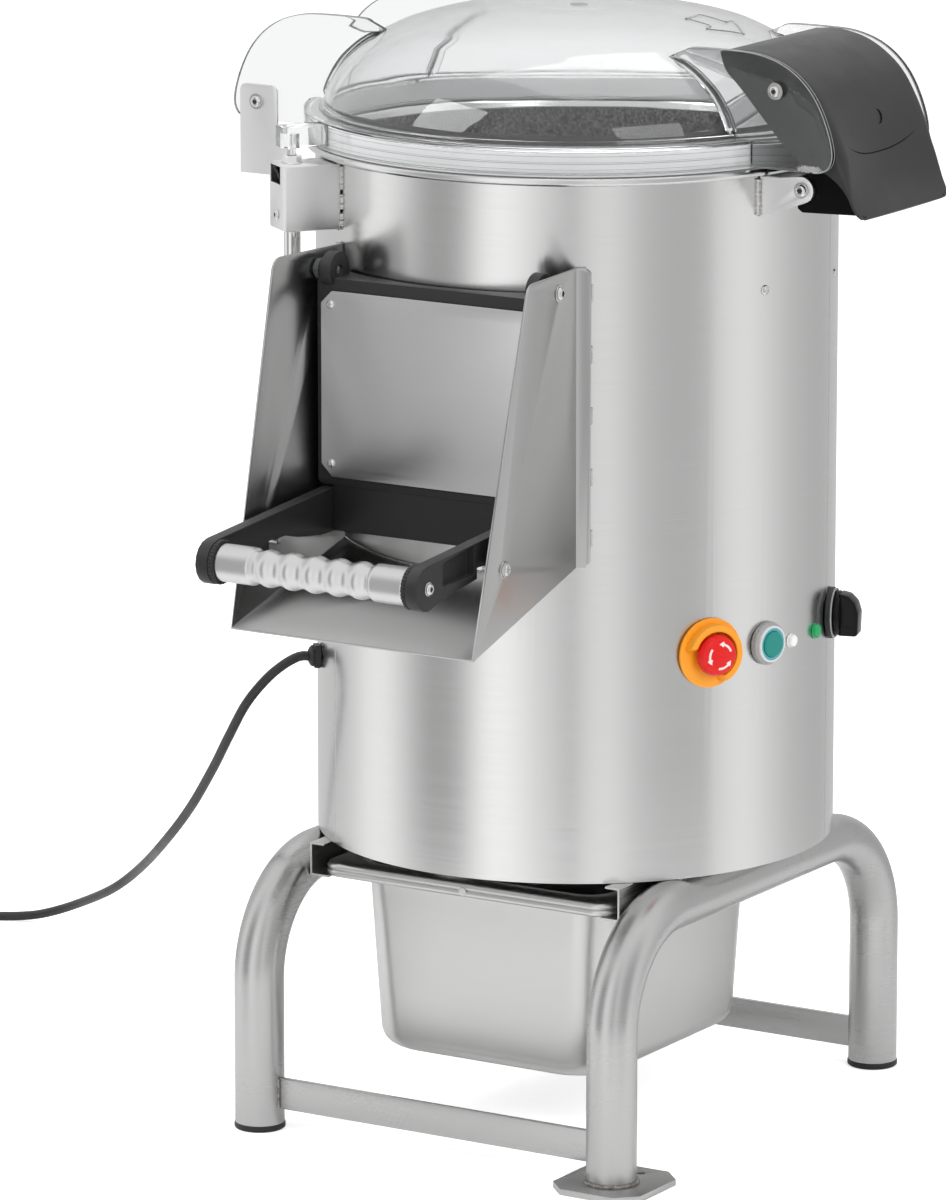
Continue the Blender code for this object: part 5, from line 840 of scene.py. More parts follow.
def floor_finish(colour):
    """Pale floor that keeps a soft shadow; far off it lets reflections see the studio."""
    tree, shader, place = finish_of("Floor", colour, 0.9)
    out = next(n for n in tree.nodes if n.type == "OUTPUT_MATERIAL")
    ray = node(tree, "ShaderNodeLightPath")
    white = node(tree, "ShaderNodeEmission", {"Color": (1, 1, 1, 1), "Strength": 0.60})
    lit = node(tree, "ShaderNodeAddShader", {0: shader.outputs[0], 1: white.outputs[0]})
    lit = node(tree, "ShaderNodeMixShader", {0: ray.outputs["Is Camera Ray"], 1: shader.outputs[0],
                                             2: lit.outputs[0]})
    distance = node(tree, "ShaderNodeVectorMath", {0: place}, operation="LENGTH").outputs["Value"]
    far = spread(tree, distance, 0.75, 1.3, 0.0, 1.0)
    gone = node(tree, "ShaderNodeBsdfTransparent")
    share = times(tree, ray.outputs["Is Glossy Ray"], far)
    lit = node(tree, "ShaderNodeMixShader", {0: share, 1: lit.outputs[0], 2: gone.outputs[0]})
    tree.links.new(lit.outputs[0], out.inputs[0])


def lamp(name, place, target, size, power):
    """A square area lamp that looks at a point."""
    data = bpy.data.lights.new(name, "AREA")
    data.size = size
    data.energy = power
    obj = bpy.data.objects.new(name, data)
    obj.location = place
    obj.rotation_mode = "QUATERNION"
    obj.rotation_quaternion = (Vector(target) - Vector(place)).to_track_quat("-Z", "Y")
    obj.visible_glossy = False
    bpy.context.scene.collection.objects.link(obj)


class PEELER_OT_stage(bpy.types.Operator):
    """Set up the camera, the pale floor and the soft studio light"""

    bl_idname = "peeler.stage"
    bl_label = "Studio"

    def execute(self, context):
        own = context.scene.peeler_stage
        data = bpy.data.cameras.new("Camera")
        data.lens = own.lens
        data.sensor_width = 36.0
        data.clip_start, data.clip_end = 0.1, 400.0
        data.dof.use_dof = False
        camera = bpy.data.objects.new("Camera", data)
        camera.location = (3.8809, -6.3936, 2.1546)
        camera.rotation_mode = "QUATERNION"
        camera.rotation_quaternion = Vector((-0.51375, 0.83085, -0.21388)).to_track_quat("-Z", "Y")
        context.scene.collection.objects.link(camera)
        context.scene.camera = camera
        context.scene.view_settings.view_transform = "Standard"
        studio_world(own.sky)
        floor_finish(tuple(own.floor))
        reach = np.array((0.0, 0.02, 0.1, 0.4, 1.0)) * own.floor_size
        disc = turn(np.column_stack((reach, np.full(5, -0.0004))), Frame(-AXIS, *upright()[1:]), 96)
        floor = new_object("Floor", shells_mesh("Floor", [disc]))
        floor.data.materials.append(bpy.data.materials["Floor"])
        lamp("Key", (-2.6, -3.4, 3.6), (0, 0, 0.5), 2.4, own.key)
        lamp("Fill", (3.6, -1.6, 2.4), (0, 0, 0.5), 2.2, own.fill)
        lamp("Top", (0.2, 0.4, 4.0), (0, 0, 0.5), 2.6, own.fill)
        return {"FINISHED"}


CORD_ROUTE = (
    (-0.2045, -0.1809, 0.4517), (-0.2160, -0.1905, 0.4440), (-0.2312, -0.1985, 0.4290),
    (-0.2529, -0.2010, 0.4025), (-0.2826, -0.1865, 0.3639), (-0.3224, -0.1570, 0.3187),
    (-0.3823, -0.1070, 0.2620), (-0.4607, -0.0356, 0.2026), (-0.5941, 0.1154, 0.1240),
    (-0.6752, 0.1822, 0.0760), (-0.7681, 0.2482, 0.0320), (-0.8200, 0.2655, 0.0115),
    (-0.8480, 0.2620, 0.0056), (-0.8740, 0.2490, CORD), (-0.9020, 0.2290, CORD),
)
COIL = np.array((-0.9108, 0.1516))
COIL_RADIUS = 0.060
COIL_START = math.radians(121.7)
COIL_LOWER = 1.5
COIL_UPPER = 1.0
COIL_PITCH = 2 * CORD + 0.0011
COIL_LIFT = 2 * CORD + 0.0006
COIL_SWERVE = 0.0012
COIL_LEAD = 0.075
COIL_STEPS = 96
PLUG = 0.0188
PLUG_BODY = 0.034
PLUG_NECK = 0.022
TIE_WIDTH = 0.008
TIE = 0.0009


def ease(u):
    return u * u * (3 - 2 * u)


def coil_line():
    """Spare cord: a spiral wound in by one pitch a turn, a half turn up to the next layer, a spiral
    wound out on top, then a straight lead to the plug that rises to the plug's axis."""
    full = 2 * np.pi
    first = COIL_LOWER * full
    second = first + np.pi
    last = second + COIL_UPPER * full
    a = np.linspace(0, last, int(last / full * COIL_STEPS) + 1)
    inner = COIL_RADIUS - COIL_PITCH * COIL_LOWER
    u = np.clip((a - first) / np.pi, 0, 1)
    radius = np.where(a <= first, COIL_RADIUS - COIL_PITCH * a / full,
                      np.where(a <= second, inner - COIL_SWERVE * np.sin(np.pi * u),
                               inner + COIL_PITCH * (a - second) / full))
    angle = COIL_START + a
    coil = np.stack((COIL[0] + radius * np.cos(angle), COIL[1] + radius * np.sin(angle),
                     CORD + COIL_LIFT * ease(u)), -1)
    heading = unit(coil[-1] - coil[-2])
    u = np.linspace(0, 1, 16)[1:, None]
    lead = coil[-1] + heading * COIL_LEAD * u + UP * (PLUG + HAIR - coil[-1, 2]) * ease(u)
    flat = unit(heading * (1, 1, 0))
    return coil, np.vstack((coil, lead, lead[-1:] + flat * 2 * CORD)), flat


def tie_loop(coil, angle):
    """A band round the turns that pass one angle of the coil: a rounded box in the plane of the
    coil's own radius there."""
    out = np.array((math.cos(angle), math.sin(angle), 0.0))
    side = np.array((-math.sin(angle), math.cos(angle), 0.0))
    centre = np.array((*COIL, 0.0))
    away = coil - centre
    near = (np.abs(away @ side) < 0.004) & (away @ out > 0)
    reach = away[near] @ out
    high = coil[near, 2].max() + CORD
    low, far = reach.min() - CORD, reach.max() + CORD
    step = low + 2 * CORD + 0.004
    line = soft(((low, TIE / 2 + HAIR), (far, TIE / 2 + HAIR), (far, CORD), (far - 0.002, 2 * CORD),
                 (step, high), (low, high)), 0.004, 5)
    path = centre + line[:, 0:1] * out + line[:, 1:2] * UP
    band = soft(oblong(-TIE / 2, TIE / 2, -TIE_WIDTH / 2, TIE_WIDTH / 2), 0.0003, 2)
    head = aimed(centre + out * (far + 0.002) + UP * 2 * CORD, side)
    lock = plate(soft(oblong(-0.0035, 0.0035, -0.003, 0.003), 0.001), -0.006, 0.006, head, 0.0006)
    return [sweep(path, band, side, loop=True), lock]


class PEELER_OT_cord(bpy.types.Operator):
    """Lay the mains cord from its gland to the floor, wind up its spare length and add its plug"""

    bl_idname = "peeler.cord"
    bl_label = "Mains cord"

    def execute(self, context):
        coil, wound, heading = coil_line()
        start = outward(GLAND_AT) * (DRUM + HAIR + 0.0115 + HAIR) + UP * GLAND_HEIGHT
        into = unit(coil[1] - coil[0]) * (1, 1, 0)
        route = np.vstack((start, CORD_ROUTE, coil[0] - into * 0.0095))
        line = spline(np.vstack((route, wound[:1])), 10)
        free = even(line, 240)
        path = np.vstack((free[:-1], wound))
        obj = piece("mains_cord", [pipe(path, CORD, 20)], "Cord black", "machine",
                    ("power_cord", "cord_coil"))
        end = aimed(wound[-1] + heading * HAIR, heading)
        n, b = PLUG_NECK, PLUG_NECK + PLUG_BODY
        ribs = np.linspace(0.0, n, 45)
        taper = CORD + 0.0011 + (0.0085 - CORD - 0.0011) * (ribs / n) ** 1.3
        ribbed = (ribs > 0.002) & (ribs < n - 0.003)
        taper += np.where(ribbed, 0.00045 * np.cos(ribs / n * 2 * np.pi * 7), 0)
        body = soft(((0.0085, n), (0.0150, n + 0.0043), (PLUG, n + PLUG_BODY / 3), (PLUG, b), (0.0, b)),
                    0.004, 6, False)
        profile = np.vstack(((0.0, 0.0), np.stack((taper, ribs), -1), body[1:]))
        pins = [turn(((0, b - 0.001), (0.0024, b - 0.001), (0.0024, b + 0.017), (0.0016, b + 0.019),
                      (0, b + 0.019)), aimed(end.origin + end.right * side * 0.0095, heading), 24)
                for side in SIDES]
        plug = piece("mains_plug", [turn(profile, end, 64)], "Cord black", "machine", ("power_plug",))
        pin_obj = piece("plug_pins", pins, "Bright steel", "machine")
        tie = piece("cord_tie", tie_loop(coil, COIL_START + math.radians(100)), "Cable tie", "machine")
        return {"FINISHED"}


def drum_profile():
    """The sheet's outer side, a rolled rim of one circle, and back down the inner side."""
    bead_line = arc(BEAD_AXIS, DRUM_HIGH, BEAD, 205, 495, 40)
    inside = DRUM - DRUM_WALL
    return np.vstack(((DRUM, DRUM_LOW), (DRUM, DRUM_HIGH - 0.004), (DRUM + 0.0003, DRUM_HIGH - 0.0024),
                      bead_line, (inside + 0.0008, DRUM_HIGH + 0.0031), (inside, DRUM_HIGH + 0.001),
                      (inside, DRUM_LOW)))


def opening():
    """The discharge opening as a plate that reaches through the drum's front."""
    line = soft(oblong(-0.100, 0.100, 0.609, 0.824), 0.018, 8)
    return plate(line, 0.18, 0.27, facing_y(0.0), 0.0)


def seam(azimuth, low, high):
    """A dressed weld along the drum: a strip one arc high whose middle stands a hair proud."""
    z = np.linspace(low, high, 60)
    a = np.linspace(-1, 1, 7)
    place = wall(azimuth, 0.0)
    out = 0.00022 * (1 - a ** 2) + 0.00005 * np.sin(z * 900.0)[:, None] * (1 - a ** 2) - 0.0001
    top = place.origin + place.right * (a * 0.0016)[None, :, None] + place.out * out[..., None]
    top = top + UP * z[:, None, None]
    back = top - place.out * 0.0006
    return Shell(np.concatenate((top, back[:, ::-1]), 1), True, "flat")


def pan_head(place, radius, height, steps=32):
    """A domed screw head with a cross recess pressed in: depth grows within two crossed bars."""
    s = np.linspace(0, np.pi / 2, 12)
    t = round_angles(steps)
    r = radius * np.sin(s)[:, None] * np.ones(steps)
    x, y = r * np.cos(t), r * np.sin(t)
    bar = radius * 0.13
    inside = ((np.abs(x) < bar) | (np.abs(y) < bar)) & (r < radius * 0.6)
    z = height * (0.25 + 0.75 * np.cos(s)[:, None]) - np.where(inside, height * 0.3, 0.0)
    cap = np.stack((x, y, z), -1)
    skirt = np.stack((x[-1:], y[-1:], np.zeros((1, steps))), -1)
    return Shell(put(np.concatenate((cap, skirt)), place), True, "open")


class PEELER_OT_drum(bpy.types.Operator):
    """Turn the steel drum with its rolled rim and opening, its seams and its lining"""

    bl_idname = "peeler.drum"
    bl_label = "Drum"

    def execute(self, context):
        steps = context.scene.peeler.drum_steps
        bores = [turn(can(radius, -0.012, 0.004), wall(azimuth, CONTROL_HEIGHT), 48)
                 for azimuth, radius in ((STOP_AT, STOP_BORE), (START_AT, START_BORE))]
        piece("drum", [turn(drum_profile(), upright(), steps, closed=True)], "Brushed drum", "machine",
              ("drum_shell",), cuts=(opening(), *bores), angle=40)
        piece("drum_seams", [seam(104.5, DRUM_LOW + 0.002, DRUM_HIGH - 0.006),
                             seam(-35.9, DRUM_LOW + 0.002, 0.545)], "Weld", "machine")
        inlet = turn(can(0.0112, -0.02, 0.01), wall(INLET_AT, INLET_HEIGHT), 48)
        piece("chamber_lining", [hoop(upright(), 0.2462, 0.2502, 0.5923, 0.947, 0.001, steps)],
              "Chamber grit", "machine", ("wall_liner",), cuts=(opening(), inlet), angle=40)
        screws = [pan_head(wall(a, z), 0.0048, 0.0022) for a, z in ((75.7, 0.8363), (109.9, 0.8307))]
        piece("body_screws", screws, "Bright steel", "machine")
        return {"FINISHED"}


def arch_line(x):
    """Up one leg, round a quarter circle, along the top and down the other leg."""
    top, r, low, straight = 0.25255, 0.105, 0.0063, 0.09
    a = np.radians(np.linspace(0, 90, 26))
    front = np.stack((LEG_FRONT + r * (1 - np.cos(a)), top - r + r * np.sin(a)), -1)
    rear = np.stack((LEG_REAR - r * (1 - np.cos(a[::-1])), top - r + r * np.sin(a[::-1])), -1)
    line = np.vstack(((LEG_FRONT, low), (LEG_FRONT, straight), front, rear, (LEG_REAR, straight),
                      (LEG_REAR, low)))
    return np.column_stack((np.full(len(line), x), line))


def ring_bead(place, radius, width, pitch):
    """A weld round a tube: a bead carried along a circle in the frame's own plane."""
    a = np.radians(np.linspace(0, 360, 90))
    path = put(np.stack((radius * np.cos(a), radius * np.sin(a), np.zeros(90)), -1), place)
    return bead(path, width, pitch, place.out)


class PEELER_OT_stand(bpy.types.Operator):
    """Bend the two tube arches and weld on their bars, plates and caps"""

    bl_idname = "peeler.stand"
    bl_label = "Stand"

    def execute(self, context):
        steps = context.scene.peeler.round_steps
        side_up = np.array((1.0, 0.0, 0.0))
        for side, name in zip(SIDES, ("left", "right")):
            piece(f"{name}_arch_tube", [pipe(arch_line(side * LEG_X), LEG_TUBE, steps, side_up)],
                  "Satin tube", "machine", (f"{name}_arch",), angle=50)
        softened_copies("Satin tube", "machine", ("front_cross_bar", "front_bar", 0.0012),
                        ("rear_cross_bar", "rear_bar", 0.0012),
                        ("front_anchor_plate", "anchor_plate_front", 0.0006),
                        ("rear_anchor_plate", "anchor_plate_rear", 0.0006))
        cap = soft(((0.0, 0.0), (LEG_TUBE - 0.0006, 0.0), (LEG_TUBE + 0.0008, 0.0012),
                    (LEG_TUBE + 0.0008, 0.0052), (LEG_TUBE - 0.0004, 0.0062), (LEG_TUBE - 0.003, 0.0062),
                    (LEG_TUBE - 0.003, 0.027), (0, 0.027)), 0.0008, 3, False)
        seams = []
        for side, y, name in ((-1, LEG_FRONT, "front_left"), (1, LEG_REAR, "rear_right")):
            piece(f"{name}_foot_cap", [turn(cap, upright(side * LEG_X, y), steps)], "Black plastic",
                  "machine", (f"foot_cap_{name}",))
        for side, y in ((1, LEG_FRONT), (-1, LEG_REAR)):
            seams.append(ring_bead(upright(side * LEG_X, y, 0.0072), LEG_TUBE + 0.0006, 0.0024, 0.0032))
        for side in SIDES:
            for y, low in ((LEG_FRONT, 0.022), (LEG_REAR, 0.015)):
                for shift in (-0.0036, 0.0036):
                    x = side * 0.1748
                    seams.append(bead(((x, y + shift, low + 0.001), (x, y + shift, low + 0.030)),
                                      0.0018, 0.003, side_up))
        piece("stand_welds", seams, "Burnt weld", "machine")
        patches = []
        for side in SIDES:
            for y in (-0.135, -0.045, 0.045, 0.135):
                x = side * (LEG_X + 0.004)
                patches.append(bead(((x, y - 0.012, 0.2772), (x, y + 0.012, 0.2772)), 0.0022, 0.0032))
        piece("tube_top_welds", patches, "Weld", "machine")
        piece("left_rail", [rail_line(-1)], "Sheet steel", "machine", ("pan_rail_left",))
        piece("right_rail", [rail_line(1)], "Sheet steel", "machine", ("pan_rail_right",))
        return {"FINISHED"}


def rail_line(side):
    """A channel of sheet as a closed outline in XZ, drawn out along Y."""
    outer, low, top, t = 0.1742, 0.2437, 0.2767, 0.002
    line = np.array(((outer, top), (outer - 0.016, top), (outer - 0.016, top - t), (outer - t, top - t),
                     (outer - t, low + t), (outer - 0.0214, low + t), (outer - 0.0214, low), (outer, low)))
    line = soft(line * (side, 1), 0.0012, 3)
    return plate(line, 0.209, -0.172, facing_y(0.0), 0.0)


def rounded_ring(half_x, half_y, corner, height):
    """A level rectangle with round corners, as points at the same shares for every size."""
    t = np.arange(4)[:, None] * np.pi / 2 + np.linspace(0, np.pi / 2, 14)
    x = np.array((1, -1, -1, 1))[:, None] * (half_x - corner) + corner * np.cos(t)
    y = np.array((1, 1, -1, -1))[:, None] * (half_y - corner) + corner * np.sin(t)
    return np.stack((x.ravel(), y.ravel(), np.full(x.size, height)), -1)


PAN_FRONT = -0.209


class PEELER_OT_pan(bpy.types.Operator):
    """Press the waste pan: a loft of rounded rectangles with a rolled rim, a step and a soft floor"""

    bl_idname = "peeler.pan"
    bl_label = "Waste pan"

    def execute(self, context):
        half_x, half_y, top, bottom, floor_r = 0.1625, 0.177, 0.2575, 0.0690, 0.018
        arcs = np.radians(np.linspace(0, 90, 9))
        steps = [(0.0022, top - 0.0113, 0.020), (0.0008, top - 0.0113, 0.020), (0.0, top - 0.0103, 0.020),
                 (0.0, top - 0.0078, 0.020), (0.0009, top - 0.0066, 0.020), (0.0013, top - 0.0058, 0.020),
                 (0.0004, top - 0.0045, 0.020), (0.0, top - 0.0032, 0.020), (0.0008, top - 0.0012, 0.020),
                 (0.0026, top, 0.020), (0.0225, top, 0.026), (0.0246, top - 0.0007, 0.028),
                 (0.0260, top - 0.0025, 0.029), (0.0266, top - 0.006, 0.030), (0.0272, top - 0.030, 0.032),
                 (0.0285, top - 0.070, 0.034), (0.0302, top - 0.115, 0.036),
                 (0.0325, bottom + floor_r, 0.038)]
        inset = 0.0325 + floor_r * (1 - np.cos(arcs[1:]))
        height = bottom + floor_r * (1 - np.sin(arcs[1:]))
        steps += [(i, z, 0.040) for i, z in zip(inset, height)]
        steps += [(0.070, bottom, 0.040), (0.120, bottom, 0.030)]
        rings = [rounded_ring(half_x - i, half_y - i, c, z) for i, z, c in steps]
        grid = np.stack((*rings, rings[-1] * 0.0 + (0.0, 0.0, bottom))) + (0.0, PAN_FRONT + half_y, 0.0)
        obj = new_object("pressed_pan", shells_mesh("pressed_pan", [Shell(grid, True, "open")]))
        lowest = min(obj.data.polygons, key=lambda f: f.center.z)
        walled(obj, 0.0009, lowest.normal.z < 0)
        dress(obj, "pressed_pan", "Pan steel", "pan", ("waste_pan",), 50)
        pip = soft(((0.0, 0.0012), (0.0040, 0.0012), (0.0044, 0.0), (0.0, 0.0)), 0.0003, 2, False)
        piece("pan_sticker", [turn(pip, facing_y(PAN_FRONT - 0.0005, z=0.2505), 32)], "Pale ring", "pan")
        return {"FINISHED"}


FLANGE_X = 0.1425
FLANGE_LOW = 0.5850
FLANGE_HIGH = 0.8700
FLANGE_CORNER = 0.009
REST_PIN = (-0.355, 0.608)
SPLAY_FROM = -0.2096
SPLAY_LOW = 0.0203
SPLAY_GROWTH = 0.22


def splay(y, z):
    """How far a chute wall leans out at a place: its lean grows with height and with reach."""
    lean = SPLAY_LOW + SPLAY_GROWTH * (z - 0.53)
    return np.maximum(SPLAY_FROM - y, 0.0) * lean, lean


def on_chute(side, y, z):
    """A frame on the outer face of one chute wall, square to its lean."""
    out, lean = splay(y, z)
    return aimed((side * (0.1302 + out), y, z), (side, lean, 0.0))


class PEELER_OT_chute(bpy.types.Operator):
    """Fold the discharge chute and add its welds, bolts and pins"""

    bl_idname = "peeler.chute"
    bl_label = "Discharge chute"

    def execute(self, context):
        sheet = softened("chute_sheet", "discharge_chute", 0.0004, 2)
        spots = np.empty(len(sheet.data.vertices) * 3)
        sheet.data.vertices.foreach_get("co", spots)
        local = spots.reshape(-1, 3) - AXIS
        local[:, 0] *= 1 + splay(local[:, 1], local[:, 2])[0] / CHUTE_X
        sheet.data.vertices.foreach_set("co", (local + AXIS).ravel())
        sheet.data.update()
        corners = []
        round_x, round_z = arc(0.0, 0.0, FLANGE_CORNER, 0, 90, 12).T
        inner, past = FLANGE_X - FLANGE_CORNER, 0.002
        for side in SIDES:
            for z, up in ((FLANGE_HIGH, 1), (FLANGE_LOW, -1)):
                rounded = np.column_stack((inner + round_x, z - up * (FLANGE_CORNER - round_z)))
                tip = np.array(((inner, z + up * past), (FLANGE_X + past, z + up * past),
                                (FLANGE_X + past, z - up * FLANGE_CORNER)))
                corners.append(plate(np.vstack((rounded, tip)) * (side, 1), 0.2085, 0.2140, facing_y(0.0),
                                     0.0))
        cut_away(sheet, corners)
        dress(sheet, "chute_sheet", "Chute steel", "machine", ("discharge_chute",))
        welds = []
        for side in SIDES:
            x = side * 0.1424
            y = -math.sqrt(0.2535 ** 2 - x ** 2) + 0.0002
            for z in np.linspace(0.612, 0.846, 5):
                welds.append(bead(((x, y, z - 0.008), (x, y, z + 0.008)), 0.0011, 0.0024, (0, 1, 0)))
        a = np.radians(np.linspace(-29, 29, 60))
        reach = 0.2545 * np.cos(a)
        floor_line = np.stack((0.2545 * np.sin(a), -reach, 0.585 - (reach - 0.2185) * 0.286), -1)
        welds.append(bead(floor_line, 0.0016, 0.0028))
        piece("chute_welds", welds, "Weld", "machine")
        bolts, shanks, rests, rods = [], [], [], []
        for side in SIDES:
            bolt, rest = on_chute(side, *DOOR_AXIS), on_chute(side, *REST_PIN)
            far = abs(bolt.origin[0]) + 0.0005
            shanks += [turn(can(0.0038, 0.1092, far), across(0.0, side, *DOOR_AXIS), 24),
                       washer(bolt, 0.0036, 0.0082, 0.0010)]
            bolts.append(raised(bolt, 0.0010))
            far = abs(rest.origin[0]) + 0.0005
            grooves = np.linspace(0.1222, far, 40)
            thread = np.stack((0.0037 + 0.0003 * np.cos(grooves * 2 * np.pi / 0.00125), grooves), -1)
            rods += [turn(np.vstack(((0.0, 0.1222), thread, (0.0, far))), across(0.0, side, *REST_PIN), 24),
                     washer(rest, 0.0038, 0.0084, 0.0010)]
            rests.append(raised(rest, 0.0010))
        socket_screws("door_hinge_bolts", "machine", bolts, 0.0066, 0.0036, shanks,
                      ("door_hinge_bolt_left", "door_hinge_bolt_right"))
        socket_screws("arm_rest_pins", "machine", rests, 0.0064, 0.0036, rods)
        return {"FINISHED"}


KNUCKLE = 0.0175
KNUCKLE_IN = 0.1075
KNUCKLE_OUT = 0.1195


class PEELER_OT_door(bpy.types.Operator):
    """Make the discharge door: its black frame, bare steel cover and screws"""

    bl_idname = "peeler.door"
    bl_label = "Discharge door"

    def execute(self, context):
        softened_copies("Black plastic", "door", ("door_moulding", "door_frame", 0.0010))
        line = np.array(((-0.108, 0.655), (0.108, 0.655), (0.120, 0.667), (0.120, 0.822), (0.108, 0.834),
                         (-0.108, 0.834), (-0.120, 0.822), (-0.120, 0.667)))
        cover = plate(soft(line, 0.003, 4), 0.2683, 0.2701, facing_y(0.0), 0.0005)
        piece("door_cover_plate", [cover], "Door cover", "door", ("door_cover",))
        screws = [pan_head(facing_y(-0.2701, -1, x, z), 0.0042, 0.0020, 28)
                  for x in (-0.109, 0.109) for z in (0.668, 0.821)]
        piece("cover_screws", screws, "Bright steel", "door")
        spacers, knuckles = [], []
        for side in SIDES:
            line = across(0.0, side, *DOOR_AXIS)
            spacers.append(hex_nut(raised(line, KNUCKLE_OUT + 0.0002), 0.0185, 0.0118, 0.0044))
            knuckles.append(hoop(line, 0.0044, KNUCKLE, KNUCKLE_IN, KNUCKLE_OUT, 0.0009, 72))
        piece("hinge_spacers", spacers, "Spacer grey", "door")
        piece("hinge_knuckles", knuckles, "Black plastic", "door")
        return {"FINISHED"}


def grip_profile():
    """A bar of radius 18 mm whose middle part dips 3 mm once every 25 mm."""
    x = np.linspace(-0.1015, 0.1015, 240)
    ribbed, depth = 0.0625, 0.0030
    dip = (1 - np.cos(2 * np.pi * (x + ribbed) / 0.025)) / 2
    edge = np.abs(np.abs(x) - ribbed)
    radius = np.where(np.abs(x) < ribbed, 0.0150 + depth * dip, 0.018 - depth * np.exp(-(edge / 0.0030) ** 2))
    line = np.stack((radius, x), -1)
    return np.vstack(((0.0, -0.1027), (0.0174, -0.1027), line, (0.0174, 0.1027), (0.0, 0.1027)))


class PEELER_OT_handle(bpy.types.Operator):
    """Mould the handle's two channel arms and ribbed hubs, and turn its grip"""

    bl_idname = "peeler.handle"
    bl_label = "Door handle"

    def execute(self, context):
        softened_copies("Black plastic", "door", ("left_handle_arm", "handle_arm_left", 0.0007),
                        ("right_handle_arm", "handle_arm_right", 0.0007))
        piece("handle_grip", [turn(grip_profile(), across(0.0, 1, *GRIP_AXIS), 96)], "Grip aluminium",
              "door", ("handle_grip",), angle=60)
        t = round_angles(144)
        r = ribbed_rings((0.0185, 0.0199, 0.0207, 0.0207, 0.0196, 0.0180), (0, 1, 1, 1, 1, 0),
                         0.0004 * np.sign(np.cos(36 * t)))
        ribs = [polar(r, t, (0.0031, 0.0031, 0.0037, 0.0070, 0.0082, 0.0082),
                      across(side * 0.1, side, *GRIP_AXIS), "flat") for side in SIDES]
        piece("hub_ribs", ribs, "Black plastic", "door")
        faces = [across(side * 0.1211, side, *GRIP_AXIS) for side in SIDES]
        socket_screws("grip_screws", "door", faces, 0.0056, 0.0030, under=(0.003, 0.0066, 0.0007))
        return {"FINISHED"}


LID_BASE = 0.9592
LID_SHOULDER = 0.246
LID_BAND = 0.263
BAND_TOP = LID_BASE + 0.0245
LID_TOP = 1.0833
LID_WALL = 0.0035
LID_WASHER = (0.003, 0.0080, 0.0009)
DOME_R = np.array((0.0, 0.14, 0.28, 0.49, 0.655, 0.755, 0.835, 0.903, 0.943, 0.975, 0.992, 1.0))
DOME_Z = np.array((1.0, 0.9955, 0.982, 0.925, 0.83, 0.725, 0.61, 0.46, 0.33, 0.18, 0.06, 0.0))


def dome_line():
    """The dome's outer side: a smooth curve through shares of the shoulder's radius and height."""
    points = np.stack((DOME_R * LID_SHOULDER, BAND_TOP + DOME_Z * (LID_TOP - BAND_TOP)), -1)
    line = even(spline(points, 16), 90)
    line[0, 0] = 0.0
    return line


def lid_profile():
    """Outer dome, a step out to the band and down to its foot, then the same line a wall further in."""
    outer = dome_line()
    along = unit(np.gradient(outer, axis=0))
    normal = np.stack((along[:, 1], -along[:, 0]), -1)
    inner = outer + normal * LID_WALL
    inner[0] = (0.0, LID_TOP - LID_WALL)
    inner = inner[(inner[:, 1] > BAND_TOP - LID_WALL + 0.003) & (inner[:, 0] >= 0)]
    step = soft(((LID_SHOULDER + 0.0005, BAND_TOP + 0.004), (LID_SHOULDER + 0.001, BAND_TOP),
                 (LID_BAND, BAND_TOP), (LID_BAND, LID_BASE), (LID_BAND - LID_WALL, LID_BASE),
                 (LID_BAND - LID_WALL, BAND_TOP - LID_WALL), (LID_SHOULDER - 0.0032, BAND_TOP - LID_WALL),
                 inner[-1]), (0, 0.003, 0.004, 0.0008, 0.0008, 0.002, 0.002, 0), 5, False)
    body = outer[outer[:, 1] > BAND_TOP + 0.006]
    return np.vstack((body, step, inner[::-1][1:]))


WING_EDGE = np.array((
    (0.1741, 1.0632), (0.1830, 1.0661), (0.2160, 1.0666), (0.2450, 1.0658), (0.2640, 1.0624),
    (0.2810, 1.0562), (0.2970, 1.0460), (0.3105, 1.0322), (0.3200, 1.0170), (0.3275, 0.9995),
    (0.3320, 0.9830), (0.3325, 0.9715), (0.3285, 0.9630), (0.3205, 0.9586), (0.3120, 0.9577)))
WING_ROOT = 1.0568
WING_LOW = 0.9577
WING_Y = 0.092
# The first points of a rim's 90, which lie on the dome
RIM_SKIP = 6


def dome_radius(z):
    """The outer radius of the dome at a height."""
    line = dome_line()
    return np.interp(z, line[::-1, 1], line[::-1, 0])


def wing_edge():
    """A wing's free edge in XZ: a smooth curve from its root on the dome to its foot."""
    root = np.sqrt(dome_radius(WING_ROOT) ** 2 - WING_Y ** 2) - 0.0008
    return spline(np.vstack(((root, WING_ROOT), WING_EDGE)), 5)


def wing_rim(side):
    """The free edge in even steps, a hair inside it."""
    edge = even(wing_edge(), 90)
    along = unit(np.gradient(edge, axis=0))
    return (edge + np.stack((along[:, 1], -along[:, 0]), -1) * 0.0002) * (side, 1)


def wing_line(side):
    """A wing in XZ: its free edge, and the dome's own curve inside."""
    shelf = BAND_TOP - 0.0006
    foot = np.sqrt((LID_BAND - 0.0008) ** 2 - WING_Y ** 2)
    z = np.linspace(BAND_TOP + 0.004, WING_ROOT, 18)
    climb = np.stack((np.sqrt(dome_radius(z) ** 2 - WING_Y ** 2) - 0.0008, z), -1)
    line = np.vstack((wing_edge(), (foot, WING_LOW), (foot, shelf), (climb[0, 0] + 0.003, shelf), climb[:-1]))
    return line * (side, 1)


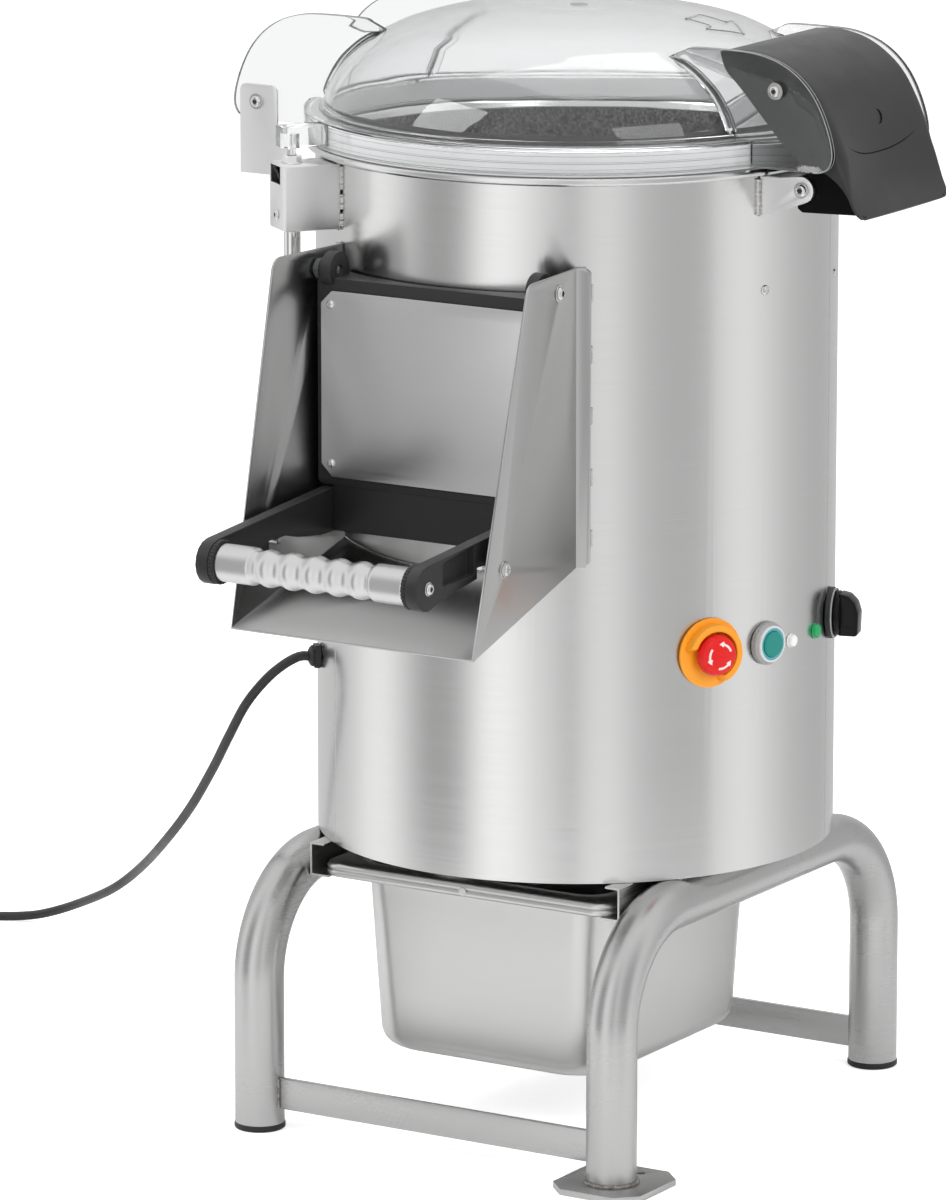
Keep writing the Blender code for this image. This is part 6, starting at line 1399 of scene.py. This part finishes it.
def root_bead(side, row, shift, radius):
    """A round bead along the joint of a wing and the dome: the dome's curve at the wing's own y."""
    y = row * (WING_Y + shift)
    z = np.linspace(BAND_TOP + 0.003, 1.0560, 40)
    x = np.sqrt(dome_radius(z) ** 2 - y ** 2) + 0.0004
    path = np.stack((side * x, np.full_like(z, y), z), -1)
    return sweep(path, ring(radius, 12), (0, 1, 0), tapered(40, 3.0, 0.25))


class PEELER_OT_lid(bpy.types.Operator):
    """Mould the clear lid: a closed dome on a band, two pairs of wings, root beads and the pin's tab"""

    bl_idname = "peeler.lid"
    bl_label = "Clear lid"

    def execute(self, context):
        steps = context.scene.peeler.drum_steps
        shells = [turn(lid_profile(), upright(), steps)]
        for side in SIDES:
            for row in SIDES:
                shells.append(plate(wing_line(side), -0.0025, 0.0025, facing_y(row * WING_Y, row), 0.0007))
                shells.append(root_bead(side, row, 0.0048, 0.0042))
                shells.append(root_bead(side, row, -0.0034, 0.0016))
        piece("clear_lid", shells, "Clear lid", "lid", ("lid_dome",), angle=38)
        # Thin grey lines along both faces of each wing's free edge and round the band's top and foot: painted
        # shade for the clear plastic's dark edges
        lines = []
        for side in SIDES:
            rim = wing_rim(side)[RIM_SKIP:]
            for row in SIDES:
                for shift in (-0.0023, 0.0023):
                    path = np.insert(rim, 1, row * WING_Y + shift, axis=1)
                    lines.append(pipe(path, 0.00045, 8, (0, 1, 0)))
        for radius, z in ((LID_BAND - 0.0004, BAND_TOP - 0.0006), (LID_BAND - 0.0001, LID_BASE + 0.0012)):
            lines.append(turn(ring(0.00035, 8, radius, z), upright(), steps, closed=True))
        piece("lid_edge_shade_lines", lines, "Lid edge painted shade", "lid")
        rows = ((0.9634, 0.00016), (0.9688, 0.00026), (0.9702, 0.00014), (0.9756, 0.00018))
        streaks = [turn(ring(width, 6, 0.2589, z), upright(), steps, closed=True) for z, width in rows]
        piece("lid_band_streaks", streaks, "Bezel grey", "lid")
        ledge = soft(((0.2535, 0.9594), (0.2588, 0.9594), (0.2588, 0.9785), (0.2560, 0.9785)), 0.0006, 3)
        piece("lid_rim_ring", [turn(ledge, upright(), steps, closed=True)], "Lid rim grey", "lid")
        out = outward(LATCH_AT)
        tab = plate(soft(oblong(-0.013, 0.013, 0.0, 0.0468), (0.0005, 0.0005, 0.006, 0.006), 5), 0.0, 0.0200,
                    Frame(out * 0.2600 + UP * 0.9618, np.cross(UP, out), out, UP), 0.0008)
        hole = turn(can(0.00585, -0.004, 0.0130), upright(*(out * PIN_REACH)[:2], 0.9618), 32)
        piece("pin_tab", [tab], "Clear lid", "lid", cuts=(hole,))
        cap = soft(((0.0, 0.0), (0.0085, 0.0), (0.0085, 0.0016), (0.0065, 0.0034), (0.0, 0.0040)),
                   0.0012, 4, False)
        piece("dome_plug", [turn(cap, upright(0.004, -0.004, LID_TOP - 0.0045), 48)], "Bezel grey", "lid")
        piece("lid_seal_ring", [hoop(upright(), 0.2505, 0.2611, 0.9563, 0.9589, 0.0008, steps)],
              "Pale silicone", "lid", ("lid_seal",))
        piece("lid_arrow", arrow_outline(), "Clear lid", "lid")
        return {"FINISHED"}


def arrow_outline():
    """A raised outline of an arrow that follows the dome: its points keep their x and y, and lie at the
    dome's own height."""
    tip, tail, half, head, neck = 0.172, 0.118, 0.016, 0.034, 0.145
    line = np.array(((tail, -half), (neck, -half), (neck, -head), (tip, 0.0), (neck, head), (neck, half),
                     (tail, half)))
    line = even(soft(np.vstack((line, line[:1])), 0.003, 4, False), 160)[:-1]
    middle = (line + (0.0, 0.006)) @ np.array(((0.9945, 0.1045), (-0.1045, 0.9945)))
    r = np.linalg.norm(middle, axis=1)
    curve = dome_line()
    z = np.interp(r, curve[:, 0], curve[:, 1]) + 0.0001
    return [sweep(np.column_stack((middle, z)), ring(0.0009, 8), loop=True)]


# The hood's side outline at its edges, along its middle, and along the cheeks' lower side
GUARD_EDGE = np.array((
    (0.2140, 1.0650), (0.2380, 1.0668), (0.2665, 1.0612), (0.2895, 1.0495), (0.3090, 1.0327),
    (0.3235, 1.0106), (0.3340, 0.9890), (0.3420, 0.9680), (0.3510, 0.9340), (0.3600, 0.9157)))
GUARD_MIDDLE = np.array((
    (0.2140, 1.0650), (0.2380, 1.0668), (0.2665, 1.0612), (0.2895, 1.0495), (0.3080, 1.0327),
    (0.3200, 1.0106), (0.3268, 0.9890), (0.3292, 0.9730), (0.3318, 0.9630), (0.3420, 0.9400),
    (0.3600, 0.9157)))
GUARD_INNER = np.array((
    (0.2100, 1.0632), (0.2156, 1.0475), (0.2310, 1.0323), (0.2516, 1.0101), (0.2721, 0.9880),
    (0.2892, 0.9715), (0.3010, 0.9604), (0.3204, 0.9577), (0.3276, 0.9544), (0.3365, 0.9481),
    (0.3455, 0.9379), (0.3509, 0.9274), (0.3572, 0.9157)))
GUARD_HALF = 0.0885
GUARD_CORNER = 0.012
GUARD_SPAN = 12
GUARD_CHEEK = 9
GUARD_BEND = 8


def guard_grid():
    """The hood as one sheet: rows follow its side outline, and each row runs up one cheek, over the
    roof through two soft corners, and down the other cheek. The roof swells from the edge's outline
    to the middle's by 1 - v^2, and the last rows narrow along a quarter circle to round its foot."""
    end = GUARD_CORNER / 0.215
    a = np.linspace(0, np.pi / 2, 14)
    shares = np.concatenate((np.linspace(0, 1 - end, 60)[:-1], 1 - end + end * np.sin(a)))
    half = np.full(len(shares), GUARD_HALF)
    half[-len(a):] -= GUARD_CORNER * (1 - np.cos(a))
    outer, centre, inner = (at_shares(spline(line, GUARD_SPAN), shares)
                            for line in (GUARD_EDGE, GUARD_MIDDLE, GUARD_INNER))
    lower = np.column_stack((inner[:, 0], -half, inner[:, 1]))
    upper = np.column_stack((outer[:, 0], -half, outer[:, 1]))
    reach = np.minimum(0.005 + 0.009 * shares ** 2, np.linalg.norm(upper - lower, axis=1) * 0.49)[:, None]
    begin = upper + unit(lower - upper) * reach
    stop = upper + reach * (0.0, 1.0, 0.0)
    t = np.linspace(0, 1, GUARD_BEND)[None, :, None]
    corner = (1 - t) ** 2 * begin[:, None] + 2 * t * (1 - t) * upper[:, None] + t ** 2 * stop[:, None]
    cheek = np.linspace(0, 1, GUARD_CHEEK + 1)[None, :-1, None]
    left = np.concatenate((lower[:, None] + (begin - lower)[:, None] * cheek, corner), 1)
    v = np.linspace(-1, 1, 26)[None, 1:-1, None]
    swell = 1 - v ** 2
    roof = outer[:, None] * (1 - swell) + centre[:, None] * swell
    middle = np.concatenate((roof[..., :1], (half[:, None] - reach)[:, None] * v, roof[..., 1:]), 2)
    return np.concatenate((left, middle, left[:, ::-1] * (1, -1, 1)), 1)


def hood_crease():
    """The line across the roof where its round part meets the flat panel: at each v its height is
    0.9675 + 0.022 |v|^2.5, found between the two rows of the grid on either side of it."""
    columns = GUARD_CHEEK + GUARD_BEND
    roof = guard_grid()[:, columns:-columns]
    level = 0.9675 + 0.022 * np.abs(roof[0, :, 1] / GUARD_HALF) ** 2.5
    row = np.argmax(roof[..., 2] < level, axis=0)[None, :, None]
    under, over = np.take_along_axis(roof, row, 0)[0], np.take_along_axis(roof, row - 1, 0)[0]
    share = (over[:, 2] - level) / (over[:, 2] - under[:, 2])
    return over + (under - over) * share[:, None] - (0.0001, 0.0, 0.0)


class PEELER_OT_hood(bpy.types.Operator):
    """Mould the black hood over the lid's hinge, with its boss and inner ribs in painted shade"""

    bl_idname = "peeler.hood"
    bl_label = "Hinge hood"

    def execute(self, context):
        obj = new_object("hinge_hood", shells_mesh("hinge_hood", [Shell(guard_grid(), False, "open")]))
        top = max(obj.data.polygons, key=lambda f: f.center.z + f.center.x)
        walled(obj, 0.003, top.normal.z + top.normal.x > 0)
        dress(obj, "hinge_hood", "Hood black", "lid", ("hinge_guard",), 45)
        # The ribs are dark sheets made large to fill the hood's shadowed inside, and the boss is drawn dark
        # too: painted shade
        rib = soft(((0.2808, 0.9180), (0.2815, 0.9480), (0.3000, 0.9560), (0.3180, 0.9870), (0.3240, 0.9860),
                    (0.3300, 0.9650), (0.3390, 0.9480), (0.3460, 0.9300), (0.3535, 0.9168),
                    (0.2860, 0.9145)), 0.002, 3)
        shells = [hoop(facing_y(0.0, 1, *HINGE), 0.0045, 0.013, -0.0665, 0.0665, 0.0008, 48)]
        shells += [plate(rib, y - 0.003, y + 0.003, facing_y(0.0, 1), 0.0005) for y in (-0.0635, 0.0635)]
        piece("hood_shade_boss_and_ribs", shells, "Hood painted shade", "lid")
        faces = [facing_y(row * 0.0946, row, 0.2717, 1.0316) for row in SIDES]
        socket_screws("hood_screws", "lid", faces, 0.0056, 0.0032, under=LID_WASHER)
        # The gate mark is a real mark of the moulding; its dark colour is painted shade for its notch
        a = np.radians(np.linspace(-100, 80, 30))
        y, z = 0.0085 + 0.0058 * np.cos(a), 0.999 + 0.0066 * np.sin(a)
        centre = spline(GUARD_MIDDLE, GUARD_SPAN)[2 * GUARD_SPAN:]
        path = np.column_stack((np.interp(-z, -centre[:, 1], centre[:, 0]) + 0.0002, y, z))
        taper = np.sin(np.linspace(0.25, np.pi - 0.25, 30))
        piece("hood_gate_mark", [sweep(path, ring(0.0010, 8), (1, 0, 0), taper)], "Hood painted shade", "lid")
        # A thin dark line along the crease: painted shade where the round roof meets the flat panel
        crease = hood_crease()
        crease_shade = sweep(crease, ring(0.0006, 8), UP, tapered(len(crease), 5.0, 0.2))
        piece("hood_crease_shade_line", [crease_shade], "Hood painted shade", "lid")
        return {"FINISHED"}


class PEELER_OT_hinge(bpy.types.Operator):
    """Weld on the two hinge lugs and fit their rod"""

    bl_idname = "peeler.hinge"
    bl_label = "Lid hinge"

    def execute(self, context):
        softened_copies("Latch steel", "machine", ("front_hinge_lug", "hinge_lug_front", 0.0006),
                        ("rear_hinge_lug", "hinge_lug_rear", 0.0006))
        rod = turn(can(0.004, -0.0725, 0.0725), facing_y(0.0, 1, *HINGE), 32)
        faces = [facing_y(row * 0.0722, row, *HINGE) for row in SIDES]
        socket_screws("hinge_pin", "machine", faces, 0.0062, 0.0034, [rod], ("hinge_rod",),
                      (0.0035, 0.0078, 0.0008))
        welds = []
        for row in SIDES:
            for side in SIDES:
                y = row * 0.0695 + side * 0.0034
                x = math.sqrt(0.2528 ** 2 - y ** 2)
                welds.append(bead(((x, y, 0.909), (x, y, 0.944)), 0.0029, 0.0042, (1, 0, 0)))
        piece("lug_welds", welds, "Weld", "machine")
        return {"FINISHED"}


class PEELER_OT_latch(bpy.types.Operator):
    """Weld on the lid switch's box, with its pin, tube and the lid's bracket"""

    bl_idname = "peeler.latch"
    bl_label = "Lid switch"

    def execute(self, context):
        softened_copies("Latch steel", "machine", ("latch_housing", "latch_box", 0.0006))
        softened_copies("Latch steel", "lid", ("bracket_plate", "lid_bracket", 0.0004))
        out = outward(LATCH_AT)
        at = out * PIN_REACH
        pin = soft(((0.0, 0.9060), (0.0062, 0.9060), (0.0062, 0.9078), (0.00425, 0.9078), (0.00425, 0.9745),
                    (0.0, 0.9745)), (0, 0.0004, 0.0004, 0.0003, 0.0012, 0), 4, False)
        piece("switch_pin", [turn(pin, upright(at[0], at[1]), 40)], "Natural acetal", "interlock",
              ("interlock_plunger",))
        bend = np.radians(np.linspace(0, 90, 18))
        reach = np.concatenate(((PIN_REACH, PIN_REACH), PIN_REACH - 0.030 + 0.030 * np.cos(bend), (0.2523,)))
        rise = np.concatenate(((0.8826, 0.600), 0.586 - 0.030 * np.sin(bend), (0.556,)))
        line = out * reach[:, None] + UP * rise[:, None]
        side = np.cross(UP, out)
        piece("switch_cable_tube", [pipe(line, 0.008, 40, side)], "Bright steel", "machine", ("conduit",))
        piece("pin_washer", [washer(upright(at[0], at[1], 0.9464), 0.0047, 0.0105, 0.0009)], "Bright steel",
              "machine")
        socket_screws("latch_screw", "machine", [Frame(out * 0.3090 + UP * 0.8975, side, UP, out)],
                      0.0050, 0.0028)
        socket_screws("bracket_screw", "lid", [facing_y(-0.0973, -1, -0.3045, 0.976)], 0.0056, 0.0032,
                      under=LID_WASHER)
        welds = []
        for across_by in (-0.0212, 0.0212):
            for low, high in ((0.886, 0.899), (0.902, 0.917), (0.921, 0.944)):
                p = out * 0.2514 + side * across_by
                welds.append(bead((p + UP * low, p + UP * high), 0.0026, 0.0034, out))
        for z in (0.8832, 0.9466):
            p = out * 0.2534 + UP * z
            welds += [bead((p + side * a, p + side * b), 0.0020, 0.0030)
                      for a, b in ((-0.018, -0.006), (0.006, 0.018))]
        piece("latch_welds", welds, "Weld", "machine")
        foot = Frame(out * 0.2524 + UP * 0.556, side, UP, out)
        piece("tube_weld", [ring_bead(foot, 0.0086, 0.0018, 0.0028)], "Weld", "machine")
        return {"FINISHED"}


def curved_arrow(place, radius, start, span, lift):
    """An arrow along part of a circle: a ribbon whose half width grows to the head and falls to its tip,
    laid on the button's dome at lift + 0.10 (0.013 - r)."""
    u, width = np.linspace(0, 1, 40), 0.0011
    a = np.radians(start + span * u)
    half = np.where(u < 0.68, width, np.clip((1 - u) / 0.32, 0.02, 1) * width * 2.6)
    v = np.linspace(-1, 1, 7)
    r = radius + half[:, None] * v
    top = lift + 0.10 * (0.013 - r)
    grid = np.stack((r * np.cos(a)[:, None], r * np.sin(a)[:, None], top), -1)
    under = grid[:, ::-1] - (0, 0, 0.0010)
    return Shell(put(np.concatenate((grid, under), 1), place), True, "flat")


class PEELER_OT_stop(bpy.types.Operator):
    """Turn the emergency stop: its collar with an open shroud, its stem and its mushroom head"""

    bl_idname = "peeler.stop"
    bl_label = "Emergency stop"

    def execute(self, context):
        place = wall(STOP_AT, CONTROL_HEIGHT)
        disc = hoop(place, STOP_BORE, 0.0335, 0.0003, 0.0033, (0.0003, 0.0010, 0.0010, 0.0003), 96, 4)
        a = np.radians(np.linspace(-72, 168, 90))
        foot = 0.0031
        section = soft(oblong(0.0222, 0.0286, foot, 0.0152), (0.0002, 0.0002, 0.0016, 0.0016), 4)
        rise = 0.35 + 0.65 * np.sin(tapered(90, 4.0, 0) * np.pi / 2)
        high = foot + (section[:, 1] - foot) * rise[:, None]
        grid = np.stack((section[:, 0] * np.cos(a)[:, None], section[:, 0] * np.sin(a)[:, None], high), -1)
        piece("stop_collar", [disc, Shell(put(grid, place), True, "flat")], "Stop collar", "machine",
              ("estop_collar",))
        stem = soft(can(0.0089, 0.0, 0.0090), 0.0005, 2, False)
        piece("stop_stem", [turn(stem, place, 48)], "Black plastic", "stop_stem", ("estop_stem",))
        head = soft(((0.0, 0.0093), (0.0176, 0.0093), (0.0200, 0.0112), (0.0200, 0.0150), (0.0178, 0.0198),
                     (0.0120, 0.0216), (0.0, 0.0228)), (0, 0.001, 0.001, 0.003, 0.004, 0.006, 0), 6, False)
        piece("stop_button", [turn(head, place, 96)], "Stop button", "stop_head", ("estop_head",))
        marks = [curved_arrow(place, 0.0118, angle, 78, 0.02165) for angle in (20, 140, 260)]
        piece("stop_arrows", marks, "Arrow mark", "stop_head")
        return {"FINISHED"}


class PEELER_OT_start(bpy.types.Operator):
    """Turn the start button, its ribbed bezel and its rings"""

    bl_idname = "peeler.start"
    bl_label = "Start button"

    def execute(self, context):
        place = wall(START_AT, CONTROL_HEIGHT)
        t = round_angles(180)
        r = ribbed_rings((0.0130, 0.0207, 0.0207, 0.0203, 0.0186, 0.0177, 0.0172), (0, 1, 1, 1, 0, 0, 0),
                         0.00025 * np.cos(45 * t))
        surround = polar(r, t, (0.0003, 0.0003, 0.0030, 0.0052, 0.0066, 0.0066, 0.0050), place, "flat")
        piece("start_surround", [surround], "Bezel grey", "machine", ("start_bezel",))
        pale = soft(((0.0153, 0.0050), (0.0178, 0.0050), (0.0178, 0.0090), (0.0171, 0.0096),
                     (0.0153, 0.0096)), 0.0005, 3)
        piece("start_pale_ring", [turn(pale, place, 96, closed=True)], "Pale ring", "machine")
        piece("start_teal_ring", [hoop(place, 0.0128, 0.0152, 0.0050, 0.0092, 0.0003, 96, 2)], "Teal ring",
              "machine")
        button = soft(((0.0, 0.0), (0.0122, 0.0), (0.0125, 0.0100), (0.0116, 0.0117), (0.0, 0.0120)),
                      (0, 0.0005, 0.0012, 0.0012, 0), 5, False)
        piece("start_button_cap", [turn(button, place, 80)], "Start button", "start", ("start_button",))
        return {"FINISHED"}


def lens(place, radius):
    """A small lamp: rings whose radius swings between ten flats by cos(pi / sides) / cos(t)."""
    sides = 10
    t = round_angles(sides * 8)
    flat = np.cos(np.pi / sides) / np.cos(t % (2 * np.pi / sides) - np.pi / sides)
    share = np.array((0, 0, 1, 1, 1, 0.6, 0.2, 0.0, 0.0))[:, None]
    base = radius * np.array((0.0, 1.08, 1.08, 1.0, 1.0, 0.86, 0.60, 0.30, 0.0))[:, None]
    return polar(base * (1 + share * (flat - 1)), t,
                 (0.0003, 0.0003, 0.0012, 0.0014, 0.0036, 0.0052, 0.0061, 0.0066, 0.0067), place)


class PEELER_OT_lamps(bpy.types.Operator):
    """Fit the two signal lamps"""

    bl_idname = "peeler.lamps"
    bl_label = "Signal lamps"

    def execute(self, context):
        for colour, azimuth, radius in (("white", WHITE_AT, 0.0062), ("green", GREEN_AT, 0.0071)):
            piece(f"{colour}_lamp", [lens(wall(azimuth, LAMP_HEIGHT), radius)],
                  f"{colour.capitalize()} lens", "machine", (f"lamp_{colour}",), angle=25)
        return {"FINISHED"}


class PEELER_OT_isolator(bpy.types.Operator):
    """Fit the main switch: a gasket, a grey ring, a round knob and its grip"""

    bl_idname = "peeler.isolator"
    bl_label = "Main switch"

    def execute(self, context):
        place = wall(SWITCH_AT, SWITCH_HEIGHT)
        base = soft(((0.0, 0.0), (0.0250, 0.0), (0.0250, 0.0036), (0.0236, 0.0060), (0.0, 0.0060)),
                    (0, 0.0006, 0.0012, 0.0012, 0), 4, False)
        piece("switch_base", [turn(base, place, 96)], "Black plastic", "machine", ("isolator_base",))
        piece("switch_ring", [hoop(place, 0.0226, 0.0243, 0.0050, 0.0064, 0.0003, 96, 2)], "Bezel grey",
              "machine")
        disc = soft(((0.0, 0.0066), (0.0214, 0.0066), (0.0222, 0.0100), (0.0206, 0.0126), (0.0, 0.0126)),
                    0.0015, 5, False)
        side_on = Frame(place.origin, place.out, place.up, -place.right)
        outline = ((0.0112, -0.0208), (0.0292, -0.0208), (0.0300, 0.0020), (0.0268, 0.0120),
                   (0.0200, 0.0188), (0.0112, 0.0208))
        half, past = 0.0112, 0.0130
        grip = plate(soft(outline, (0.001, 0.0035, 0.010, 0.008, 0.006, 0.001), 6), -half, half, side_on,
                     0.0022, 5)
        window = soft(oblong(0.0150, 0.0262, -0.0120, 0.0085), 0.0015, 4)
        windows = [plate(window, low, high, side_on, 0.0) for low, high in ((0.0104, past), (-past, -0.0104))]
        piece("switch_knob", [turn(disc, place, 96), grip], "Gloss black", "isolator", ("isolator_knob",),
              windows)
        return {"FINISHED"}


class PEELER_OT_gland(bpy.types.Operator):
    """Fit the cord's gland: a hexagon body, a ribbed cap and its clamp nose"""

    bl_idname = "peeler.gland"
    bl_label = "Cord gland"

    def execute(self, context):
        place = wall(GLAND_AT, GLAND_HEIGHT)
        t = round_angles(96)
        r = ribbed_rings((0.0, 0.0095, 0.0100, 0.0100, 0.0086, 0.0062, 0.0062), (0, 0, 1, 1, 0, 0, 0),
                         0.0003 * np.sign(np.cos(16 * t)))
        cap = polar(r, t, (0.0050, 0.0050, 0.0062, 0.0086, 0.0104, 0.0116, 0.0090), place)
        piece("gland", [hex_nut(raised(place, HAIR), 0.0222, 0.0062, 0.006, 72), cap], "Black plastic",
              "machine", ("cable_gland",))
        return {"FINISHED"}


class PEELER_OT_inlet(bpy.types.Operator):
    """Turn the water inlet at the back: a flange, a threaded nose and its bore"""

    bl_idname = "peeler.inlet"
    bl_label = "Water inlet"

    def execute(self, context):
        place = wall(INLET_AT, INLET_HEIGHT)
        z = np.linspace(0.0075, 0.0290, 120)
        thread = 0.0127 + 0.00045 * np.cos(2 * np.pi * z / 0.0018)
        outer = np.vstack(((0.0105, -0.0130), (0.0105, 0.0003), (0.0176, 0.0003), (0.0180, 0.0010),
                           (0.0180, 0.0055), (0.0172, 0.0062), (0.0136, 0.0062), np.stack((thread, z), -1),
                           (0.0120, 0.0299), (0.0086, 0.0299), (0.0081, 0.0292), (0.0081, -0.0130)))
        piece("water_inlet_nose", [turn(outer, place, 72, closed=True)], "Bright steel", "machine",
              ("water_inlet",))
        piece("inlet_nut", [hex_nut(raised(place, 0.0062), 0.0300, 0.0050, 0.0132, 60)], "Bright steel",
              "machine")
        return {"FINISHED"}


PIECES = (
    PEELER_OT_finishes, PEELER_OT_stage, PEELER_OT_cord, PEELER_OT_drum, PEELER_OT_stand, PEELER_OT_pan,
    PEELER_OT_chute, PEELER_OT_door, PEELER_OT_handle, PEELER_OT_lid, PEELER_OT_hood, PEELER_OT_hinge,
    PEELER_OT_latch, PEELER_OT_stop, PEELER_OT_start, PEELER_OT_lamps, PEELER_OT_isolator, PEELER_OT_gland,
    PEELER_OT_inlet,
)


class PEELER_PT_pieces(bpy.types.Panel):
    """The peeler's pieces and sizes in the sidebar."""

    bl_idname = "PEELER_PT_pieces"
    bl_label = "Potato peeler"
    bl_space_type = "VIEW_3D"
    bl_region_type = "UI"
    bl_category = "Peeler"

    def draw(self, context):
        for group in (context.scene.peeler, context.scene.peeler_stage):
            for name in group.bl_rna.properties.keys():
                if name not in ("name", "rna_type"):
                    self.layout.prop(group, name)
        for operator in PIECES:
            self.layout.operator(operator.bl_idname)


def register():
    for made in (PeelerSettings, StageSettings, *PIECES, PEELER_PT_pieces):
        bpy.utils.register_class(made)
    bpy.types.Scene.peeler = bpy.props.PointerProperty(type=PeelerSettings)
    bpy.types.Scene.peeler_stage = bpy.props.PointerProperty(type=StageSettings)


def unregister():
    del bpy.types.Scene.peeler_stage
    del bpy.types.Scene.peeler
    for made in reversed((PeelerSettings, StageSettings, *PIECES, PEELER_PT_pieces)):
        bpy.utils.unregister_class(made)


def main():
    """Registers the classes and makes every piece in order."""
    register()
    for operator in PIECES:
        getattr(bpy.ops.peeler, operator.bl_idname.split(".")[1])()


if __name__ == "__main__":
    main()
